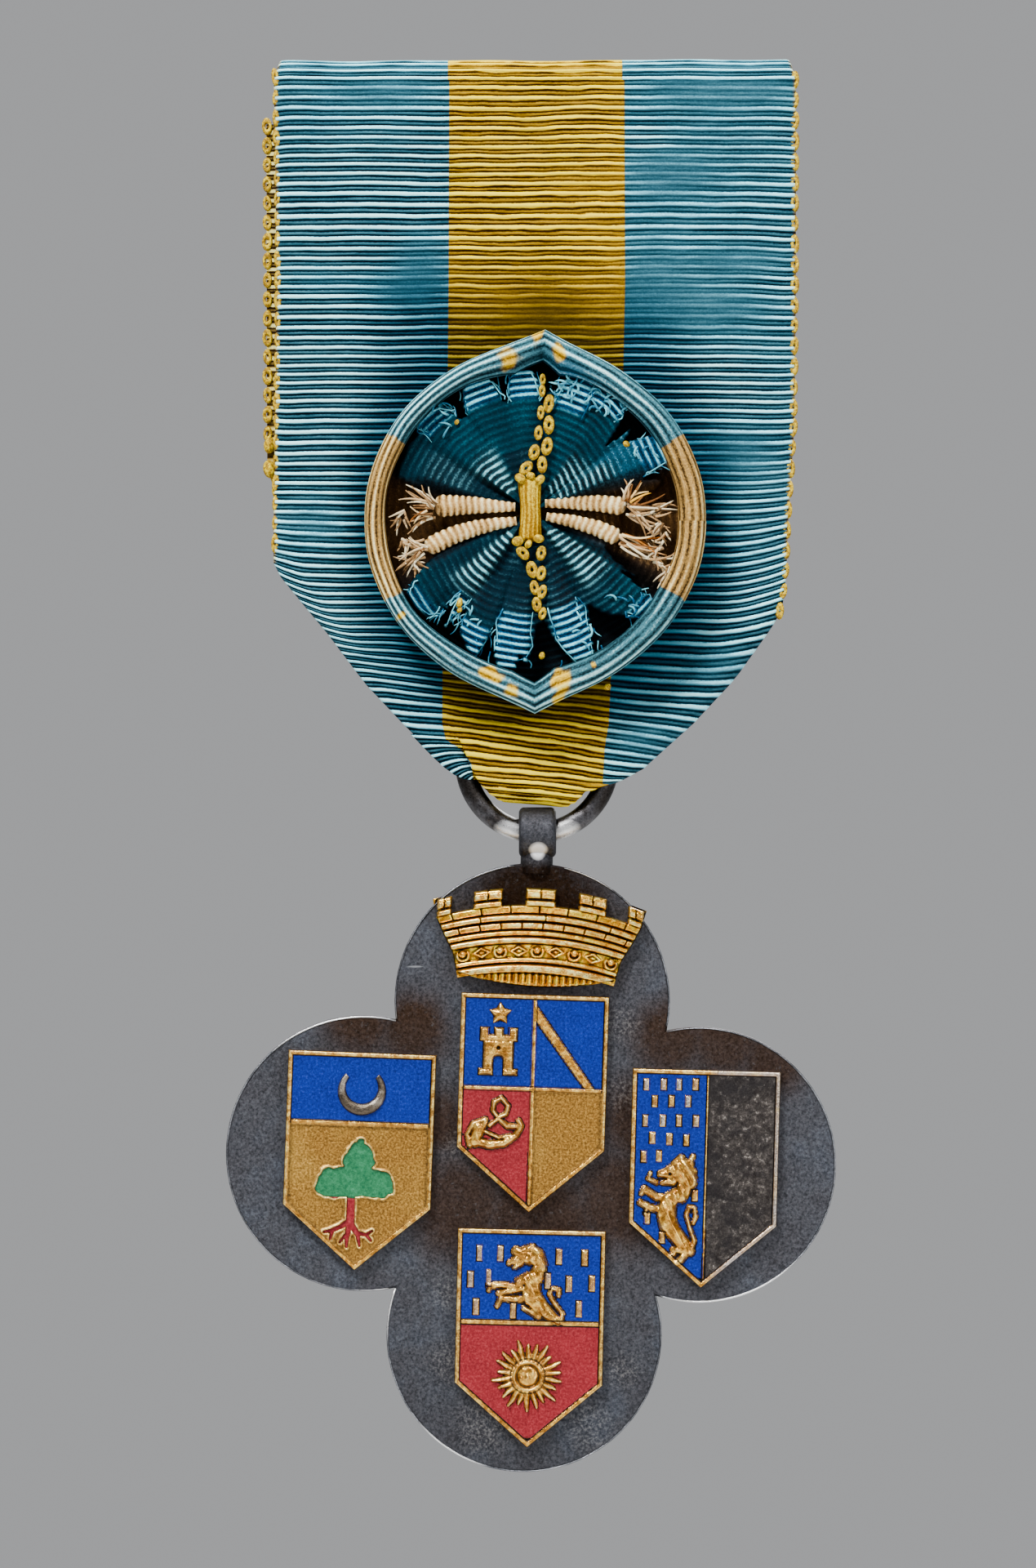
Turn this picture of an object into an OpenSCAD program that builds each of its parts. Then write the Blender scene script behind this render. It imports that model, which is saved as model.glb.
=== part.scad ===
/* [Ribbon] */
// Height of the ribbon's top fold above the pin, mm
top_z = 6; // [4:0.5:10]
// Wall of the ribbon cloth, mm
ribbon_t = 1.0; // [0.8:0.1:1.4]
// Lowest point of the ribbon's fold through the ring, mm below the pin
tip_drop = 46.95; // [46.5:0.05:47]
// Width that the edges of the lower folds turn inwards, mm
roll_w = 2.5; // [1:0.1:4]
// Small gap left between neighbouring pieces, mm
gap = 0.1; // [0.05:0.01:0.2]

/* [Rosette] */
// Height of the rosette's middle below the pin, mm
rosette_drop = 26.9; // [24:0.1:30]
// Outer radius of the rolled rim at its sides, mm
rim_r = 12.1; // [10:0.1:13]
// Width of the rolled rim seen from the front, mm
rim_w = 1.8; // [1.2:0.1:2.5]
// How far the rim stands in front of the ribbon, mm
rim_h = 4.0; // [2:0.1:6]
// Extra radius of the rim's points above and below, mm
peak = 1.5; // [0:0.1:2]
// Width of the sewn band over the pleats, mm
band_w = 1.9; // [1:0.1:3]
// Length of the sewn band over the pleats, mm
band_l = 4.9; // [3:0.1:6]

/* [Suspension] */
// Radius of the ring's wire centre line, mm
ring_r = 5.09; // [4.5:0.01:6]
// Radius of the ring's wire, mm
wire_r = 0.75; // [0.5:0.05:0.8]
// Radius of the hole in the badge's eye, mm
eye_hole = 0.95; // [0.9:0.01:1.1]
// Wall of the eye, mm
eye_wall = 0.85; // [0.5:0.05:0.9]
// Half of the eye's length along the wire, mm
eye_half = 1.33; // [1:0.01:1.6]
// Lean of the badge to the side, degrees
lean = 1.6; // [-3:0.1:3]

/* [Badge] */
// Radius of each lobe of the plate, mm
lobe_r = 9.77; // [8:0.01:12]
// Thickness of the plate, mm
plate_t = 1.8; // [1:0.1:3]
// Distance of the plate's middle behind the ring's plane, mm
plate_back = 0.27; // [0:0.01:0.6]
// Width of the narrow bevel round the plate's edges, mm
bevel = 0.15; // [0.05:0.01:0.4]

/* [Shields] */
// Width of a shield, mm
shield_w = 10.5; // [8:0.1:12]
// Height of a shield's upright sides, mm
side_h = 10.95; // [8:0.05:13]
// Height of a shield to its point, mm
shield_h = 15.45; // [12:0.05:18]
// Thickness of a shield at its frame, mm
shield_t = 0.8; // [0.6:0.05:1.2]
// Height of the cells' floor, mm
floor_t = 0.45; // [0.3:0.05:0.6]
// Width of the frame lines, mm
line_w = 0.3; // [0.2:0.01:0.5]
// Height of the raised charges, mm
charge_t = 0.95; // [0.8:0.01:1.2]
// Gap round each enamel fill, mm
seat = 0.04; // [0.02:0.01:0.08]

/* [Crown] */
// Thickness of the crown's back plate, mm
crown_t = 0.6; // [0.4:0.05:1]
// How much the crown's middle swells forward, mm
swell = 0.45; // [0:0.05:0.8]

/* [Pin] */
// Half length of the pin's front bar, mm
pin_half = 12; // [8:0.5:15]
// Radius of the pin's wire, mm
pin_r = 0.45; // [0.3:0.05:0.6]
// Distance of the pin's stem behind its front bar, mm
pin_back = 1.9; // [1.5:0.1:3]

/* [Hidden] */

// Depths of the layers, y, with the viewer at -y and the pin's stem at 0
bar_y = -pin_back;
turn_y = bar_y - pin_r - gap - ribbon_t / 2;
back_y = turn_y - ribbon_t - gap;
front_y = back_y - ribbon_t - gap;
low_y = front_y + ribbon_t + 2 * wire_r + 2 * gap;
ring_y = (front_y + low_y) / 2;
face_y = front_y - ribbon_t / 2;

// Fold through the ring: middle and radius of its centre line
fold_r = (low_y - front_y) / 2;
fold_z = -tip_drop + ribbon_t / 2 + fold_r;
top_r = (turn_y - front_y) / 2;
top_c = top_z - ribbon_t / 2 - top_r;

// Ring and swing axis
ring_x = 0.17;
ring_z = -43.8;
pivot = [0.2, ring_y, ring_z - ring_r];

// Outline of the front layer: height, left edge, right edge
front_edges = [
  [5.0, -18.50, 18.50], [0.0, -18.40, 18.50], [-10, -18.30, 18.50], [-20, -18.40, 18.40],
  [-27, -18.50, 17.95], [-29.8, -18.50, 17.85], [-30.8, -18.0, 17.80], [-33.0, -16.2, 17.55],
  [-34.2, -15.2, 16.90], [-34.8, -14.70, 16.50], [-37.6, -12.6, 14.50], [-38.5, -11.9, 13.75],
  [-41.1, -9.45, 11.30], [-42.8, -7.75, 9.40], [-44.3, -5.50, 7.75], [-45.1, -4.2, 6.1]
];
// Outline of the back layer: height, left edge, right edge
back_edges = [
  [1.7, -19.05, 17.4], [-23.2, -19.0, 17.3], [-25, -18.3, 17.3], [-29, -17.9, 17.2],
  [-31, -17.2, 17.0], [-33.0, -15.6, 16.7], [-34.8, -14.1, 15.9], [-38.5, -11.3, 13.1],
  [-41.1, -8.9, 10.6], [-42.8, -7.2, 8.7], [-44.3, -5.2, 6.5], [-45.1, -4.1, 4.6]
];
// Outline in the fold through the ring: angle, left edge, right edge
fold_edges = [
  [0, -4.0, 4.6], [15, -3.85, 3.8], [45, -3.4, 3.1], [75, -2.75, 2.45], [90, -2.45, 2.2],
  [105, -2.6, 2.4], [135, -3.2, 3.0], [165, -3.8, 3.6], [180, -4.0, 4.0]
];
// Inward turn of the edges: height, left, right
edge_rolls = [
  [-29, 0, 0], [-31, 0.35, 0], [-33, 0.6, 0.1], [-36, 0.7, 0.65], [-41, 0.7, 0.7],
  [-42.8, 0.3, 0.7], [-43.6, 0, 0.5], [-44.6, 0, 0.1], [-45.1, 0, 0]
];
front_rows = [
  3, 0, -4, -8, -13, -18, -23, -27, -29.8, -30.8, -32, -33, -34.2, -34.8, -36.2, -37.6, -39.4,
  -41.1, -42, -42.8, -43.6, -44.3, -44.7, -45.1
];
back_rows = [
  -45.1, -44.3, -43.6, -42.8, -41.1, -39.4, -37, -34.8, -33, -31, -29, -26.5, -25, -23.2, -20,
  -17, -14, -8, -2, 1.7
];
turn_end = -7;

function mix(a, b, f) = a + (b - a) * f;
function ease(f) = let(g = max(0, min(1, f))) g * g * (3 - 2 * g);
function side(tab, k, z) = lookup(z, [for (r = tab) [r[0], r[k]]]);
function back_mid(z) = mix(low_y, back_y, ease((z + 37) / 21));

// Rows of the ribbon's path: y, z, left, right, roll left, roll right
function turn_path() = [
  for (z = [turn_end, -3, 1, top_c - 0.6]) [turn_y, z, -18.2, 18.3, 0, 0]
];
function top_path() = [
  for (a = [0:22.5:180]) let(c = 0.35 * sin(a))
    [back_y + top_r * cos(a), top_c + top_r * sin(a), -18.5 + c, 18.5 - c, 0, 0]
];
function front_path() = [
  for (z = front_rows) [
    front_y, z, side(front_edges, 1, z), side(front_edges, 2, z),
    side(edge_rolls, 1, z), side(edge_rolls, 2, z)
  ]
];
function fold_path() = [
  for (r = fold_edges)
    [ring_y - fold_r * cos(r[0]), fold_z - fold_r * sin(r[0]), r[1], r[2], 0, 0]
];
function back_path() = [
  for (z = back_rows) [
    back_mid(z), z, side(back_edges, 1, z), side(back_edges, 2, z),
    side(edge_rolls, 1, z), side(edge_rolls, 2, z)
  ]
];

// Points of one row: outer face left to right, then inner face right to left
edge_steps = [[0, 0], [0.25, 0.06], [0.8, 0.16], [2.5, 0.34]];
function row_cols(w) = concat(
  [for (e = edge_steps) min(e[0], e[1] * w)],
  [w / 2],
  [for (i = [3:-1:0]) w - min(edge_steps[i][0], edge_steps[i][1] * w)]
);
function half_t(d) = ribbon_t / 2 * (d < 0.01 ? 0.45 : d < 0.3 ? 0.86 : 1);
function turn_in(d, amount) = amount * pow(max(0, 1 - d / roll_w), 2);
function unit2(v) = v / norm(v);
function ribbon_row(p, n) =
  let(w = p[3] - p[2], cols = row_cols(w), m = len(cols))
  concat(
    [for (d = cols) let(e = min(d, w - d), s = -turn_in(d, p[4]) - turn_in(w - d, p[5]) + half_t(e))
      [p[2] + d, p[0] + n[0] * s, p[1] + n[1] * s]],
    [for (i = [m - 1:-1:0]) let(d = cols[i], e = min(d, w - d),
      s = -turn_in(d, p[4]) - turn_in(w - d, p[5]) - half_t(e))
      [p[2] + d, p[0] + n[0] * s, p[1] + n[1] * s]]
  );
function path_normals(path) = [
  for (i = [0:len(path) - 1])
    let(a = path[max(0, i - 1)], b = path[min(len(path) - 1, i + 1)],
        t = unit2([b[0] - a[0], b[1] - a[1]]))
    [t[1], -t[0]]
];

// Closed skin over rings of equal count, with flat ends
function skin_faces(rings, n) = concat(
  [for (i = [0:rings - 2], j = [0:n - 1])
    [i * n + j, i * n + (j + 1) % n, (i + 1) * n + (j + 1) % n]],
  [for (i = [0:rings - 2], j = [0:n - 1])
    [i * n + j, (i + 1) * n + (j + 1) % n, (i + 1) * n + j]]
);
function strip_cap(first, n, flip) = [
  for (j = [0:n / 2 - 2])
    for (t = [[j, n - 1 - j, j + 1], [j + 1, n - 1 - j, n - 2 - j]])
      flip ? [first + t[0], first + t[2], first + t[1]] : [first + t[0], first + t[1], first + t[2]]
];

module ribbon() {
  path = concat(turn_path(), top_path(), front_path(), fold_path(), back_path());
  normals = path_normals(path);
  n = 2 * (2 * len(edge_steps) + 1);
  rows = len(path);
  points = [for (i = [0:rows - 1]) each ribbon_row(path[i], normals[i])];
  color([0.45, 0.66, 0.76])
    polyhedron(points, concat(
      skin_faces(rows, n), strip_cap(0, n, false), strip_cap((rows - 1) * n, n, true)), convexity = 12);
}

// Rolled rim: share of the width from inside, height in front of the ribbon
rim_profile = [
  [1, 0.35], [1, 0.72], [0.93, 0.88], [0.76, 0.97], [0.5, 1], [0.24, 0.97], [0.07, 0.88],
  [0, 0.72], [0, 0.35], [0.2, 0], [0.8, 0]
];
rim_x = -0.1;
peak_top = 86.5;
peak_low = 270.4;
function away(a, b) = let(d = abs(a - b) % 360) min(d, 360 - d);
function rim_peak(a) = exp(-min(away(a, peak_top), away(a, peak_low)) / 12);
function rim_out(a) = rim_r + peak * rim_peak(a) + 0.06 * sin(3 * a + 40);
function rim_ring(a) =
  let(out = rim_out(a), w = rim_w + 0.2 * rim_peak(a))
  [for (p = rim_profile) let(r = out - w * (1 - p[0]))
    [rim_x + r * cos(a), face_y - gap - rim_h * p[1], -rosette_drop + r * sin(a)]];

module rosette_rim() {
  turns = [for (i = [0:71]) i * 5];
  stops = [for (a = turns) a == 85 ? peak_top : a == 270 ? peak_low : a];
  n = len(rim_profile);
  points = [for (a = stops) each rim_ring(a)];
  m = len(stops);
  color([0.55, 0.70, 0.74])
    polyhedron(points, [
      for (i = [0:m - 1], j = [0:n - 1]) let(k = (i + 1) % m, l = (j + 1) % n)
        for (t = [[i * n + j, i * n + l, k * n + l], [i * n + j, k * n + l, k * n + j]]) t
    ], convexity = 6);
}

// Pleats of the fan, anticlockwise from the right: from, to, reach, height
pleats = [
  [-3, 9, 9.2, 3.1], [13, 32, 9.9, 2.9], [37, 60, 9.8, 2.7], [62, 83, 9.6, 2.6],
  [88, 103, 9.9, 2.5], [105, 127, 9.7, 2.7], [130, 162, 9.4, 2.5], [166, 184, 9.3, 3.1],
  [188, 206, 9.0, 3.0], [209, 229, 9.5, 2.4], [231, 249, 10.3, 2.8], [251, 267, 10.2, 2.6],
  [271, 297, 10.3, 2.8], [299, 322, 10.2, 2.4], [340, 351, 9.4, 3.0]
];
fan_x = -0.3;
fan_z = -26.25;
pleat_steps = [-0.94, -0.55, 0, 0.55, 0.94];
fan_rings = [0.17, 0.45, 0.75, 0.93, 1];
fan_mid = 2.5;
valley = 1.15;
// Columns of the fan: angle, reach, height of the fold
function fan_cols() = [
  for (i = [0:len(pleats) - 1])
    let(p = pleats[i], q = pleats[(i + 1) % len(pleats)], next = q[0] < p[1] ? q[0] + 360 : q[0])
    each concat(
      [for (s = pleat_steps)
        [mix(p[0], p[1], (s + 1) / 2), p[2] * (1 - 0.05 * s * s), mix(valley + 0.2, p[3], 1 - s * s)]],
      [[(p[1] + next) / 2, p[2] * 0.9, valley]]
    )
];
function fan_height(c, f) =
  let(drop = f > 0.94 ? 0.35 : 0) max(valley, mix(fan_mid, c[2], ease(f / 0.5)) - drop);
function fan_point(c, f, down) = let(r = c[1] * f, h = fan_height(c, f) - down)
  [fan_x + r * cos(c[0]), face_y - gap - h, fan_z + r * sin(c[0])];

module rosette_fan() {
  cols = fan_cols();
  m = len(cols);
  k = len(fan_rings);
  front = [for (f = fan_rings, c = cols) fan_point(c, f, 0)];
  rear = [for (f = fan_rings, c = cols) fan_point(c, f, 1.05)];
  hubs = [[fan_x, face_y - gap - fan_mid, fan_z], [fan_x, face_y - gap - fan_mid + 1.05, fan_z]];
  b = m * k;
  h = 2 * b;
  color([0.10, 0.35, 0.45])
    polyhedron(concat(front, rear, hubs), concat(
      [for (j = [0:m - 1]) let(l = (j + 1) % m) [h, l, j]],
      [for (j = [0:m - 1]) let(l = (j + 1) % m) [h + 1, b + j, b + l]],
      [for (i = [0:k - 2], j = [0:m - 1]) let(l = (j + 1) % m)
        each [[i * m + j, i * m + l, (i + 1) * m + l], [i * m + j, (i + 1) * m + l, (i + 1) * m + j]]],
      [for (i = [0:k - 2], j = [0:m - 1]) let(l = (j + 1) % m)
        each [[b + i * m + j, b + (i + 1) * m + l, b + i * m + l],
              [b + i * m + j, b + (i + 1) * m + j, b + (i + 1) * m + l]]],
      [for (j = [0:m - 1]) let(l = (j + 1) % m, o = (k - 1) * m)
        each [[o + j, o + l, b + o + l], [o + j, b + o + l, b + o + j]]]
    ), convexity = 10);
}

// Half round band sewn over the pleats
module rosette_binding() {
  color([0.85, 0.68, 0.15])
    translate([-0.35, face_y - gap - fan_mid - 0.28, fan_z - band_l / 2])
      rotate([0, 0, 180])
        linear_extrude(height = band_l)
          intersection() {
            circle(r = band_w / 2, $fn = 48);
            translate([-band_w, 0]) square([2 * band_w, band_w]);
          }
}

module suspension_ring() {
  color([0.32, 0.33, 0.36])
    translate([ring_x, ring_y, ring_z])
      rotate([90, 0, 0])
        rotate_extrude($fn = 96) translate([ring_r, 0]) circle(r = wire_r, $fn = 32);
}

// Bent wire: bar on the cloth, round end, stem, and a hook over the stem's point
module brooch_pin() {
  bend_r = pin_back / 2;
  hook_r = 1.05;
  color([0.62, 0.63, 0.65])
    union() {
      translate([-pin_half, bar_y, 0]) rotate([0, 90, 0]) cylinder(r = pin_r, h = 2 * pin_half, $fn = 32);
      translate([-pin_half, bar_y + bend_r, 0])
        rotate([0, 0, 90])
          rotate_extrude(angle = 180, $fn = 64) translate([bend_r, 0]) circle(r = pin_r, $fn = 32);
      translate([-pin_half, 0, 0]) rotate([0, 90, 0]) cylinder(r = pin_r, h = 2 * pin_half - 1.5, $fn = 32);
      translate([pin_half - 1.5, 0, 0])
        rotate([0, 90, 0]) cylinder(r1 = pin_r, r2 = 0.1, h = 2.2, $fn = 32);
      translate([pin_half - 0.4, 0, 0])
        rotate([0, 90, 0])
          rotate([0, 0, -90])
            rotate_extrude(angle = 230, $fn = 64) translate([hook_r, 0]) circle(r = 0.35, $fn = 24);
      translate([pin_half - 0.4, bar_y, 0]) rotate([-90, 0, 0]) cylinder(r = 0.35, h = pin_back - hook_r, $fn = 24);
      translate([pin_half - 0.4, -hook_r, 0]) sphere(r = 0.35, $fn = 24);
    }
}

// Lobes of the plate, from the swing axis: across, up
lobes = [[-0.04, -11.96], [0.04, -35.61], [-11.70, -23.11], [12.07, -23.25]];
plate_mid = [0.1, -23.5];
module on_badge() {
  translate(pivot) rotate([0, lean, 0]) children();
}
module on_plate(x, z, turn) {
  on_badge()
    translate([x, plate_back - plate_t / 2, z]) rotate([0, turn, 0]) children();
}
// Flat shape raised from y0 forward by h
module raise(h, y0 = 0) {
  translate([0, -y0, 0]) rotate([90, 0, 0]) linear_extrude(height = h) children();
}

module badge_plate() {
  h = plate_t / 2;
  mid = eye_hole + eye_wall / 2;
  bar = eye_half - eye_wall / 2;
  color([0.33, 0.34, 0.37])
    on_badge()
      union() {
        translate([0, plate_back, 0])
          rotate([90, 0, 0]) {
            for (l = lobes)
              translate([l[0], l[1], 0])
                rotate_extrude($fn = 128)
                  polygon([
                    [0, -h], [lobe_r - bevel, -h], [lobe_r, -h + bevel], [lobe_r, h - bevel],
                    [lobe_r - bevel, h], [0, h]
                  ]);
            translate([plate_mid[0] - 6, plate_mid[1] - 6, -h]) cube([12, 12, plate_t]);
          }
        rotate([0, -lean, 0])
          rotate([0, 90, 0])
            rotate_extrude($fn = 64)
              union() {
                translate([eye_hole, -bar]) square([eye_wall, 2 * bar]);
                translate([mid, bar]) circle(r = eye_wall / 2, $fn = 24);
                translate([mid, -bar]) circle(r = eye_wall / 2, $fn = 24);
              }
        translate([0, 0, -2.9]) cylinder(r = 1.15, h = 1.45, $fn = 40);
      }
}

// Outline of a shield, drawn in by a margin, from the middle of its top edge
point_a = atan2(shield_h - side_h, shield_w / 2);
module shield2d(m = 0) {
  w = shield_w / 2 - m;
  low = -side_h - m * tan(point_a) + m / cos(point_a);
  polygon([[-w, -m], [-w, low], [0, -shield_h + m / cos(point_a)], [w, low], [w, -m]]);
}
module box2d(x0, x1, z0, z1) {
  translate([x0, z0]) square([x1 - x0, z1 - z0]);
}
// Outline round two circles: x, z, radius of each end
function limb(r, g) =
  let(a = atan2(r[4] - r[1], r[3] - r[0]))
  concat(
    [for (b = [-90:45:90]) [r[3] + (r[5] + g) * cos(a + b), r[4] + (r[5] + g) * sin(a + b)]],
    [for (b = [90:45:270]) [r[0] + (r[2] + g) * cos(a + b), r[1] + (r[2] + g) * sin(a + b)]]
  );
module figure2d(rows, g = 0) {
  for (r = rows) polygon(limb(r, g));
}

// Lion of the right shield, ends of each limb: x, z, radius, x, z, radius
lion_right = [
  [-2.70, -7.55, 0.27, -1.81, -7.24, 0.56], [-2.44, -8.05, 0.15, -1.80, -7.66, 0.35],
  [-1.81, -7.24, 0.56, -0.87, -7.04, 0.47], [-0.87, -7.04, 0.47, -0.85, -7.93, 0.38],
  [-0.89, -6.60, 0.25, -0.66, -6.15, 0.14], [-1.83, -6.80, 0.24, -1.50, -6.26, 0.20],
  [-1.20, -8.00, 0.50, -2.00, -8.96, 0.52], [-2.00, -8.96, 0.52, -2.18, -9.68, 0.64],
  [-2.18, -9.68, 0.64, -2.10, -10.6, 0.58], [-2.10, -10.6, 0.58, -1.57, -11.6, 0.50],
  [-1.57, -11.6, 0.50, -0.90, -12.5, 0.46], [-0.90, -12.5, 0.46, -0.66, -12.9, 0.30],
  [-0.96, -12.5, 0.29, -1.54, -12.78, 0.21], [-0.75, -13.0, 0.27, -1.30, -13.5, 0.18],
  [-1.66, -8.48, 0.24, -3.24, -9.05, 0.20], [-3.24, -9.05, 0.20, -4.05, -8.55, 0.25],
  [-2.64, -9.33, 0.24, -3.57, -9.95, 0.17], [-3.57, -9.95, 0.17, -4.35, -9.62, 0.20],
  [-0.50, -12.7, 0.16, -0.26, -12.1, 0.13], [-0.26, -12.1, 0.13, -0.58, -11.2, 0.12],
  [-0.58, -11.2, 0.12, -0.93, -10.35, 0.12], [-0.93, -10.35, 0.12, -0.88, -9.82, 0.12],
  [-0.88, -9.82, 0.12, -0.50, -9.65, 0.12]
];
// Half lion of the bottom shield, ends of each limb: x, z, radius, x, z, radius
lion_low = [
  [-1.47, -2.23, 0.23, -0.86, -1.95, 0.35], [-1.02, -2.49, 0.23, -0.68, -2.08, 0.27],
  [-0.87, -1.51, 0.40, -0.07, -1.49, 0.44], [0.01, -1.18, 0.22, 0.46, -1.61, 0.35],
  [0.38, -1.62, 0.35, 0.66, -2.23, 0.36], [0.66, -2.23, 0.36, 0.49, -2.94, 0.42],
  [0.49, -2.94, 0.42, 0.06, -3.30, 0.49], [-0.12, -3.22, 0.44, -0.64, -3.72, 0.44],
  [-0.28, -3.84, 0.66, -0.08, -4.68, 0.66], [-0.08, -4.68, 0.66, 0.78, -5.50, 0.49],
  [0.78, -5.50, 0.49, 1.55, -6.05, 0.38], [1.55, -6.05, 0.38, 1.95, -6.35, 0.25],
  [-1.16, -3.86, 0.20, -2.00, -3.93, 0.21], [-2.00, -3.93, 0.21, -2.84, -4.04, 0.27],
  [-0.45, -3.98, 0.27, -1.33, -4.27, 0.24], [-1.33, -4.27, 0.24, -2.08, -4.55, 0.20],
  [-0.39, -4.73, 0.27, -1.45, -4.87, 0.23], [-1.45, -4.87, 0.23, -2.16, -4.95, 0.23],
  [-2.16, -4.95, 0.23, -2.28, -5.39, 0.15],
  [2.02, -6.28, 0.14, 2.35, -5.77, 0.14], [2.35, -5.77, 0.14, 2.10, -5.38, 0.15],
  [2.10, -5.38, 0.15, 1.69, -4.64, 0.13], [1.69, -4.64, 0.13, 1.40, -4.10, 0.13],
  [1.45, -4.16, 0.13, 1.85, -3.97, 0.14], [1.85, -3.97, 0.14, 2.12, -4.40, 0.12]
];
// Hunting horn with its cord, ends of each stroke: x, z, radius, x, z, radius
horn = [
  [-3.48, -9.30, 0.26, -3.98, -10.7, 0.24], [-3.20, -9.40, 0.24, -3.60, -10.7, 0.24],
  [-3.63, -10.6, 0.33, -2.78, -10.6, 0.33], [-2.78, -10.6, 0.33, -2.05, -10.4, 0.31],
  [-2.05, -10.4, 0.31, -1.25, -10.0, 0.25], [-1.25, -10.0, 0.25, -0.74, -9.50, 0.20],
  [-0.74, -9.50, 0.20, -0.62, -9.06, 0.20], [-3.03, -9.69, 0.22, -2.57, -10.1, 0.16],
  [-2.81, -9.46, 0.15, -2.09, -8.92, 0.16], [-2.09, -8.92, 0.16, -2.44, -8.34, 0.15],
  [-2.44, -8.34, 0.15, -2.39, -7.82, 0.15], [-2.39, -7.82, 0.15, -1.99, -7.45, 0.15],
  [-1.99, -7.45, 0.15, -1.54, -7.72, 0.15], [-1.54, -7.72, 0.15, -1.49, -8.31, 0.15],
  [-1.49, -8.31, 0.15, -2.09, -8.92, 0.15], [-1.94, -8.99, 0.16, -1.27, -9.41, 0.20],
  [-1.27, -9.41, 0.20, -0.83, -9.25, 0.16]
];
// Tree top and its trunk with roots, ends of each stroke: x, z, radius, x, z, radius
tree = [
  [0.31, -7.15, 0.93, 0.33, -7.61, 1.08], [-1.48, -9.13, 1.10, -0.55, -9.05, 1.15],
  [1.75, -9.17, 1.00, 0.73, -9.10, 1.00], [0.04, -8.81, 1.10, 0.34, -7.95, 1.02]
];
roots = [
  [-0.04, -10.4, 0.27, 0.01, -12.4, 0.27], [-0.20, -12.0, 0.17, -0.84, -12.4, 0.16],
  [-0.84, -12.4, 0.16, -1.60, -12.7, 0.16], [-1.51, -12.7, 0.16, -1.54, -13.1, 0.09],
  [0.05, -12.4, 0.25, -0.13, -13.2, 0.17], [-0.13, -13.2, 0.17, -0.32, -13.8, 0.09],
  [0.18, -12.4, 0.23, 0.71, -13.0, 0.17], [0.71, -13.0, 0.17, 0.85, -13.7, 0.09],
  [0.79, -13.0, 0.16, 1.30, -13.0, 0.13], [1.30, -13.0, 0.13, 1.68, -12.7, 0.08]
];
// Small upright bars strewn on the blue: x, z of the middle
bars_right = [
  [-4.24, -1.12], [-3.03, -1.10], [-1.88, -1.06], [-0.72, -1.02],
  [-3.60, -2.30], [-2.42, -2.28], [-1.23, -2.24],
  [-4.16, -3.69], [-2.96, -3.66], [-1.77, -3.63], [-0.59, -3.59],
  [-3.60, -4.99], [-2.43, -4.96], [-4.18, -6.22], [-3.08, -6.19],
  [-3.70, -10.6], [-2.80, -12.0]
];
bars_low = [
  [-3.68, -1.68], [-2.16, -1.65], [1.99, -1.60], [3.83, -1.55],
  [-4.25, -3.62], [1.31, -3.30], [2.78, -3.46], [4.41, -3.42],
  [-3.73, -5.40], [-1.10, -5.75], [3.54, -5.31]
];
module bars2d(list, w, h, g = 0) {
  for (p = list) translate([p[0] - w / 2 - g, p[1] - h / 2 - g]) square([w + 2 * g, h + 2 * g]);
}

// Plain five-pointed star and a small gate tower in the first quarter
function star(n, r0, r1) = [for (i = [0:2 * n - 1]) let(r = i % 2 == 0 ? r0 : r1, a = 90 + i * 180 / n)
  [r * cos(a), r * sin(a)]];
module star2d(g = 0) {
  translate([-2.44, -1.42]) polygon(star(5, 0.72 + 1.6 * g, 0.32 + g));
}
// Courses of the tower: half width, foot, head
tower = [[1.35, -5.75, -5.35], [1.05, -5.40, -3.30], [1.30, -3.35, -2.95]];
module tower2d(g = 0) {
  translate([-2.5, 0]) {
    difference() {
      for (c = tower) box2d(-c[0] - g, c[0] + g, c[1] - g, c[2] + g);
      if (g == 0) box2d(-0.38, 0.38, -5.8, -4.4);
    }
    for (x = [-1.02, 0, 1.02]) box2d(x - 0.28 - g, x + 0.28 + g, -3.2, -2.45 + g);
  }
}
// Slanting band of the second quarter, grown by g
module bend2d(g = 0) {
  polygon([
    [0, -0.55 + g * 1.6], [0, -1.75 - g * 1.6], [3.80 - g * 1.6, -6.75], [4.95 + g * 1.6, -6.75]
  ]);
}
sun_n = 17;
module sun2d(g = 0) {
  translate([-0.06, -10.37]) {
    circle(r = 1.22 + g, $fn = 12);
    for (i = [0:sun_n - 1])
      let(a = i * 360 / sun_n, r = 2.5 + 0.22 * sin(i * 137))
      polygon([
        [cos(a - 90) * (0.17 + g) + cos(a), sin(a - 90) * (0.17 + g) + sin(a)],
        [cos(a) * (r + g) + cos(a - 90) * (0.09 + g), sin(a) * (r + g) + sin(a - 90) * (0.09 + g)],
        [cos(a) * (r + g) + cos(a + 90) * (0.09 + g), sin(a) * (r + g) + sin(a + 90) * (0.09 + g)],
        [cos(a + 90) * (0.17 + g) + cos(a), sin(a + 90) * (0.17 + g) + sin(a)]
      ]);
  }
}
module moon2d(g = 0) {
  difference() {
    translate([0.06, -2.75]) circle(r = 1.74 + g, $fn = 48);
    translate([0.04, -2.12]) circle(r = 1.30 - g, $fn = 48);
    box2d(-0.85, 0.95, -2.2, 0);
  }
}

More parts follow.
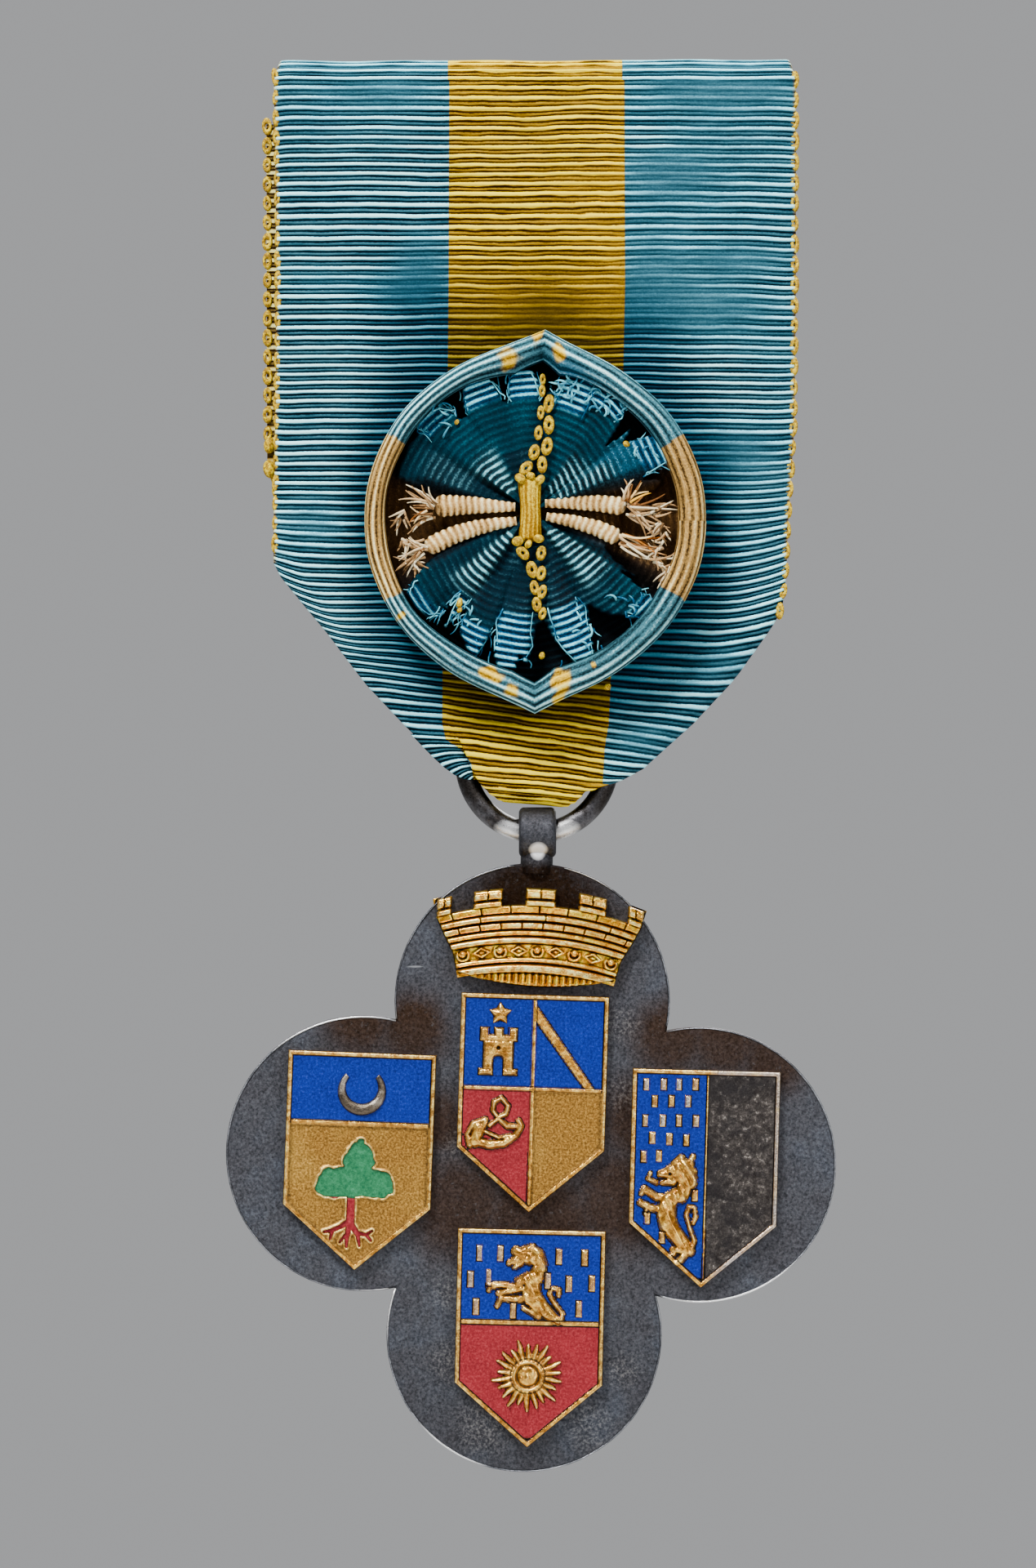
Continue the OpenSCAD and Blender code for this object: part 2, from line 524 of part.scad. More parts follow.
// Cells of each shield, drawn in by g on every side
quarter_z = -6.7;
bar_w = 0.28;
module cell(x0, x1, z0, z1, g = 0) {
  intersection() {
    shield2d(line_w + g);
    box2d(x0 + g, x1 - g, z0 + g, z1 - g);
  }
}
module cell_q1(g = 0) { cell(-9, -bar_w / 2, quarter_z + bar_w / 2, 9, g); }
module cell_q2(g = 0) {
  difference() {
    cell(bar_w / 2, 9, quarter_z + bar_w / 2, 9, g);
    bend2d(g);
  }
}
module cell_q3(g = 0) { cell(-9, -bar_w / 2, -20, quarter_z - bar_w / 2, g); }
module cell_q4(g = 0) { cell(bar_w / 2, 9, -20, quarter_z - bar_w / 2, g); }
chief_z = -5.03;
module cell_chief(g = 0) { cell(-9, 9, chief_z, 9, g); }
module cell_field(g = 0) { cell(-9, 9, -20, chief_z - 0.15, g); }
half_x = 0.1;
module cell_whole(g = 0) { cell(-9, 9, -20, 9, g); }
module cell_blue_half(g = 0) { cell(-9, half_x, -20, 9, g); }
module cell_silver_half(g = 0) { cell(half_x, 9, -20, 9, g); }
low_z = -6.6;
module cell_top(g = 0) { cell(-9, 9, low_z + bar_w / 2, 9, g); }
module cell_base(g = 0) { cell(-9, 9, -20, low_z - bar_w / 2, g); }

// Places on the plate, from the swing axis: across, up, turn
at_centre = [0.17, -11.48, 0.2];
at_left = [-11.96, -15.92, 0.6];
at_right = [12.46, -16.49, 0.0];
at_bottom = [0.39, -28.13, -0.25];
at_crown = [0.16, -10.25, 1.6];
module place(p, lift = 0) {
  on_plate(p[0], p[1], p[2]) translate([0, -0.05 - lift, 0]) children();
}
fill_t = shield_t - floor_t - seat - 0.04;
module gilt() { color([0.80, 0.62, 0.28]) children(); }
module fill(p) { place(p, floor_t + seat) raise(fill_t) children(); }

module shield_centre() {
  gilt() place(at_centre) union() {
    difference() {
      raise(shield_t) shield2d();
      raise(1, floor_t) cell_q1();
      raise(1, floor_t) cell_q2();
      raise(1, floor_t) cell_q3();
      raise(1, shield_t - 0.12) cell_q4();
    }
    raise(charge_t - 0.1) { star2d(); tower2d(); }
    raise(charge_t + 0.05) figure2d(horn);
  }
}
module centre_blue() {
  color([0.12, 0.28, 0.66]) {
    fill(at_centre) difference() { cell_q1(seat); star2d(seat); tower2d(seat); }
    fill(at_centre) cell_q2(seat);
  }
}
module centre_red() {
  color([0.68, 0.18, 0.20])
    fill(at_centre) difference() { cell_q3(seat); figure2d(horn, seat); }
}

module shield_left() {
  gilt() place(at_left) difference() {
    union() {
      difference() {
        raise(shield_t) shield2d();
        raise(1, floor_t) cell_chief();
        raise(1, shield_t - 0.12) cell_field();
      }
      raise(shield_t) intersection() {
        cell_field(-0.05);
        union() { figure2d(tree, 0.14); figure2d(roots, 0.1); }
      }
    }
    raise(1, floor_t) figure2d(tree);
    raise(1, floor_t) figure2d(roots);
  }
}
module left_blue() {
  color([0.12, 0.28, 0.66]) fill(at_left) difference() { cell_chief(seat); moon2d(seat); }
}
module left_crescent() {
  color([0.45, 0.45, 0.44]) place(at_left, floor_t + 0.02) raise(charge_t - floor_t - 0.1) moon2d();
}
module left_green() {
  color([0.22, 0.60, 0.42]) fill(at_left) difference() { figure2d(tree, -seat); figure2d(roots, seat); }
}
module left_red() {
  color([0.68, 0.18, 0.20]) fill(at_left) figure2d(roots, -seat);
}

module shield_right() {
  gilt() place(at_right) union() {
    difference() {
      raise(shield_t) shield2d();
      raise(1, floor_t) cell_whole();
    }
    raise(shield_t) bars2d(bars_right, 0.34, 0.8);
    raise(charge_t + 0.05) figure2d(lion_right);
  }
}
module right_blue() {
  color([0.12, 0.28, 0.66])
    fill(at_right) difference() {
      cell_blue_half(seat);
      bars2d(bars_right, 0.34, 0.8, seat);
      figure2d(lion_right, seat);
    }
}
module right_silver() {
  color([0.30, 0.29, 0.28]) fill(at_right) cell_silver_half(seat);
}

module shield_bottom() {
  gilt() place(at_bottom) union() {
    difference() {
      raise(shield_t) shield2d();
      raise(1, floor_t) cell_top();
      raise(1, floor_t) cell_base();
    }
    raise(shield_t) bars2d(bars_low, 0.36, 1.2);
    raise(charge_t + 0.05) figure2d(lion_low);
    raise(charge_t) sun2d();
    raise(charge_t + 0.15) translate([-0.06, -10.37]) circle(r = 0.7, $fn = 12);
  }
}
module bottom_blue() {
  color([0.12, 0.28, 0.66])
    fill(at_bottom) difference() {
      cell_top(seat);
      bars2d(bars_low, 0.36, 1.2, seat);
      figure2d(lion_low, seat);
    }
}
module bottom_red() {
  color([0.68, 0.18, 0.20]) fill(at_bottom) difference() { cell_base(seat); sun2d(seat); }
}

// Crown, from the middle of its foot. Arcs fall away from the middle by this radius
arch_r = 22;
crown_sides = [[-1, 5.4], [0, 5.46], [2.23, 5.99], [3.93, 6.81], [5.05, 7.28], [7, 7.9]];
function arch(v, u) = v - u * u / (2 * arch_r);
function crown_u(v, f) = f * lookup(arch(v, 6.5), crown_sides);
function bow(f) = swell * (1 - f * f);
// Courses: foot, head, proud of the back plate, stones, gap between stones
courses = [
  [0.30, 0.92, 0.55, 7, 0], [1.05, 1.38, 0.35, 7, 0], [1.38, 2.40, 0.15, 7, 0],
  [2.42, 2.82, 0.50, 7, 0], [2.95, 3.28, 0.30, 7, 0], [3.42, 3.86, 0.35, 9, 0.035],
  [4.00, 4.42, 0.50, 7, 0], [4.55, 5.08, 0.25, 8, 0.02]
];
module stone2d(v0, v1, f0, f1) {
  us = [f0, (f0 + f1) / 2, f1];
  polygon(concat(
    [for (f = us) let(u = crown_u(v0, f)) [u, arch(v0, u)]],
    [for (i = [2:-1:0]) let(u = crown_u(v1, us[i])) [u, arch(v1, u)]]
  ));
}
// Merlons: middle across, half width, height of the head
merlons = [[-6.75, 0.48, 1.30], [-3.68, 0.98, 1.25], [0.05, 1.03, 1.25], [3.75, 0.95, 1.25], [6.85, 0.52, 1.30]];
module crown() {
  foot = [for (i = [-8:8]) let(u = 5.3 * i / 8) [u, -0.68 + 0.68 * pow(u / 5.3, 2)]];
  head = [for (i = [8:-1:-8]) let(u = crown_u(5.08, i / 8)) [u, arch(5.08, u)]];
  rim = [for (i = [8:-1:-8]) let(u = 5.3 * i / 8) [u, arch(0.4, u)]];
  gilt() place(at_crown) union() {
    raise(crown_t) polygon(concat(foot, head));
    raise(crown_t + 0.35) difference() {
      polygon(concat(foot, rim));
      polygon([for (p = concat(foot, rim)) [p[0] * 0.93, (p[1] + 0.15) * 0.72 - 0.15]]);
    }
    for (c = courses, i = [0:c[3] - 1])
      let(f0 = -1 + 2 * i / c[3], f1 = f0 + 2 / c[3])
      raise(crown_t + c[2] + bow((f0 + f1) / 2)) stone2d(c[0], c[1], f0 + c[4], f1 - c[4]);
    for (m = merlons) {
      v = arch(5.0, m[0]);
      f = m[0] / 7.3;
      translate([m[0], 0, v]) rotate([0, m[0] * 2.2, 0]) {
        raise(crown_t + 0.2 + bow(f)) box2d(-m[1], m[1], -0.3, m[2] - 0.1);
        raise(crown_t + 0.45 + bow(f)) box2d(-m[1] - 0.06, m[1] + 0.06, 0.02, 0.38);
        raise(crown_t + 0.45 + bow(f)) box2d(-m[1] - 0.04, m[1] + 0.04, 0.58, 0.98);
        raise(crown_t + 0.35 + bow(f)) box2d(-m[1] + 0.05, m[1] - 0.05, 1.02, m[2]);
      }
    }
    for (i = [-3:3])
      let(u = i * 1.55, f = u / 5.6)
      translate([u, 0, arch(1.92, u)])
        raise(crown_t + 0.4 + bow(f))
          if (i % 2 == 0) polygon([[-0.5, 0], [0, -0.3], [0.5, 0], [0, 0.3]]); else circle(r = 0.33, $fn = 12);
  }
}

ribbon();
rosette_rim();
rosette_fan();
rosette_binding();
suspension_ring();
brooch_pin();
badge_plate();
crown();
shield_centre();
centre_blue();
centre_red();
shield_left();
left_blue();
left_crescent();
left_green();
left_red();
shield_right();
right_blue();
right_silver();
shield_bottom();
bottom_blue();
bottom_red();
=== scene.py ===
"""Shooting medal: the looks of the ribbon, the rosette, the ring and the enamelled badge, in mm."""
import math

import bmesh
import bpy
import numpy as np
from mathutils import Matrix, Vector


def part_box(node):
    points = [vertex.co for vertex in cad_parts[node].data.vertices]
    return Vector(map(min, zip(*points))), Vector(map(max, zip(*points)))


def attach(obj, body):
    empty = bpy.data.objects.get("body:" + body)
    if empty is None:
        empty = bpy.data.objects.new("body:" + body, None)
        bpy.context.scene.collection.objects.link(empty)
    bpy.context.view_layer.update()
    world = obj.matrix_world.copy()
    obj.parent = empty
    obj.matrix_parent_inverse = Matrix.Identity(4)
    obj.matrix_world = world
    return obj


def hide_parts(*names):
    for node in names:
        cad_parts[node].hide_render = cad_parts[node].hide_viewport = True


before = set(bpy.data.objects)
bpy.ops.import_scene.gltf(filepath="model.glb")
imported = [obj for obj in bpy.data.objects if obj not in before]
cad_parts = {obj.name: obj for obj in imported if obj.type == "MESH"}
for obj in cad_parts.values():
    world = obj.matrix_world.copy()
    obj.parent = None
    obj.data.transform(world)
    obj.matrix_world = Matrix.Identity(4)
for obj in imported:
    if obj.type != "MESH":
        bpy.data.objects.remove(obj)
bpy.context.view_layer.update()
MM = 0.001

# Cloth: wall of the solids, gap between layers, wall that shows here
WALL, GAP, CLOTH = 1.0, 0.1, 0.62

# Depths, mm, with the viewer at -y: faces and middles of the layers
FACE_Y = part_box("ribbon")[0].y / MM
TOP_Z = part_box("ribbon")[1].z / MM
FRONT_Y = FACE_Y + WALL / 2
BACK_Y = FRONT_Y + WALL + GAP
TURN_Y = BACK_Y + WALL + GAP
WIRE_R = 0.75
LOW_Y = FRONT_Y + WALL + 2 * WIRE_R + 2 * GAP
RING_Y = (FRONT_Y + LOW_Y) / 2
FOLD_R = (LOW_Y - FRONT_Y) / 2 + WALL / 2
FOLD_Z = -45.1
TOP_R = (TURN_Y - FRONT_Y) / 2 + WALL / 2
TOP_C = TOP_Z - TOP_R

PIVOT = np.array([0.2, RING_Y, -48.89])
LEAN = math.radians(1.6)


def ease(f):
    """Soft step from 0 to 1."""
    f = np.clip(f, 0, 1)
    return f * f * (3 - 2 * f)


def ripple(x, z, seed, reach=1.0):
    """Smooth, repeatable unevenness from about -1 to 1 over a surface, with waves about reach mm long."""
    rng = np.random.default_rng(seed)
    total = 0
    for _ in range(7):
        a, b = rng.normal(0, 1, 2) * (1.5 / reach)
        total = total + np.sin(a * x + b * z + rng.uniform(0, 6.3)) * rng.uniform(0.5, 1)
    return total / 3.2


def peak(away, half):
    """1 at no distance, falling like a bell to nearly 0 at twice the half width."""
    return np.exp(-(away / half) ** 2)


def dome(t):
    """Round shoulder: 0 at t = 0, up to 1 at t = 1 and beyond."""
    return np.sqrt(1 - (1 - np.clip(t, 0, 1)) ** 2)


def from_table(table, key, column):
    """Value of a column at key, straight between the rows."""
    rows = sorted(table, key=lambda r: r[0])
    return np.interp(key, [r[0] for r in rows], [r[column] for r in rows])


def path_lengths(points):
    """Length along a path up to each of its points."""
    return np.concatenate([[0], np.cumsum(np.hypot(*np.diff(points, axis=0).T))])


# Meshes
def new_piece(name, points, faces, material, smooth=True):
    """Object from points in mm and lists of corner numbers."""
    mesh = bpy.data.meshes.new(name)
    mesh.from_pydata((np.asarray(points, float) * MM).tolist(), [], [tuple(map(int, f)) for f in faces])
    mesh.polygons.foreach_set("use_smooth", [smooth] * len(mesh.polygons))
    mesh.update()
    piece = bpy.data.objects.new(name, mesh)
    bpy.context.scene.collection.objects.link(piece)
    mesh.materials.append(material)
    return piece


def paint(piece, name, values):
    """Colour attribute: one RGB value for all points, or one a point."""
    attribute = piece.data.color_attributes.new(name, "FLOAT_COLOR", "POINT")
    rgba = np.ones((len(piece.data.vertices), 4), np.float32)
    rgba[:, :3] = values
    attribute.data.foreach_set("color", rgba.ravel())


def lay_uv(piece, uv):
    """UV map with one value a point."""
    layer = piece.data.uv_layers.new(name="UVMap")
    corners = np.zeros(len(piece.data.loops), np.int32)
    piece.data.loops.foreach_get("vertex_index", corners)
    layer.data.foreach_set("uv", np.asarray(uv, np.float32)[corners].ravel())


def grid_faces(rows, cols, start=0, close_rows=False, close_cols=False):
    """Quads of a grid of points, numbered row by row."""
    i = np.arange(rows if close_rows else rows - 1)
    j = np.arange(cols if close_cols else cols - 1)
    i, j = np.meshgrid(i, j, indexing="ij")
    k, l = (i + 1) % rows, (j + 1) % cols
    quads = np.stack([i * cols + j, i * cols + l, k * cols + l, k * cols + j], -1)
    return (quads.reshape(-1, 4) + start).tolist()


def end_faces(rows, cols, start=0):
    """The two many-sided faces that close the first and the last row of a grid."""
    last = start + (rows - 1) * cols
    return [list(range(start, start + cols))[::-1], list(range(last, last + cols))]


def outwards(piece):
    """Turns the normals outwards."""
    bm = bmesh.new()
    bm.from_mesh(piece.data)
    bmesh.ops.recalc_face_normals(bm, faces=bm.faces)
    bm.to_mesh(piece.data)
    bm.free()
    return piece


def join(name, pieces):
    """One object from several, keeping their attributes."""
    for p in pieces:
        p.select_set(True)
    bpy.context.view_layer.objects.active = pieces[0]
    with bpy.context.temp_override(active_object=pieces[0], selected_editable_objects=pieces):
        bpy.ops.object.join()
    pieces[0].name = name
    pieces[0].data.name = name
    return pieces[0]


# Materials: colours are linear, a grey may be one number, and lengths are in mm
LAMP_SHARE = 0.84


def triple(value):
    """Three values of a colour or a scale that may be given as one number."""
    return tuple(value[:3]) if isinstance(value, (tuple, list)) else (value,) * 3


class Finish:
    """A material's nodes, made in a few plain steps."""

    def __init__(self, name, roughness=0.5, metallic=0.0, specular=None):
        self.material = bpy.data.materials.new(name)
        self.material.use_nodes = True
        self.tree = self.material.node_tree
        self.shader = self.tree.nodes["Principled BSDF"]
        self.shader.inputs["Roughness"].default_value = roughness
        self.shader.inputs["Metallic"].default_value = metallic
        if specular is not None:
            self.shader.inputs["Specular IOR Level"].default_value = specular

    def node(self, kind, links=None, **settings):
        """A node with its settings, and with its inputs linked or set."""
        made = self.tree.nodes.new(kind)
        for key, value in settings.items():
            setattr(made, key, value)
        for key, value in (links or {}).items():
            self.put(made.inputs[key], value)
        return made

    def put(self, socket, value):
        if isinstance(value, bpy.types.NodeSocket):
            self.tree.links.new(value, socket)
        elif socket.type == "RGBA":
            socket.default_value = (*triple(value), 1)
        else:
            socket.default_value = value

    def calc(self, operation, a, b=0.0, clamp=False):
        made = self.node("ShaderNodeMath", {0: a, 1: b}, operation=operation)
        made.use_clamp = clamp
        return made.outputs[0]

    def plus(self, a, b, clamp=False):
        return self.calc("ADD", a, b, clamp)

    def less(self, a, b, clamp=False):
        return self.calc("SUBTRACT", a, b, clamp)

    def times(self, a, b, clamp=False):
        return self.calc("MULTIPLY", a, b, clamp)

    def sway(self, noise, much):
        """A noise that goes both ways from 0, by half of much."""
        return self.times(self.less(noise, 0.5), much)

    def mix(self, share, a, b, blend="MIX"):
        made = self.node("ShaderNodeMix", data_type="RGBA", blend_type=blend, clamp_factor=True)
        for socket, value in zip((0, 6, 7), (share, a, b)):
            self.put(made.inputs[socket], value)
        return made.outputs[2]

    def ramp(self, share, *stops):
        """Colour along a share, from stops of place and colour."""
        made = self.node("ShaderNodeValToRGB", {0: share})
        elements = made.color_ramp.elements
        while len(elements) < len(stops):
            elements.new(1.0)
        for k, (place, colour) in enumerate(stops):
            elements[k].position = place
            elements[k].color = (*triple(colour), 1)
        return made.outputs[0]

    def span(self, value, low, high, to_low=0.0, to_high=1.0, kind="LINEAR"):
        """A value's place between low and high, moved to another range."""
        links = {"Value": value, "From Min": low, "From Max": high, "To Min": to_low, "To Max": to_high}
        return self.node("ShaderNodeMapRange", links, interpolation_type=kind).outputs[0]

    def place(self, scale=(1, 1, 1), shift=(0, 0, 0)):
        """Object coordinates in mm, scaled."""
        coord = self.node("ShaderNodeTexCoord")
        made = self.node("ShaderNodeMapping", {"Vector": coord.outputs["Object"]})
        made.inputs["Scale"].default_value = [s / MM for s in scale]
        made.inputs["Location"].default_value = shift
        return made.outputs[0]

    def noise(self, vector, detail, rough, distortion=0.0):
        links = {"Vector": vector, "Scale": 1.0, "Detail": detail, "Roughness": rough,
                 "Distortion": distortion}
        return self.node("ShaderNodeTexNoise", links).outputs[0]

    def grain(self, scale, detail, rough, distortion=0.0, shift=(0, 0, 0)):
        """Noise over the object, with a scale of waves per mm: one number or one for each axis."""
        return self.noise(self.place(triple(scale), shift), detail, rough, distortion)

    def away(self, where, point):
        """Distance of a place from a point."""
        made = self.node("ShaderNodeVectorMath", {0: where, 1: point}, operation="DISTANCE")
        return made.outputs["Value"]

    def uv(self):
        return self.node("ShaderNodeUVMap", uv_map="UVMap").outputs[0]

    def attribute(self, name):
        return self.node("ShaderNodeAttribute", attribute_name=name).outputs["Color"]

    def parts(self, name):
        """Red, green and blue of an attribute."""
        return self.node("ShaderNodeSeparateColor", {0: self.attribute(name)}).outputs[:3]

    def bump(self, height, distance):
        """Relief from a height of 0 to 1, distance mm deep."""
        made = self.node("ShaderNodeBump", {"Height": height, "Strength": 1.0, "Distance": distance * MM})
        self.tree.links.new(made.outputs[0], self.shader.inputs["Normal"])

    def colour(self, value):
        """Base colour. Colours are chosen for dimmer lamps than these, so they are drawn in by a share."""
        self.put(self.shader.inputs["Base Color"], self.mix(1.0, value, LAMP_SHARE, "MULTIPLY"))

    def roughness(self, value):
        self.put(self.shader.inputs["Roughness"], value)


def ribbed_silk():
    """Ribbed silk: pale blue with a yellow stripe, a broad rib with a painted highlight and a narrow dull one
    to each turn, painted shade between.
    UV x is 0 to 1 over the stripe, UV y counts the ribs, and tone holds the painted shade, rib depth and
    edge."""
    f = Finish("ribbed_silk", roughness=0.62, specular=0.03)
    across, ribs = f.node("ShaderNodeSeparateXYZ", {0: f.uv()}).outputs[:2]
    shade, depth, edge = f.parts("tone")
    threads = f.grain((7.0, 1.2, 1.0), 3, 0.7)
    grains = f.grain((6.0, 6.0, 9.0), 4, 0.75)
    streaks = f.grain((0.26, 1.0, 3.0), 3, 0.65)
    knots = f.grain((1.3, 1.3, 2.2), 2, 0.5)
    waves = f.grain((0.42, 1.0, 0.9), 2, 0.5)
    inside = f.times(f.span(across, -0.002, 0.002), f.span(across, 0.998, 1.002, 1.0, 0.0))
    wander = f.plus(f.sway(grains, 0.12), f.sway(waves, f.span(inside, 0, 1, 0.20, 0.50)))
    turn = f.calc("FRACT", f.plus(ribs, wander))
    # The broad rib takes the first 0.55 of a turn, the narrow dull one the rest: a painted highlight on the
    # broad rib and painted shade in the dark lines between
    broad = f.ramp(turn, (0.0, 0.0), (0.05, 0.30), (0.12, 0.93), (0.27, 1.0), (0.40, 0.80), (0.47, 0.36),
                   (0.55, 0.0), (0.62, 0.08), (0.70, 0.40), (0.80, 0.47), (0.88, 0.30), (0.95, 0.02))
    contrast = f.times(f.span(depth, 0.0, 1.0, 0.12, 1.15), f.span(inside, 0, 1, 1.0, 1.12))
    level = f.plus(f.times(f.less(broad, 0.40), contrast), 0.40)
    level = f.plus(level, f.times(f.sway(streaks, f.span(depth, 0.2, 1.0, 0.7, 1.0)), 0.62))
    level = f.plus(level, f.sway(grains, 0.38))
    # Darker where tone holds painted shade
    level = f.less(level, f.times(shade, 0.12), clamp=True)
    blue = f.ramp(level, (0.0, (0.0, 0.003, 0.007)), (0.17, (0.002, 0.024, 0.040)),
                  (0.36, (0.018, 0.085, 0.120)), (0.55, (0.055, 0.190, 0.250)), (0.74, (0.15, 0.50, 0.64)),
                  (0.86, (0.34, 1.0, 1.19)), (1.0, (0.60, 1.19, 1.19)))
    yellow = f.ramp(level, (0.0, (0.020, 0.007, 0.0)), (0.17, (0.095, 0.044, 0.0)),
                    (0.36, (0.27, 0.140, 0.0)), (0.55, (0.52, 0.295, 0.0)), (0.72, (0.90, 0.58, 0.0)),
                    (0.90, (1.12, 0.84, 0.0)))
    # Shaded copies of the blue and the yellow, mixed in where tone holds painted shade
    deep = f.ramp(level, (0.0, (0.0, 0.002, 0.006)), (0.35, (0.0, 0.022, 0.046)),
                  (0.6, (0.0, 0.060, 0.110)), (0.9, (0.012, 0.16, 0.24)))
    olive = f.ramp(level, (0.0, (0.012, 0.006, 0.0)), (0.35, (0.060, 0.036, 0.0)),
                   (0.6, (0.130, 0.082, 0.0)), (0.95, (0.30, 0.205, 0.0)))
    cloth = f.mix(f.times(shade, 0.96), f.mix(inside, blue, yellow), f.mix(inside, deep, olive))
    f.colour(f.mix(f.times(edge, 0.8), cloth, yellow))
    lumps = f.times(knots, f.span(inside, 0, 1, 0.3, 1.6))
    f.bump(f.plus(f.plus(threads, f.times(grains, 0.8)), lumps), 0.05)
    return f.material


def yellow_thread():
    """Yellow silk of the selvedge loops and the chain, with brown painted shade in the hollows."""
    f = Finish("yellow_thread", roughness=0.6, specular=0.2)
    grains = f.grain(4.2, 4, 0.75)
    # Painted shade in the hollows, where pointiness is low
    hollow = f.span(f.node("ShaderNodeNewGeometry").outputs["Pointiness"], 0.44, 0.54)
    silk = f.ramp(grains, (0.30, (0.10, 0.050, 0.0)), (0.46, (0.37, 0.20, 0.0)),
                  (0.58, (0.78, 0.53, 0.0)), (0.70, (1.16, 1.02, 0.10)))
    f.colour(f.mix(hollow, (0.045, 0.018, 0.0), silk))
    f.bump(grains, 0.07)
    return f.material


def gilt_metal(name, metallic, dim, mid, light, crest_highlight):
    """Gilding: a painted highlight on the crests, brown-black painted shade in the hollows, matte and grainy
    where finish says so, and a painted sheen over the matte fields.
    The attribute finish holds crest to hollow (0 to 1), which sets the painted highlight and shade, the matte
    fields and the wear down to silver."""
    f = Finish(name, metallic=metallic)
    relief_share, matte, wear = f.parts("finish")
    hollow, crest = f.span(relief_share, 0.5, 1.0), f.span(relief_share, 0.5, 0.0)
    grains = f.grain(6.2, 3, 0.75)
    clouds = f.grain(1.9, 5, 0.7)
    sweep = f.grain((0.22, 0.22, 0.16), 2, 0.5, shift=(4.0, 0, 1.0))
    bright = f.ramp(clouds, (0.36, dim), (0.5, mid), (0.62, light))
    field = f.ramp(grains, (0.30, (0.070, 0.028, 0.002)), (0.48, (0.24, 0.112, 0.014)),
                   (0.66, (0.56, 0.30, 0.055)))
    # Painted sheen: a lit gradient that the sweep lays over the matte fields
    sheen = f.ramp(grains, (0.3, (0.24, 0.11, 0.010)), (0.7, (1.19, 0.80, 0.16)))
    gold = f.mix(matte, bright, f.mix(f.span(sweep, 0.50, 0.74, 0.0, 0.22), field, sheen))
    # Painted highlight on the crests, then painted shade in the hollows
    gold = f.mix(f.times(crest, f.span(clouds, 0.42, 0.60, 0.12, 1.0)), gold, crest_highlight)
    gold = f.mix(hollow, gold, (0.008, 0.0035, 0.002))
    silver = f.ramp(grains, (0.3, (0.16, 0.135, 0.12)), (0.7, (0.85, 0.76, 0.70)))
    f.colour(f.mix(f.times(wear, f.less(1.0, hollow)), gold, silver))
    f.roughness(f.plus(f.span(matte, 0, 1, 0.10, 0.52), f.times(grains, 0.14)))
    f.bump(f.plus(f.times(grains, f.span(matte, 0, 1, 0.30, 1.0)), f.times(clouds, 0.7)), 0.045)
    return f.material


def patches(f, where, rows):
    """Share from 0 to 1 of soft round patches on the plate: middle across and up, reach."""
    share = 0.0
    for x, z, reach in rows:
        away = f.away(where, (x, PIVOT[1], z))
        share = f.calc("MAXIMUM", share, f.span(away, reach * 0.25, reach, 1.0, 0.0, "SMOOTHSTEP"))
    return share


# Brown patches of the plate and the pale dust along the middle shields: middle across and up, reach
BROWN = ((0.2, -54.5, 8.4), (0.2, -77.0, 7.4), (-5.4, -75.4, 5.6), (6.2, -75.0, 5.8), (7.6, -69.2, 4.8),
         (-6.9, -69.4, 3.6), (-12.4, -62.0, 4.2), (-8.6, -62.8, 4.0), (9.6, -63.4, 4.2), (13.5, -63.6, 4.2),
         (17.0, -65.0, 3.8))
DUST = ((-3.6, -91.0, 2.9), (3.9, -91.0, 2.5), (-6.0, -81.5, 2.0), (-5.9, -86.5, 2.4), (6.2, -87.0, 1.9),
        (6.1, -62.5, 2.0), (6.2, -67.5, 1.8), (-5.6, -71.0, 1.6))
# The lit spot on the eye, as across, depth and up, and the dent: shift to the middle, scale to its size
EYE_SPOT = (0.25, PIVOT[1] - 1.4, -50.2)
DENT_SHIFT, DENT_SCALE = (8.5, 0, 58.4), (1.5, 0.0, 13.0)


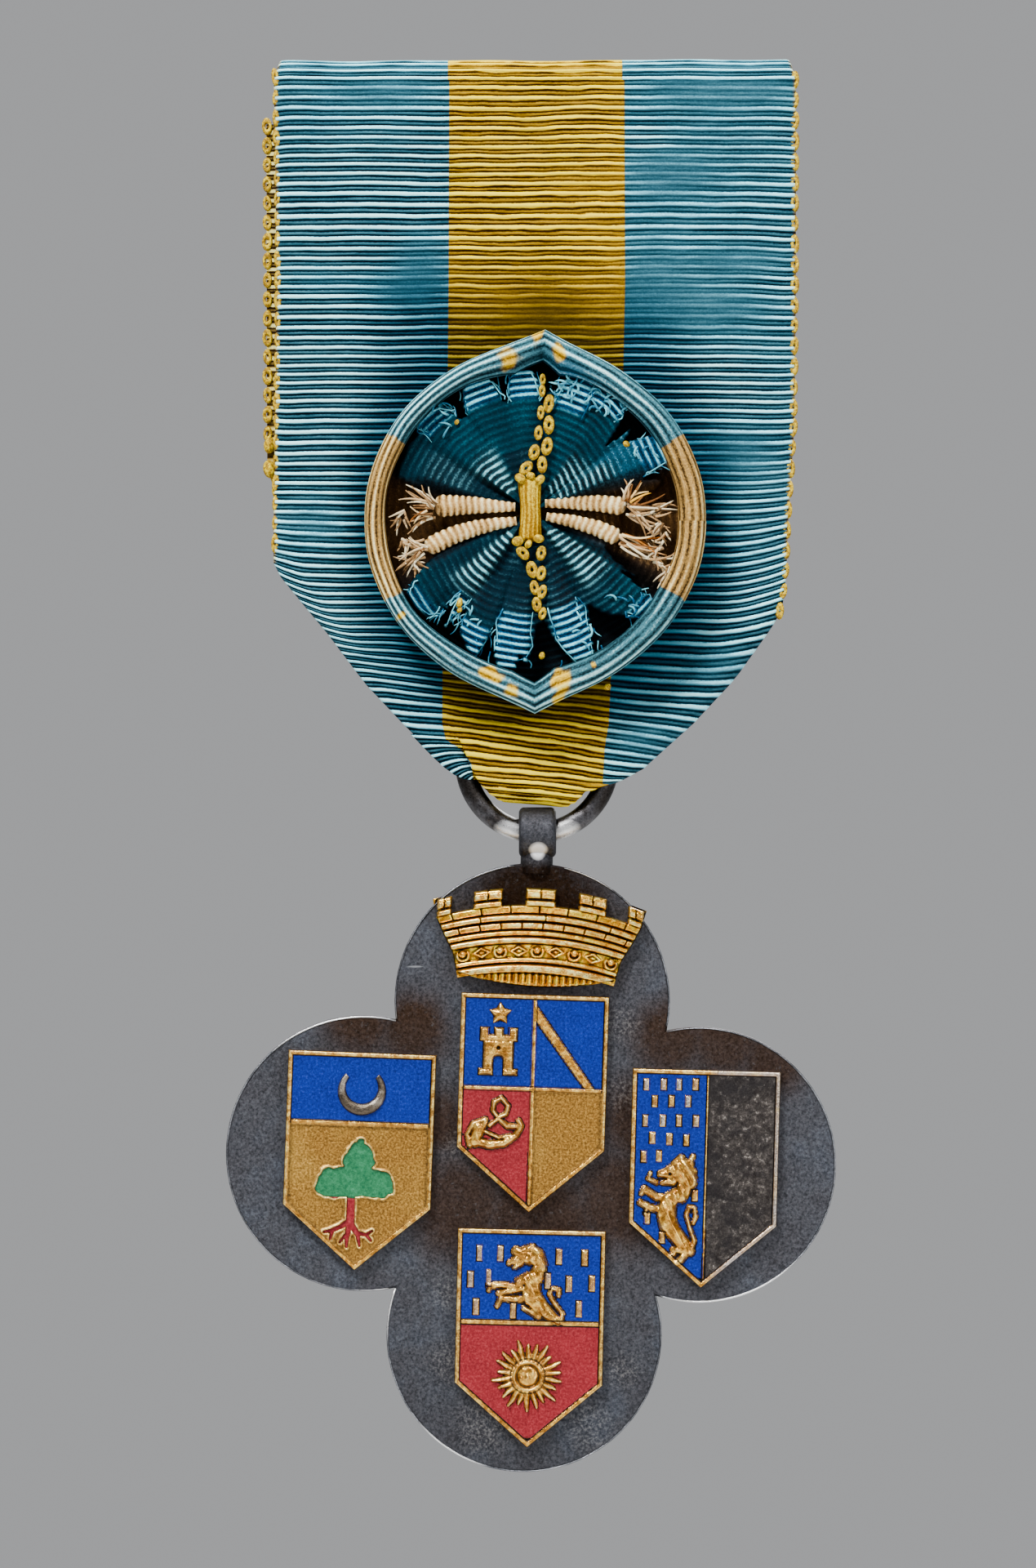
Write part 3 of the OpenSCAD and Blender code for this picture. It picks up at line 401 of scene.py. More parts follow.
def dark_silver():
    """Oxidised silver: dark blue-grey and pitted, brown-black round the crown and between the shields."""
    f = Finish("dark_silver_metal", metallic=1.0)
    grains = f.grain(10, 5, 0.85)
    clouds = f.grain(0.30, 4, 0.6, 0.4)
    spots = f.grain(2.6, 5, 0.75)
    fine = f.grain(4.8, 4, 0.8)
    where = f.place()
    _, deep, high = f.node("ShaderNodeSeparateXYZ", {0: where}).outputs
    grey = f.ramp(clouds, (0.3, (0.054, 0.053, 0.060)), (0.52, (0.062, 0.064, 0.074)),
                  (0.72, (0.070, 0.077, 0.095)))
    grey = f.mix(0.75, grey, f.ramp(fine, (0.34, 0.08), (0.5, 0.50), (0.64, 0.95)), "SOFT_LIGHT")
    grey = f.mix(1.0, grey, f.span(high, -97.0, -80.0, 0.76, 1.0), "MULTIPLY")
    # Brown only on the front, fainter on the eye, and darker towards the top
    brown = f.times(patches(f, where, BROWN), f.span(high, -51.4, -50.8, 1.0, 0.25))
    brown = f.times(brown, f.span(deep, PIVOT[1] - 0.3, PIVOT[1] + 0.2, 1.0, 0.0))
    brown = f.times(brown, f.span(spots, 0.28, 0.55, 0.74, 1.15), clamp=True)
    brown = f.times(brown, f.span(high, -64.0, -61.0, 0.86, 1.0))
    rust = f.ramp(fine, (0.3, (0.0105, 0.0055, 0.0030)), (0.7, (0.064, 0.0360, 0.0225)))
    rust = f.mix(1.0, rust, f.mix(f.span(high, -60.5, -58.5), 1.0, 0.42), "MULTIPLY")
    metal = f.mix(brown, grey, rust)
    metal = f.mix(f.times(f.span(spots, 0.60, 0.72), 0.42), metal, (0.15, 0.16, 0.175))
    metal = f.mix(f.span(f.away(where, EYE_SPOT), 0.45, 0.75, 1.0, 0.0), metal, 0.95)
    scratch = f.grain((0.9, 0.9, 5.0), 2, 0.5, 2.5, shift=(3.7, 0, 1.2))
    lines = f.span(f.calc("ABSOLUTE", f.less(scratch, 0.5)), 0.0, 0.007, 1.0, 0.0)
    lines = f.times(lines, f.span(spots, 0.50, 0.66))
    metal = f.mix(f.times(lines, 0.22), metal, (0.30, 0.33, 0.37))
    # A short bright dent on the upper lobe
    dent = f.node("ShaderNodeMapping", {"Vector": where, "Location": DENT_SHIFT})
    flat = f.node("ShaderNodeVectorMath", {0: dent.outputs[0], 1: DENT_SCALE}, operation="MULTIPLY")
    size = f.node("ShaderNodeVectorMath", {0: flat.outputs[0]}, operation="LENGTH").outputs["Value"]
    metal = f.mix(f.span(size, 0.5, 1.0, 0.8, 0.0), metal, (0.30, 0.31, 0.33))
    dust = f.times(patches(f, where, DUST), f.span(fine, 0.50, 0.66))
    f.colour(f.mix(f.times(dust, 0.38), metal, (0.34, 0.32, 0.29)))
    f.roughness(f.span(grains, 0.2, 0.8, 0.38, 0.62))
    f.bump(f.plus(grains, spots), 0.035)
    return f.material


def wire_silver(name, dark, light, highlights_at=()):
    """Grainy silver, with painted highlights at a few places: across, depth, up, reach."""
    f = Finish(name, metallic=1.0)
    grains = f.grain(6, 5, 0.8)
    clouds = f.grain(0.45, 3, 0.6)
    grey = f.mix(f.span(clouds, 0.44, 0.60), dark, light)
    grey = f.mix(0.9, grey, f.ramp(grains, (0.3, 0.10), (0.7, 0.90)), "SOFT_LIGHT")
    for x, y, z, reach in highlights_at:
        grey = f.mix(f.span(f.away(f.place(), (x, y, z)), reach * 0.4, reach, 1.0, 0.0), grey, 0.95)
    f.colour(grey)
    f.roughness(f.span(grains, 0.3, 0.7, 0.20, 0.42))
    f.bump(grains, 0.03)
    return f.material


def enamel(name, dark, mid, light):
    """Opaque enamel, softly glossy, grainy and uneven."""
    f = Finish(name, roughness=0.36, specular=0.07)
    grains = f.grain(5.6, 4, 0.8)
    clouds = f.grain(0.8, 3, 0.5)
    glass = f.ramp(grains, (0.30, dark), (0.5, mid), (0.70, light))
    f.colour(f.mix(0.35, glass, f.ramp(clouds, (0.3, 0.33), (0.7, 0.70)), "SOFT_LIGHT"))
    f.bump(f.plus(f.times(grains, 0.7), clouds), 0.030)
    return f.material


def dull_silver():
    """Tarnished silver half of the right shield, mottled brown-black."""
    f = Finish("dull_silver_metal", metallic=0.9)
    spots = f.grain(2.2, 6, 0.8, 0.2)
    grains = f.grain(9, 4, 0.85)
    clouds = f.grain(0.5, 3, 0.6, shift=(2.0, 0, 5.0))
    metal = f.ramp(spots, (0.38, (0.018, 0.014, 0.013)), (0.50, (0.042, 0.036, 0.033)),
                   (0.60, (0.095, 0.082, 0.073)), (0.68, (0.50, 0.45, 0.41)))
    metal = f.mix(f.span(clouds, 0.36, 0.58, 0.80, 0.0), metal, (0.018, 0.016, 0.017))
    f.colour(f.mix(0.8, metal, f.ramp(grains, (0.3, 0.15), (0.7, 0.86)), "SOFT_LIGHT"))
    f.bump(f.plus(f.times(spots, 0.7), grains), 0.04)
    return f.material


# Painted highlights of the ring, and of the plate's edge: across, up, reach
RING_HIGHLIGHTS = [(x, RING_Y - 1.0, -49.2, 1.3) for x in (-2.0, 2.4)]
EDGE_HIGHLIGHTS = [(x, PIVOT[1] - 0.7, z, reach) for x, z, reach in (
    (-14.5, -62.9, 4.5), (-8.2, -62.8, 2.5), (14.0, -81.6, 5.5), (-9.0, -81.4, 4.0), (4.0, -50.6, 3.0),
    (-6.0, -92.5, 3.0))]

SILK = ribbed_silk()
THREAD = yellow_thread()
GILT = gilt_metal("gilt_metal", 0.80, (0.28, 0.105, 0.008), (0.62, 0.28, 0.034),
                  (1.10, 0.66, 0.11), (1.19, 0.98, 0.36))
CROWN = gilt_metal("crown_gilt_metal", 0.90, (0.62, 0.230, 0.002), (1.08, 0.53, 0.010),
                   (1.19, 0.86, 0.05), (1.19, 1.15, 0.54))
PLATE = dark_silver()
RING = wire_silver("ring_silver", (0.030, 0.026, 0.024), (0.085, 0.083, 0.090), RING_HIGHLIGHTS)
EDGE = wire_silver("edge_silver", (0.115, 0.120, 0.135), (0.30, 0.31, 0.34), EDGE_HIGHLIGHTS)
MOON = wire_silver("crescent_metal", (0.12, 0.095, 0.070), (0.46, 0.40, 0.33))
PIN = wire_silver("pin_steel_wire", (0.22, 0.22, 0.24), (0.42, 0.43, 0.46))
BLUE = enamel("blue_glass", (0.0010, 0.0048, 0.085), (0.0045, 0.0150, 0.200), (0.026, 0.050, 0.39))
RED = enamel("red_glass", (0.115, 0.0055, 0.009), (0.235, 0.0155, 0.0220), (0.40, 0.055, 0.062))
GREEN = enamel("green_glass", (0.006, 0.080, 0.032), (0.020, 0.155, 0.064), (0.045, 0.25, 0.12))
DULL = dull_silver()


# Ribbon, outline of the front layer: height, left edge, right edge
FRONT_EDGES = [
    (5.0, -18.50, 18.50), (0.0, -18.40, 18.50), (-10, -18.30, 18.50), (-20, -18.40, 18.40),
    (-27, -18.50, 17.95), (-29.8, -18.50, 17.85), (-30.8, -18.0, 17.80), (-33.0, -16.2, 17.55),
    (-34.2, -15.2, 16.90), (-34.8, -14.70, 16.50), (-37.6, -12.6, 14.50), (-38.5, -11.9, 13.75),
    (-41.1, -9.45, 11.30), (-42.8, -7.75, 9.40), (-44.3, -5.80, 7.75), (-45.1, -4.3, 6.3),
    (-45.65, -4.0, 5.0),
]
# Outline of the back layer: height, left edge, right edge
BACK_EDGES = [
    (1.7, -19.05, 17.4), (-23.2, -19.0, 17.3), (-25, -18.3, 17.3), (-29, -17.9, 17.2),
    (-31, -17.2, 17.0), (-33.0, -15.6, 16.7), (-34.8, -14.1, 15.9), (-38.5, -11.3, 13.1),
    (-41.1, -8.9, 10.6), (-42.8, -7.2, 8.7), (-44.3, -5.2, 6.5), (-45.1, -4.1, 4.6),
]
# Outline in the fold through the ring: angle, left edge, right edge
FOLD_EDGES = [
    (0, -4.30, 4.75), (12, -4.15, 4.2), (18, -4.05, 3.6), (45, -3.45, 3.1), (75, -2.75, 2.45),
    (90, -2.45, 2.2), (105, -2.6, 2.4), (135, -3.2, 3.0), (165, -3.8, 3.6), (180, -4.0, 4.0),
]
# How far the edges turn inwards: height, left, right
EDGE_ROLLS = [
    (-29, 0, 0), (-31, 0.35, 0), (-33, 0.6, 0.1), (-36, 0.7, 0.65), (-41, 0.7, 0.7),
    (-42.8, 0.5, 0.7), (-44.6, 0.35, 0.6), (-45.1, 0.3, 0.5),
]
ROLL_W = 2.5
# Height of a rib's two ends above its middle: height of its middle, left, right
RIB_ENDS = [
    (5, 0.0, -0.12), (0, -0.10, -0.15), (-10, -0.06, -0.12), (-20, 0.0, 0.0), (-26, 0.05, 0.35),
    (-29, 0.35, 0.8), (-31, 0.85, 0.95), (-33, 0.75, 0.95), (-36, 0.40, 0.65), (-38.5, 0.10, 0.25),
    (-40, -0.10, 0.0), (-41.2, -0.18, -0.2), (-42.78, -0.25, 0.0), (-44.3, -0.25, 0.0), (-45.1, -0.25, 0.35),
]
# Edges of the yellow stripe on the front: height, left, right, and on the other parts
STRIPE_FRONT = [
    (5, -6.05, 6.35), (-10, -6.1, 6.4), (-20, -6.2, 6.2), (-34, -6.5, 5.55), (-41.2, -6.55, 5.25),
    (-42.3, -6.3, 5.05), (-43.0, -5.2, 4.95), (-44.0, -4.5, 4.9), (-45.6, -4.3, 4.8),
]
STRIPE_PLAIN = (-6.15, 6.2)
# Patches where the ribs fade to flat blue or stand out: middle across, up, half width, half height, how much
FLAT_PATCHES = [
    (-10.5, 3.6, 4.5, 1.2, 0.6), (13.0, 3.9, 5.0, 1.3, 0.9), (9.6, -2.2, 2.4, 1.3, 0.85),
    (14.5, -8.4, 4.0, 1.1, 0.9), (12.6, -11.6, 4.2, 1.5, 0.85), (-9.6, -10.6, 3.0, 1.4, 0.7),
    (-15.0, -9.8, 3.0, 1.0, 0.5), (14.5, -22.0, 2.5, 1.6, 0.6), (-15.5, -27.0, 2.0, 2.0, 0.4),
    (13.0, -37.0, 3.0, 1.2, 0.5), (7.5, -42.5, 2.5, 1.2, 0.5), (3.0, -0.5, 2.5, 0.8, -0.3),
    (7.8, 0.2, 2.2, 1.0, -0.4), (-12.0, -4.0, 4.0, 1.6, -0.3), (-14.0, -14.5, 4.0, 1.8, -0.35),
    (12.0, -16.5, 4.0, 1.6, -0.3), (-8.0, -8.2, 2.4, 2.4, 0.8), (8.4, -10.0, 2.2, 2.8, 0.6),
    (0.0, -12.2, 6.0, 2.2, 0.45),
]
# Rows of points in a rib's turn, as shares of it: where the cloth shows, and behind
FINE = (0, 0.09, 0.26, 0.44, 0.55, 0.66, 0.79, 0.92)
PLAIN = (0, 0.14, 0.40, 0.55, 0.78)
PITCH = 0.70
RIB_DEPTH = 0.23
MID_X = -0.6
TURN_END = -7.0
BACK_TOP = 1.7
# The back layer leans towards the front above this height, over this length
LEAN_FOOT, LEAN_LONG = -37, 21
# The selvedge ends here, and the left ribs hook differently below
SELVEDGE_END = -30.5
HOOK_Z = -39
# Notch at the lower left: its height, and the ends of the flap's ribs along its lower and its upper edge
SEAM_Z = -42.78
FLAP_LOW = np.array([(-8.80, -41.90), (-8.00, -42.75), (-7.22, -43.55), (-6.42, -44.28),
                     (-5.68, -44.82), (-4.95, -45.12), (-4.05, -45.18)])
FLAP_TOP = np.array([(-5.45, -42.10), (-5.15, -42.75), (-4.92, -43.3), (-4.70, -43.85),
                     (-4.45, -44.35), (-4.2, -44.8), (-3.95, -45.15)])

# Middle of the rosette, and the angles of the rim's two points
ROSETTE = np.array([-0.1, -26.9])
POINT_ABOVE, POINT_BELOW = 86.5, 270.4
# Painted shadow of the rosette on the ribbon, reaching further above it: angle, half width, extra reach
SHADE_ABOVE = ((119, 13, 8.0), (60, 16, 3.2), (90, 14, 2.0))


def turn_away(a, b):
    """Angle between two directions in degrees."""
    return np.abs((a - b + 180) % 360 - 180)


def rim_peak(a):
    """Share of the rim's points, above and below, at an angle in degrees."""
    return np.exp(-np.minimum(turn_away(a, POINT_ABOVE), turn_away(a, POINT_BELOW)) / 12)


def rim_out(a):
    """Outer radius of the rosette's rim at an angle in degrees."""
    return 12.0 + 1.5 * rim_peak(a) + 0.11 * np.cos(np.radians(a)) + 0.05 * np.sin(np.radians(3 * a + 40))


def rim_width(a):
    """Width of the rim at an angle in degrees: narrower on the left."""
    return 1.66 + 0.32 * np.cos(np.radians(a + 20)) + 0.2 * rim_peak(a)


def rosette_shadow(x, z):
    """Painted shadow of the rosette on the ribbon round it, 0 to 1."""
    dx, dz = x - ROSETTE[0], z - ROSETTE[1]
    a = np.degrees(np.arctan2(dz, dx))
    out = np.hypot(dx, dz) - rim_out(a)
    side = np.clip(np.cos(np.radians(a + 38)), 0, 1)
    steep = np.abs(np.sin(np.radians(a)))
    above = sum(more * peak(a - at, half) for at, half, more in SHADE_ABOVE)
    reach = 1.6 + 4.6 * steep ** 0.8 + 1.6 * side ** 2 + above + 0.5 * ripple(x, z, 5, 4)
    return ease(1 - (out - 0.1) / reach)


def back_depth(z):
    """Depth of the back layer's middle at a height."""
    return LOW_Y + (BACK_Y - LOW_Y) * float(ease((z - LEAN_FOOT) / LEAN_LONG))


def ribbon_path():
    """Close points down the middle of the cloth's outer face: part, height or angle, y, z, out y, out z."""
    step = 0.02
    rows = [("turn", z, TURN_Y + WALL / 2, z, 1, 0) for z in np.arange(TURN_END, TOP_C, step)]
    rows += [("top", a, BACK_Y + TOP_R * math.cos(a), TOP_C + TOP_R * math.sin(a), math.cos(a), math.sin(a))
             for a in np.arange(0, math.pi, step / TOP_R)]
    rows += [("front", z, FACE_Y, z, -1, 0) for z in np.arange(TOP_C, FOLD_Z, -step)]
    rows += [("fold", math.degrees(a), RING_Y - FOLD_R * math.cos(a), FOLD_Z - FOLD_R * math.sin(a),
              -math.cos(a), -math.sin(a)) for a in np.arange(0, math.pi, step / FOLD_R)]
    for z in np.arange(FOLD_Z, BACK_TOP, step):
        rise = np.clip((z - LEAN_FOOT) / LEAN_LONG, 0, 1)
        lean = (BACK_Y - LOW_Y) * 6 * rise * (1 - rise) / LEAN_LONG
        out = np.array([1, -lean]) / math.hypot(1, lean)
        rows.append(("back", z, back_depth(z) + WALL / 2 * out[0], z + WALL / 2 * out[1], out[0], out[1]))
    return rows


def rib_count(s):
    """Number of ribs from the cloth's end to path length s. Their spacing varies a little."""
    return s / PITCH + 0.22 * np.sin(s / 2.9) + 0.16 * np.sin(s / 1.23 + 1)


def across(width, fine=0.72):
    """Shares of the width at which points lie, closer near the edges."""
    near = [0, 0.10, 0.26, 0.48, 0.78, 1.15, 1.6, 2.15, 2.8]
    n = max(2, round((width - 2 * near[-1]) / fine))
    middle = list(np.linspace(near[-1], width - near[-1], n + 1))
    return np.array(near[:-1] + middle + [width - v for v in reversed(near[:-1])]) / width


def spread_out(count, number):
    """Some of the numbers below count, evenly spread, with the first and the last."""
    return np.unique(np.round(np.linspace(0, count - 1, number)).astype(int))


def ribbon_rows(first, last, shares, path, counts):
    """Rows of the cloth from one rib count to another, at given shares of each rib."""
    wanted = [k + f for k in range(first, last) for f in shares] + [last]
    at = np.clip(np.searchsorted(np.maximum.accumulate(counts), wanted), 0, len(path) - 1)
    return [(path[i], c) for i, c in zip(at, wanted)]


def row_tilt(row):
    """Fall of the ribs to the right near the lower end."""
    part, key = row[:2]
    if part == "front":
        return 0.14 * float(ease((-33 - key) / 8)) - 0.04 * float(ease((-43 - key) / 2))
    if part == "fold":
        return 0.10 * (1 - float(ease((key - 60) / 120)))
    return 0.0


def row_ends(row, pouch):
    """Left and right end of a row: x, height above the row's middle. The pouch begins at the notch's fold."""
    part, key = row[:2]
    if part == "turn":
        return (-18.2, 0), (18.3, 0)
    if part == "top":
        narrower = 0.35 * math.sin(key)
        return (-18.5 + narrower, 0.0), (18.5 - narrower, -0.12 * key / math.pi)
    if part in ("fold", "back"):
        table = FOLD_EDGES if part == "fold" else BACK_EDGES
        return (from_table(table, key, 1), 0), (from_table(table, key, 2), 0)
    left, right = from_table(RIB_ENDS, key, 1), from_table(RIB_ENDS, key, 2)
    tilt = row_tilt(row)
    lz, rz = key + left, key + right
    for _ in range(3):
        lx, rx = from_table(FRONT_EDGES, lz, 1), from_table(FRONT_EDGES, rz, 2)
        lz = key + left - tilt * (lx - MID_X)
        rz = key + right - tilt * (rx - MID_X)
    right_end = (rx, max(rz, FRONT_EDGES[-1][0]) - key)
    if pouch:
        return (np.interp(-key, [-SEAM_Z, -FOLD_Z], [FLAP_TOP[0][0], FRONT_EDGES[-2][1]]), 0), right_end
    return (lx, lz - key), right_end


def stripe_place(part, x, z):
    """0 to 1 over the yellow stripe."""
    left, right = STRIPE_PLAIN
    if part == "front":
        left, right = from_table(STRIPE_FRONT, z, 1), from_table(STRIPE_FRONT, z, 2)
    return (x - left) / (right - left)


def rib_relief(turns, depth):
    """Height of the cloth's face against the crests, mm: a broad rib and a low narrow one to each turn."""
    t = turns % 1.0
    broad = np.sin(np.pi * np.clip(t / 0.55, 0, 1)) ** 0.65
    narrow = 0.42 * np.sin(np.pi * np.clip((t - 0.55) / 0.45, 0, 1)) ** 0.8
    return -RIB_DEPTH * (1 - np.maximum(broad, narrow)) * (0.35 + 0.65 * depth)


def rib_rise(row, x, ends, pouch):
    """Height of a row's points above its middle: the ribs' ends hook up or down near the edge."""
    part, key = row[:2]
    (lx, lz), (rx, rz) = ends
    tilt = row_tilt(row)
    up = -tilt * (x - MID_X)
    if part != "front":
        return up
    reach, power = (2.4, 1.7) if key > HOOK_Z else (4.2, 1.15)
    if not pouch:
        up = up + (lz + tilt * (lx - MID_X)) * np.clip(1 - (x - lx) / reach, 0, 1) ** power
    return up + (rz + tilt * (rx - MID_X)) * np.clip(1 - (rx - x) / 4.5, 0, 1) ** 1.6


def rib_depth(part, x, z, count):
    """How deep the ribs are at each point: nearly flat in some patches."""
    depth = 0.86 + 0.34 * ripple(x * 0.45, count * PITCH * 0.55, 23, 2.6)
    if part == "front":
        for px, pz, wide, tall, much in FLAT_PATCHES:
            depth = depth - much * np.exp(-(((x - px) / wide) ** 2 + ((z - pz) / tall) ** 2))
    return np.clip(depth, 0.10, 1.2)


def cloth_shade(part, x, z):
    """Painted shade on the cloth: the rosette's shadow round it, fading out towards the lower end, and an
    even painted shade on the turn and the back layer.
    """
    if part != "front":
        return np.full_like(x, 0.25 if part in ("turn", "back") else 0.0)
    return rosette_shadow(x, z) * (1 - ease((-40.6 - (z - 0.1 * x)) / 1.6))


def turned_in(part, key, from_left, from_right, pouch):
    """How far the cloth goes back where its edges turn inwards."""
    if part not in ("front", "back"):
        return 0 * from_left
    left = 0 if pouch else from_table(EDGE_ROLLS, key, 1)
    right = from_table(EDGE_ROLLS, key, 2)
    near_left, near_right = [np.clip(1 - away / ROLL_W, 0, 1) ** 2 for away in (from_left, from_right)]
    return left * near_left + right * near_right


def edge_fall(edge):
    """How much lower each face lies at a distance from the cloth's rounded edge."""
    return 0.5 * CLOTH * (1 - dome(edge / 0.3))


def cloth_slab(rows, shares, name, pouch=False):
    """A closed stretch of ribbed cloth. The pouch begins at the notch instead of the left edge."""
    outer, inner, uv, tone = [], [], [], []
    picks = spread_out(len(shares), 6)
    for row, count in rows:
        part, key, y, z, ny, nz = row
        ends = row_ends(row, pouch)
        lx, rx = ends[0][0], ends[1][0]
        x = lx + (rx - lx) * shares
        from_left, from_right = x - lx, rx - x
        edge = np.minimum(from_left, from_right)
        up = rib_rise(row, x, ends, pouch) + 0.075 * ripple(x, count * PITCH * 0.45, 11, 3.2) * ease(edge)
        depth = rib_depth(part, x, z + up, count)
        back = turned_in(part, key, from_left, from_right, pouch)
        fall = edge_fall(edge)
        puff = 0.05 * ripple(x, z * 0.7, 31, 6) - 0.05
        faded = 1 - 0.6 * np.clip(1 - edge / 0.2, 0, 1)
        skin = rib_relief(np.full_like(x, count), depth) * faded - fall + puff
        outer.append(np.stack([x, y + ny * (skin - back), z + up + nz * (skin - back)], 1))
        under = -CLOTH + fall * 0.9 + puff - back
        inner.append(np.stack([x, y + ny * under, z + up + nz * under], 1)[picks])
        uv.append(np.stack([stripe_place(part, x, z + up), np.full_like(x, count)], 1))
        woven = not pouch and (part != "front" or key > SELVEDGE_END)
        selvedge = np.clip(1 - edge / 0.16, 0, 1) if woven else np.zeros_like(x)
        tone.append(np.stack([cloth_shade(part, x, z + up), depth, selvedge], 1))
    return solid_from(name, outer, inner, uv, tone, picks)


def solid_from(name, outer, inner, uv, tone, picks):
    """Closed solid from rows of outer points and fewer inner points, with flat ends."""
    rows, cols, few = len(outer), len(outer[0]), len(picks)
    base = rows * cols
    faces = grid_faces(rows, cols)
    faces += [f[::-1] for f in grid_faces(rows, few, base)]
    for i in range(rows - 1):
        a, b = i * cols, (i + 1) * cols
        p, q = base + i * few, base + (i + 1) * few
        faces.append([a, b, q, p])
        faces.append([a + cols - 1, p + few - 1, q + few - 1, b + cols - 1])
    for i in (0, rows - 1):
        end = [i * cols + j for j in range(cols)] + [base + i * few + j for j in reversed(range(few))]
        faces.append(end if i else end[::-1])
    slab = new_piece(name, np.concatenate(outer + inner), faces, SILK)
    lay_uv(slab, np.concatenate(uv + [u[picks] for u in uv]))
    paint(slab, "tone", np.concatenate(tone + [t[picks] for t in tone]))
    return outwards(slab)


def notch_flap(rows):
    """The blue flap that turns behind the pouch: ribs fan from the notch to the lower edge."""
    outer, inner, uv, tone = [], [], [], []
    shares = across(3.0, 0.25)
    picks = spread_out(len(shares), 4)
    last = len(FLAP_LOW) - 1
    for k, (_, count) in enumerate(rows):
        f = k / (len(rows) - 1) * last
        a, b = [np.array([np.interp(f, range(last + 1), table[:, c]) for c in (0, 1)])
                for table in (FLAP_LOW, FLAP_TOP)]
        x = a[0] + (b[0] - a[0]) * shares
        z = a[1] + (b[1] - a[1]) * shares + 0.12 * np.sin(np.pi * shares) * ease(f / 2)
        length = math.hypot(*(b - a))
        behind = 0.55 * ease(f / last / 0.45) * shares ** 1.5
        roll = 0.6 * np.clip(1 - shares * length / 1.6, 0, 1) ** 2
        fall = edge_fall(np.minimum(shares * length, (1 - shares) * length + 0.05))
        depth, turns = np.full_like(x, 1.1), np.full_like(x, count)
        skin = rib_relief(turns, depth) * 1.15 - fall - roll - behind
        outer.append(np.stack([x, FACE_Y - skin, z], 1))
        inner.append(np.stack([x, FACE_Y + CLOTH + roll + behind - fall, z], 1)[picks])
        uv.append(np.stack([stripe_place("front", x, z), turns], 1))
        tone.append(np.stack([np.zeros_like(x), depth, np.zeros_like(x)], 1))
    return solid_from("flap", outer, inner, uv, tone, picks)


def make_ribbon():
    """The folded ribbon: the strip down to the notch, the pouch and the back layer, and the flap."""
    path = ribbon_path()
    s = path_lengths(np.array([r[2:4] for r in path]))
    counts = rib_count(s)
    parts = [r[0] for r in path]
    at = {p: s[parts.index(p)] for p in ("front", "fold", "back")}
    seam = next(c for c, r in zip(counts, path) if r[0] == "front" and r[1] <= SEAM_Z)
    seam = round(float(seam))
    front = int(rib_count(at["front"])) - 2
    back = int(rib_count(at["back"])) + 1
    tip = round(float(rib_count((at["fold"] + at["back"]) / 2)))
    last = int(counts[-1])
    wide = across(37)
    return join("ribbon_cloth", [
        cloth_slab(ribbon_rows(1, front, PLAIN, path, counts), wide, "turn"),
        cloth_slab(ribbon_rows(front, seam, FINE, path, counts), wide, "front"),
        cloth_slab(ribbon_rows(seam, back, FINE, path, counts), across(20, 0.5), "pouch", pouch=True),
        cloth_slab(ribbon_rows(back, last, PLAIN, path, counts), across(37, 1.0), "back"),
        notch_flap(ribbon_rows(seam, tip, FINE, path, counts)),
    ])


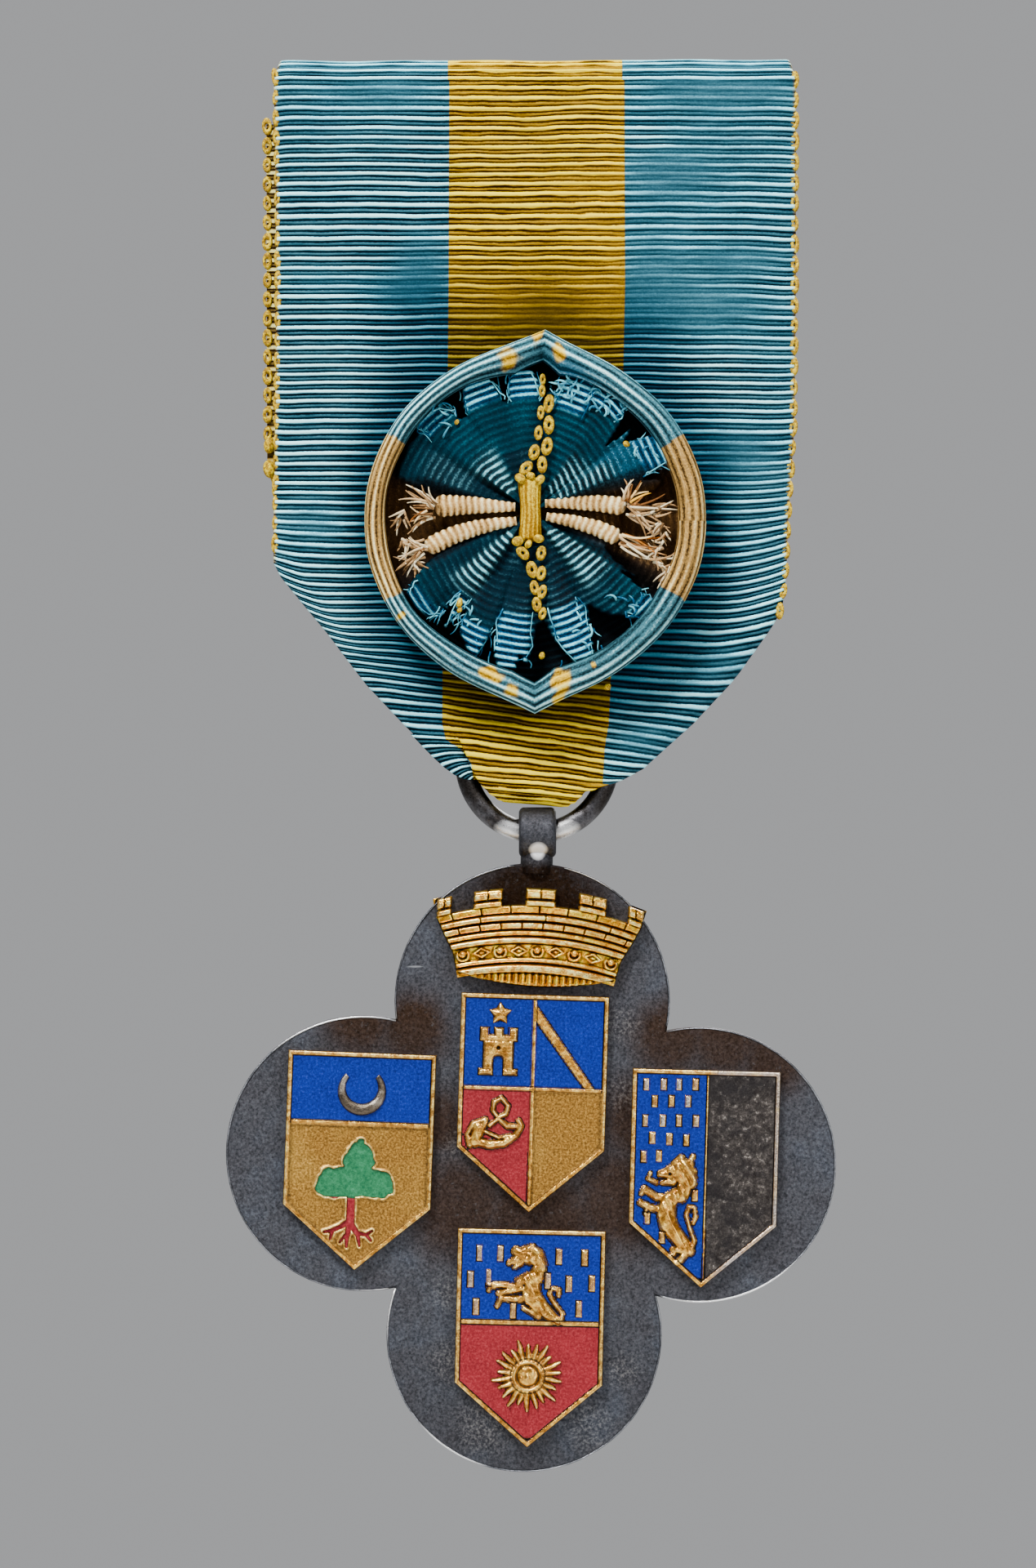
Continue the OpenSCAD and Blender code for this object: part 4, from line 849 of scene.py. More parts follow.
# Geometry Nodes: threads, loops and beads
def set_form(name, form, on_route, material):
    """Tree that sets a loop or a bead at each point, or along a route. Points carry size and turn."""
    tree = bpy.data.node_groups.new(name, "GeometryNodeTree")
    face = tree.interface
    face.new_socket("Geometry", in_out="INPUT", socket_type="NodeSocketGeometry")
    for label in ("Spacing", "Thread", "Uneven"):
        face.new_socket(label, in_out="INPUT", socket_type="NodeSocketFloat")
    face.new_socket("Seed", in_out="INPUT", socket_type="NodeSocketInt")
    face.new_socket("Geometry", in_out="OUTPUT", socket_type="NodeSocketGeometry")

    def add(kind, links=None, **settings):
        made = tree.nodes.new(kind)
        for key, value in settings.items():
            setattr(made, key, value)
        for key, value in (links or {}).items():
            if isinstance(value, bpy.types.NodeSocket):
                tree.links.new(value, made.inputs[key])
            else:
                made.inputs[key].default_value = value
        return made

    def scaled(vector, share):
        return add("ShaderNodeVectorMath", {0: vector, 3: share}, operation="SCALE").outputs[0]

    def attribute(label):
        return add("GeometryNodeInputNamedAttribute", {0: label}, data_type="FLOAT_VECTOR").outputs[0]

    given = add("NodeGroupInput").outputs
    if form == "loop":
        ring = add("GeometryNodeCurvePrimitiveCircle", {"Resolution": 12, "Radius": 0.5})
        thread = add("GeometryNodeCurvePrimitiveCircle", {"Resolution": 6, "Radius": given["Thread"]})
        shape = add("GeometryNodeCurveToMesh", {0: ring.outputs[0], 1: thread.outputs[0]})
        shape = add("GeometryNodeTransform", {0: shape.outputs[0], "Rotation": (math.pi / 2, 0, 0)})
    else:
        shape = add("GeometryNodeMeshUVSphere", {"Segments": 12, "Rings": 8, "Radius": 0.5})
    least, most = [add("ShaderNodeMath", {0: 1.0, 1: given["Uneven"]}, operation=operation).outputs[0]
                   for operation in ("SUBTRACT", "ADD")]
    uneven = add("FunctionNodeRandomValue", {2: least, 3: most, "Seed": given["Seed"]}, data_type="FLOAT")
    if on_route:
        curve = add("GeometryNodeMeshToCurve", {0: given["Geometry"]})
        points = add("GeometryNodeResampleCurve", {0: curve.outputs[0], "Length": given["Spacing"]},
                     mode="LENGTH").outputs[0]
        along = add("GeometryNodeInputTangent").outputs[0]
        turn = add("FunctionNodeAlignRotationToVector", {"Vector": along}, axis="X", pivot_axis="Y")
    else:
        points = given["Geometry"]
        turn = add("FunctionNodeEulerToRotation", {0: attribute("turn")})
    wild = scaled((0.5, 0.9, 0.5), given["Uneven"])
    tilt = add("FunctionNodeRandomValue", {0: scaled(wild, -1), 1: wild, "Seed": given["Seed"]},
               data_type="FLOAT_VECTOR")
    tilt = add("FunctionNodeEulerToRotation", {0: tilt.outputs[0]})
    turned = add("FunctionNodeRotateRotation", {0: turn.outputs[0], 1: tilt.outputs[0]},
                 rotation_space="LOCAL")
    placed = add("GeometryNodeInstanceOnPoints", {
        "Points": points, "Instance": shape.outputs[0], "Rotation": turned.outputs[0],
        "Scale": scaled(attribute("size"), uneven.outputs[1])})
    real = add("GeometryNodeRealizeInstances", {0: placed.outputs[0]})
    smooth = add("GeometryNodeSetShadeSmooth", {0: real.outputs[0]})
    finish = add("GeometryNodeSetMaterial", {0: smooth.outputs[0], "Material": material})
    add("NodeGroupOutput", {0: finish.outputs[0]})
    return tree


def grow(name, tree, points, sizes, turns=None, on_route=False, **values):
    """Runs a tree on points in mm, or on the route through them. Sizes are in mm."""
    edges = [(k, k + 1) for k in range(len(points) - 1)] if on_route else []
    mesh = bpy.data.meshes.new(name + "_points")
    mesh.from_pydata((np.asarray(points, float) * MM).tolist(), edges, [])
    size = mesh.attributes.new("size", "FLOAT_VECTOR", "POINT")
    size.data.foreach_set("vector", (np.asarray(sizes, np.float32) * MM).ravel())
    if turns is not None:
        turn = mesh.attributes.new("turn", "FLOAT_VECTOR", "POINT")
        turn.data.foreach_set("vector", np.asarray(turns, np.float32).ravel())
    seat = bpy.data.objects.new(name + "_points", mesh)
    bpy.context.scene.collection.objects.link(seat)
    modifier = seat.modifiers.new("grow", "NODES")
    modifier.node_group = tree
    for socket in tree.interface.items_tree:
        if socket.in_out == "INPUT" and socket.name in values:
            modifier[socket.identifier] = values[socket.name]
    seen = seat.evaluated_get(bpy.context.evaluated_depsgraph_get())
    made = bpy.data.objects.new(name, bpy.data.meshes.new_from_object(seen))
    bpy.context.scene.collection.objects.link(made)
    seat.modifiers.clear()
    bpy.data.objects.remove(seat)
    made.data.name = name
    for attribute in [a.name for a in made.data.attributes if a.name in ("size", "turn")]:
        made.data.attributes.remove(made.data.attributes[attribute])
    made.data.materials.clear()
    made.data.materials.append(THREAD)
    return made


def strands(name, routes, radius, material, sides=5):
    """Thin tapered threads along routes in mm, joined in one mesh with closed ends."""
    points, faces = [], []
    turns = np.linspace(0, 2 * math.pi, sides, endpoint=False)
    for route in routes:
        route = np.asarray(route, float)
        n, start = len(route), len(points)
        along = np.gradient(route, axis=0)
        along /= np.linalg.norm(along, axis=1)[:, None] + 1e-9
        for k in range(n):
            side = np.cross(along[k], (0, 1, 0.01))
            side /= np.linalg.norm(side) + 1e-9
            up = np.cross(along[k], side)
            r = radius * (1 - 0.65 * (k / (n - 1)) ** 2)
            points += [route[k] + r * (math.cos(t) * side + math.sin(t) * up) for t in turns]
        faces += grid_faces(n, sides, start, close_cols=True) + end_faces(n, sides, start)
    return outwards(new_piece(name, points, faces, material))


# Rosette: colours of its silk, dark, middle and light; the dark and the light end serve as painted shade and
# painted highlight
TEAL = ((0.0, 0.0015, 0.003), (0.0, 0.025, 0.042), (0.006, 0.115, 0.165))
# NAVY is painted shade on the folds turned from the light; LIT and LOBE are painted light on the lit folds
# and the ragged ends
NAVY = ((0.0, 0.001, 0.002), (0.001, 0.0145, 0.026), (0.045, 0.150, 0.19))
LIT = ((0.0, 0.003, 0.005), (0.014, 0.070, 0.092), (0.36, 1.02, 1.14))
LOBE = ((0.0, 0.006, 0.014), (0.0, 0.085, 0.210), (0.26, 0.98, 1.12))
STEEL = ((0.0, 0.006, 0.011), (0.006, 0.065, 0.110), (0.26, 0.90, 1.19))
# SHADE is painted shade past the fan's ends; RUST is the tan cloth in painted shade
SHADE = ((0.0, 0.0005, 0.001), (0.0005, 0.0025, 0.004), (0.003, 0.015, 0.022))
RUST = ((0.003, 0.001, 0.0), (0.060, 0.027, 0.006), (0.46, 0.24, 0.075))
RIM_BLUE = ((0.001, 0.012, 0.017), (0.060, 0.200, 0.245), (0.66, 1.19, 1.19))
RIM_DEEP = ((0.0, 0.03, 0.06), (0.03, 0.17, 0.30), (0.35, 0.65, 0.85))
RIM_TAN = ((0.030, 0.013, 0.002), (0.52, 0.30, 0.080), (1.19, 1.06, 0.50))
RIM_YELLOW = ((0.16, 0.075, 0.0), (0.88, 0.54, 0.020), (1.19, 1.05, 0.22))

# Where the rim's inner lip hangs in, as the roll is turned over: angle, half width, how far
RIM_LIP = ((80, 9, 0.75), (97, 7, 0.45), (262, 8, 0.3), (278, 6, 0.35))
# Crease down each point of the rim: angle, half width, depth
RIM_CREASES = ((87.2, 1.6, 0.42), (270.8, 1.8, 0.34))
# Yellow patches of the rim: angle, place across, half length in degrees, half width
RIM_SPOTS = ((98.8, 0.50, 3.4, 0.30), (81.5, 0.55, 2.0, 0.26), (254.0, 0.35, 4.0, 0.27),
             (262.5, 0.62, 3.0, 0.22), (280.0, 0.45, 4.0, 0.30), (278.0, 0.85, 2.0, 0.2),
             (215.8, 0.75, 1.1, 0.22), (88.5, 0.9, 1.8, 0.35), (292.5, 0.35, 1.0, 0.12))
RIM_TALL = 4.0
# Tan stretches of the rim: middle and half length in degrees
RIM_TANS = ((1.0, 28.5), (178.7, 29.6))

# Reach of the fan's blue cloth by angle: the ragged ends of its pleats and the slots between them
FAN_EDGE = [
    (6, 6.4), (10, 8.9), (14, 9.6), (16, 8.2), (18, 8.6), (20, 10.3), (26, 10.6), (32, 10.2), (34, 9.0),
    (37, 8.0), (39.5, 9.1), (41, 6.9), (44, 8.3), (48, 10.4), (55, 10.8), (62, 10.7), (64, 10.2), (72, 10.4),
    (75, 9.6), (77, 9.2), (78.5, 7.6), (81, 9.1), (82.5, 7.8), (85, 7.7), (86, 9.1), (90, 9.8), (96, 10.0),
    (99.5, 9.2), (101, 7.8), (104, 7.9), (107, 9.7), (118, 10.1), (122, 9.0), (123.5, 8.0), (127, 8.0),
    (130, 9.8), (143, 9.95), (146, 9.6), (152, 9.8), (165, 9.7), (170, 7.0), (174, 6.0), (200, 6.0),
    (203, 6.6), (206, 8.0), (209, 9.3), (213, 10.3), (220, 10.4), (227, 10.2), (229, 8.6), (231, 7.8),
    (233, 10.1), (235, 8.7), (237, 8.2), (239, 9.6), (245, 10.6), (249, 11.1), (251.5, 9.2), (253, 8.2),
    (256, 10.3), (259, 11.3), (264, 11.0), (266, 9.8), (268, 10.7), (271, 9.2), (273, 7.7), (277, 7.5),
    (280, 8.8), (284, 10.0), (287, 11.3), (293, 11.4), (296, 9.6), (299, 8.3), (302, 7.6), (305, 8.5),
    (313, 9.9), (315, 10.8), (324, 10.9), (325.5, 9.0), (327, 7.4), (328.5, 8.6), (330, 6.8), (334, 5.8),
    (366, 6.4),
]
# Lit folds near the middle: angle, half width, inner and outer radius, strength
FAN_LIT = [(26, 8, 1.6, 7.4, 0.95), (44, 11, 1.6, 5.9, 0.75), (133, 13.5, 1.5, 5.9, 0.9),
           (228, 9, 1.5, 7.9, 0.95), (317, 12, 1.5, 7.4, 0.9), (156, 9, 4.2, 8.8, 0.20)]
# Ragged ends of the pleats, painted bright as lit: angle, half width, inner and outer radius, strength
FAN_LOBES = [(26, 8, 8.3, 11, 0.75), (55, 8.5, 8.6, 11, 0.95), (70, 8, 7.4, 11, 0.95), (93, 8, 7.8, 10.4, 1),
             (113, 9.5, 8.1, 10.5, 1), (136, 8.5, 8.5, 10.3, 0.5), (220, 8, 9.3, 11, 0.5),
             (232, 3.2, 7.4, 10.6, 0.9), (244, 7, 8.6, 11.6, 0.95), (262, 8.5, 7.1, 11.8, 1),
             (290, 9, 6.9, 12, 0.95), (319, 6, 9.7, 11.4, 0.8)]
# Folds of the fan: angle of the crest, half width, extra height near the middle and at the end
FAN_FOLDS = [(26, 12, 0.75, 0.55), (48, 12, 0.45, 0.5), (68, 10, 0.0, 0.35), (94, 10, 0.0, 0.4),
             (113, 11, 0.1, 0.5), (135, 12, 0.7, 0.35), (157, 10, 0.0, 0.2), (216, 10, 0.15, 0.4),
             (229, 8, 0.75, 0.2), (245, 9, 0.1, 0.6), (262, 9, 0.0, 0.6), (290, 10, 0.1, 0.75),
             (317, 12, 0.75, 0.5)]
# Slots between the folds, painted dark as shade: angle, reach
FAN_SLOTS = ((78.5, 4), (84, 5), (166, 9.5), (204, 9.0), (331, 10), (19, 10), (147, 5))
FAN_MID = np.array([-0.3, -26.25])
FAN_FOOT_Y = FACE_Y - GAP - 0.05
RIB = 0.52


def bell(a, at, half):
    """1 within about half of an angle in degrees, falling softly to 0."""
    return 1 - ease((turn_away(a, at) / half - 0.55) / 0.75)


def in_tan(a):
    """1 where the tan pleats lie."""
    return np.maximum(bell(a, 357, 20), bell(a, 185.5, 17))


def dyed(piece, colours, level):
    """Attributes that rolled_silk reads: three colours and where between them the point lies."""
    level = np.asarray(level, float)
    for name, colour in zip(("dark", "dye", "shine"), colours):
        paint(piece, name, np.broadcast_to(colour, level.shape + (3,)).reshape(-1, 3))
    paint(piece, "tone", level.reshape(-1, 1) * (1, 0, 0))


def blend(base, over, share):
    """Three colours a point, moved towards others by a share a point."""
    share = np.asarray(share)[..., None]
    return [np.asarray(b) * (1 - share) + np.asarray(o) * share for b, o in zip(base, over)]


def rolled_silk(name, rough, streak, grain, stretch):
    """Silk of the rosette: its attributes give a painted shade colour (dark), the dye and a painted highlight
    colour (shine), its tone the place between them.
    Fine threads run along UV x."""
    f = Finish(name, roughness=rough, specular=0.04)
    dark, dye, shine = f.attribute("dark"), f.attribute("dye"), f.attribute("shine")
    along = f.node("ShaderNodeMapping", {"Vector": f.uv(), "Scale": stretch}).outputs[0]
    threads = f.noise(along, 3, 0.7)
    grains = f.grain(7, 4, 0.75)
    level = f.plus(f.parts("tone")[0], f.sway(threads, streak))
    level = f.plus(level, f.sway(grains, grain), clamp=True)
    low = f.mix(f.span(level, 0.0, 0.5), dark, dye)
    f.colour(f.mix(f.span(level, 0.5, 1.0), low, shine))
    f.bump(f.plus(grains, threads), 0.04)
    return f.material


ROLLED = rolled_silk("rolled_silk", 0.6, 0.5, 0.45, (0.9, 8.0, 1))
CORDED = rolled_silk("corded_silk", 0.6, 0.85, 1.15, (0.32, 3.4, 1))
FRAYED = rolled_silk("frayed_silk", 0.65, 0.3, 1.1, (0.9, 8.0, 1))


def rim_profile():
    """The roll's profile from its outer foot over the top: place across from inside, height, cord phase."""
    outer = [(1.0, h, 6 - h * 3.2) for h in np.linspace(0.03, 0.70, 9)]
    arch = np.linspace(0, math.pi, 37)
    top = [(0.5 + 0.5 * math.cos(t), 0.72 + 0.28 * math.sin(t), 3.9 + 4.9 * i / 36)
           for i, t in enumerate(arch)]
    inner = [(0.0, h, 8.8 + (0.70 - h) * 3.2) for h in np.linspace(0.70, 0.03, 9)]
    return np.array(outer + top + inner + [(0.3, 0.0, 11), (0.7, 0.0, 11)]).T


def rim_colours(a, w, h):
    """Three colours of the rim by angle, place across and height, and how tan it is."""
    ragged = 0.8 * ripple(w * 6, a * 0.05, 45, 1.5)
    tan = sum(turn_away(a, at + ragged) < half for at, half in RIM_TANS).astype(float)
    colours = blend(RIM_BLUE, RIM_TAN, tan)
    lip = np.clip(1.6 * (0.55 - w), 0, 1) * np.exp(-turn_away(a, 76) / 10)
    colours = blend(colours, RIM_DEEP, np.clip(lip * 1.2, 0, 1) * (1 - tan))
    blotch = 0.55 * ripple(a * 0.5, w * 7, 47, 1.0)
    for at, middle, long, half in RIM_SPOTS:
        away = np.hypot(turn_away(a, at) / long, (w - middle) / half)
        spot = np.clip(1.45 - away * 1.15 + blotch, 0, 1)
        colours = blend(colours, RIM_YELLOW, ease(spot * 1.6) * (h > 0.3))
    return colours, tan


def make_rim():
    """The rolled rim: a ring swept round the rosette, with the ribs of its cloth as cords along it."""
    stops = np.arange(0, 360, 0.55)
    for point in (POINT_ABOVE, POINT_BELOW):
        stops[np.argmin(np.abs(stops - point))] = point
    w, h, cord = rim_profile()
    a = stops[:, None]
    run = np.radians(a) * 12.6
    wide = rim_width(a) + 0.08 * ripple(np.radians(a) * 12, 0 * a, 41, 3)
    out = rim_out(a) + 0.05 * ripple(np.radians(a) * 12, 0 * a, 42, 2.5)
    lip, crease = [sum(much * np.exp(-turn_away(a, at) / half) for at, half, much in table)
                   for table in (RIM_LIP, RIM_CREASES)]
    phase = cord + 0.15 * ripple(run, 0 * run + cord, 43, 4) + 0.07 * ripple(run, 0 * run + cord, 48, 0.9)
    crest = 0.5 + 0.5 * np.cos(2 * math.pi * phase)
    bulge = 0.085 * (0.7 + 0.3 * ripple(run, cord, 44, 3)) * (crest - 0.5)
    from_out, upper = 1 - w, h > 0.5
    walls = np.sign(w - 0.5) * (np.abs(w - 0.5) > 0.38)
    r = out - wide * from_out - lip * from_out ** 2 * upper + bulge * walls
    tall = RIM_TALL * h + bulge * (h > 0.6) - crease * upper
    tall = tall - 0.05 - 0.35 * from_out * np.exp(-turn_away(a, 87) / 8) * upper
    x = ROSETTE[0] + r * np.cos(np.radians(a))
    z = ROSETTE[1] + r * np.sin(np.radians(a))
    points = np.stack([x, FACE_Y - GAP - np.maximum(tall, 0), z], -1).reshape(-1, 3)
    rim = outwards(new_piece("rim_roll", points, grid_faces(*x.shape, 0, True, True), CORDED))
    lay_uv(rim, np.stack(np.broadcast_arrays(run, cord), -1).reshape(-1, 2))

    # Painted highlights as pale lines on the cords' crests, now and then missing, and painted shade in the
    # narrow grooves, the creases, on the inner side and towards the foot
    faint = np.clip(0.75 + 0.9 * ripple(a * 0.11, np.round(cord) * 7, 46, 2.2), 0.15, 1.25)
    level = 0.40 + 0.46 * crest ** 2.2 * faint - 0.38 * (1 - crest) ** 2.2 - 0.45 * crease
    level = level * (0.15 + 0.85 * ease(h / 0.8))
    colours, tan = rim_colours(a, w, h)
    inner = np.clip(1 - w / 0.34, 0, 1) * (1 - 0.6 * tan)
    dyed(rim, colours, np.clip(level - 0.32 * inner, 0, 1))
    return rim


def fan_reach(a):
    """Reach of the fan's cloth at an angle in degrees, with a little extra raggedness."""
    a = np.where(np.asarray(a) < FAN_EDGE[0][0], np.asarray(a) + 360, a)
    return from_table(FAN_EDGE, a, 1) + 0.16 * ripple(np.radians(a) * 40, 0 * a, 51, 2.2)


def rim_limit(t):
    """Distance from the fan's middle to the rim's inner wall, in the direction t in degrees."""
    go = np.array([math.cos(math.radians(t)), math.sin(math.radians(t))])
    far = 9.0
    for _ in range(12):
        at = FAN_MID + far * go - ROSETTE
        angle = math.degrees(math.atan2(at[1], at[0])) % 360
        far += rim_out(angle) - rim_width(angle) + 0.18 - math.hypot(*at)
    return far


def zones(a, r, table, soft_in, soft_out):
    """The strongest of a table's zones at each point: angle, half width, inner and outer radius, strength."""
    share = np.zeros_like(a)
    for at, half, low, high, strength in table:
        zone = bell(a, at, half) * ease((r - low) / soft_in) * ease((high - r) / soft_out) * strength
        share = np.maximum(share, zone)
    return share


def fan_height(a, r, past, crest, lit, lobes):
    """Height of the fan's face: folds, ribs across them, crumpled ends and the step down past the ends."""
    fold = np.zeros_like(a)
    for at, half, mid, end in FAN_FOLDS:
        fold = np.maximum(fold, bell(a, at, half) * (mid + (end - mid) * ease((r - 4) / 4)))
    high = 1.75 + 0.45 * ease((r - 1) / 3) + fold + 0.15 * ripple(a * 0.08, r, 53, 2.5)
    high = high + (0.10 + 0.07 * lobes + 0.05 * lit) * (crest - 0.5)
    high = high - 0.7 * in_tan(a) - 0.25 * ease(1 - (r - 0.3) / 1.4)
    high = high * (1 - past) + 0.35 * past
    crumple = 0.14 * lobes * ripple(a * 0.5, r * 3, 54, 1.2)
    return np.clip(high + crumple * (1 - past), 0.3, 3.5)


def fan_colours(a, r, past, lit, lobes):
    """Three colours of the fan: teal, navy as painted shade on the lower side and on folds turned from the
    light, painted light on the lit folds and the lobes, rust-brown painted shade at the tan pleats, and
    painted shade past the ends.
    """
    navy = bell(a, 262, 62) + bell(a, 157, 12) + bell(a, 104, 14) * (r < 4.5)
    colours = blend(TEAL, NAVY, np.clip(navy, 0, 1) * (1 - 0.5 * ease((r - 7) / 2)))
    colours = blend(colours, STEEL, bell(a, 27, 13) * ease((r - 5) / 2))
    colours = blend(colours, LIT, lit)
    colours = blend(colours, LOBE, lobes)
    colours = blend(colours, RUST, np.clip(in_tan(a) * 1.1, 0, 1))
    tan_zone = np.clip(bell(a, 357, 26) + bell(a, 186, 23), 0, 1)
    gone = ease(past * 1.3)
    colours = blend(colours, SHADE, gone * (1 - tan_zone))
    return blend(colours, RUST, gone * tan_zone)


def fan_level(a, r, crest, lit, lobes):
    """Place of the fan's points between its dark and its light colour: painted highlights on the rib crests,
    stronger on the lit folds and the lobes, and painted shade in the slots.
    """
    clear = 0.30 + 0.26 * bell(a, 285, 52) + 0.22 * bell(a, 58, 18)
    level = 0.42 + clear * (crest ** 1.3 - 0.45) * (0.65 + 0.40 * ripple(a * 0.2, r, 56, 3.0))
    level = level + 0.78 * lit * (crest ** 2.2 - 0.36) + 0.98 * lobes * (crest ** 1.5 - 0.42)
    level = level + 0.05 * lobes - 0.06 * in_tan(a) + 0.13 * ripple(a * 0.25, r, 55, 2.0)
    slot = np.zeros_like(a)
    for at, until in FAN_SLOTS:
        slot = np.maximum(slot, bell(a, at, 4.0) * ease((until - r) / 2))
    return np.clip(level * (1 - 0.75 * slot), 0, 1)


def make_fan():
    """The gathered cloth inside the rim: folds round the middle, ribs across them and ragged ends."""
    turns = np.arange(0, 360, 0.86)
    steps = np.concatenate([np.linspace(0.35, 2, 9)[:-1], np.arange(2, 12.01, 0.125)])
    a, r = np.meshgrid(turns, steps)
    past = ease((r - fan_reach(a)) / 0.32)
    r = np.minimum(r, [rim_limit(t) for t in turns])
    phase = r / RIB + 0.35 * np.sin(np.radians(a) * 4) + 0.25 * ripple(np.radians(a) * 8, r * 0.2, 52, 2.0)
    crest = 0.5 + 0.5 * np.cos(2 * math.pi * phase)
    lobes = zones(a, r, FAN_LOBES, 0.5, 0.4)
    lit = zones(a, r, FAN_LIT, 0.6, 1.8)
    high = fan_height(a, r, past, crest, lit, lobes)
    x = FAN_MID[0] + r * np.cos(np.radians(a))
    z = FAN_MID[1] + r * np.sin(np.radians(a))
    rows, cols = a.shape
    front = np.stack([x, FACE_Y - GAP - high, z], -1).reshape(-1, 3)
    under_rows = np.append(np.arange(0, rows, 12), rows - 1)
    under = np.stack([x, np.full_like(x, FAN_FOOT_Y), z], -1)[under_rows].reshape(-1, 3)
    base, few, extra = rows * cols, len(under_rows), len(under)
    faces = grid_faces(rows, cols, 0, False, True)
    faces += [f[::-1] for f in grid_faces(few, cols, base, False, True)]
    front_end, under_end = (rows - 1) * cols, base + (few - 1) * cols
    for j in range(cols):
        k = (j + 1) % cols
        faces.append([front_end + j, front_end + k, under_end + k, under_end + j])
    faces += [list(range(cols))[::-1], list(range(base, base + cols))]
    fan = outwards(new_piece("fan_cloth", np.concatenate([front, under]), faces, FRAYED))
    colours = fan_colours(a, r, past, lit, lobes)
    colours = [np.concatenate([c.reshape(-1, 3), np.tile(s, (extra, 1))]) for c, s in zip(colours, SHADE)]
    level = fan_level(a, r, crest, lit, lobes)
    dyed(fan, colours, np.concatenate([level.ravel(), np.full(extra, 0.2)]))
    lay_uv(fan, np.concatenate([np.stack([a * 0.12, phase], -1).reshape(-1, 2), np.zeros((extra, 2))]))
    return fan


# Tan pleats: middle of each strip as across, up, width across it, mm
TAN_STRIPS = [
    [(-1.39, -25.92, 0.62), (-2.68, -25.88, 0.90), (-4.16, -25.80, 1.22), (-5.63, -25.80, 1.45),
     (-7.10, -25.86, 1.66)],
    [(-1.30, -26.91, 0.62), (-2.68, -27.10, 0.88), (-4.16, -27.40, 1.12), (-5.63, -27.85, 1.28),
     (-6.95, -28.46, 1.35), (-7.75, -28.95, 1.25)],
    [(0.73, -25.68, 0.58), (2.66, -25.60, 0.98), (4.51, -25.66, 1.20), (6.45, -25.90, 1.36)],
    [(0.82, -26.60, 0.60), (2.66, -26.93, 0.94), (4.51, -27.45, 1.18), (5.98, -28.15, 1.30)],
]
# Frayed threads at the ends of the tan pleats: root across, up, direction in degrees, spread, length, number
TAN_FRAYS = [
    (-7.1, -25.6, 152, 34, 2.4, 13), (-7.3, -26.3, 195, 26, 2.2, 8), (-8.0, -29.0, 222, 26, 2.3, 9),
    (-7.8, -28.6, 178, 30, 2.0, 8), (6.5, -25.6, 50, 38, 2.0, 12), (6.7, -26.1, -22, 26, 3.4, 16),
    (8.3, -26.2, 20, 30, 1.9, 8), (6.2, -28.3, -28, 20, 3.6, 15), (8.3, -29.4, -30, 26, 1.9, 8),
    (-9.4, -26.6, 250, 50, 1.3, 9), (-9.2, -28.4, 280, 60, 1.4, 10), (-8.6, -29.9, 320, 50, 1.2, 8),
    (8.9, -27.4, 250, 60, 1.3, 10), (8.8, -28.6, 200, 60, 1.3, 9), (9.3, -30.4, 235, 45, 1.3, 8),
]
# Threads near these places, across and up, are dyed orange
ORANGE_AT = ((-8.3, -26.1), (7.2, -25.3), (7.4, -28.2), (-7.6, -29.2))
# Crumpled threads on the lobes, most on the two ragged ones at the upper right: angle, spread, number
CRUMPLES = ((55, 8, 15), (70, 8, 18), (26, 5, 5), (136, 6, 5), (244, 6, 6), (290, 5, 5), (319, 6, 7))
# Loops of the yellow chain: across, up, turn in degrees, length, width
CHAIN = [
    (0.52, -17.75, 86, 0.98, 0.52), (0.99, -18.66, 84, 1.38, 0.78), (0.42, -19.30, 86, 1.02, 0.52),
    (0.99, -20.15, 88, 1.42, 0.84), (0.26, -20.72, 84, 1.08, 0.62), (0.86, -21.66, 80, 1.34, 0.84),
    (-0.04, -22.08, 72, 1.16, 0.80), (0.52, -22.95, 92, 1.28, 0.76), (-0.62, -23.20, 48, 1.15, 0.76),
    (0.56, -16.95, 88, 0.85, 0.46), (-0.84, -29.18, -48, 1.18, 0.78), (0.45, -29.20, 80, 1.15, 0.78),
    (-0.20, -30.35, -78, 1.22, 0.80), (0.45, -30.62, 80, 1.12, 0.74), (-0.02, -31.62, -80, 1.15, 0.70),
    (0.52, -31.92, 74, 1.08, 0.66), (0.14, -32.80, -85, 1.08, 0.68), (0.54, -33.45, 75, 1.0, 0.60),
]
# Knots at the ends of the binding, and loose beads of yellow: across, up, turn, length, width
KNOTS = [
    (-1.02, -23.93, -35, 0.80, 0.60), (0.36, -24.02, 40, 0.78, 0.58), (-1.21, -28.35, 10, 0.80, 0.66),
    (0.27, -28.17, -10, 0.74, 0.58), (-0.30, -23.75, 0, 0.60, 0.5), (-0.45, -28.55, 60, 0.7, 0.5),
]
BITS = [
    (-5.50, -19.95, 60, 0.42, 0.30), (6.45, -21.50, -40, 0.45, 0.36), (-5.30, -32.70, 70, 0.75, 0.42),
    (5.13, -38.60, 20, 0.50, 0.42), (0.50, -36.40, 80, 0.55, 0.42), (-5.30, -33.2, 50, 0.45, 0.30),
]
TAN_SILK = ((0.050, 0.020, 0.003), (0.64, 0.37, 0.120), (1.19, 1.08, 0.62))
TAN_THREAD = ((0.050, 0.020, 0.004), (0.62, 0.36, 0.15), (1.19, 1.06, 0.70))
ORANGE = ((0.20, 0.036, 0.0), (0.80, 0.24, 0.0), (1.19, 0.62, 0.01))
BAND_YELLOW = ((0.040, 0.018, 0.0), (0.36, 0.17, 0.0), (1.19, 0.95, 0.06))
# Points along a frayed thread, and around it
FRAY_STOPS, FRAY_SIDES = 7, 5
# Depth of the fan's face, about
FAN_Y = FACE_Y - GAP - 2.25
# Binding: middle across, foot, head, half width
BAND_X, BAND_LOW, BAND_HIGH, BAND_W = -0.35, -28.35, -23.85, 0.97


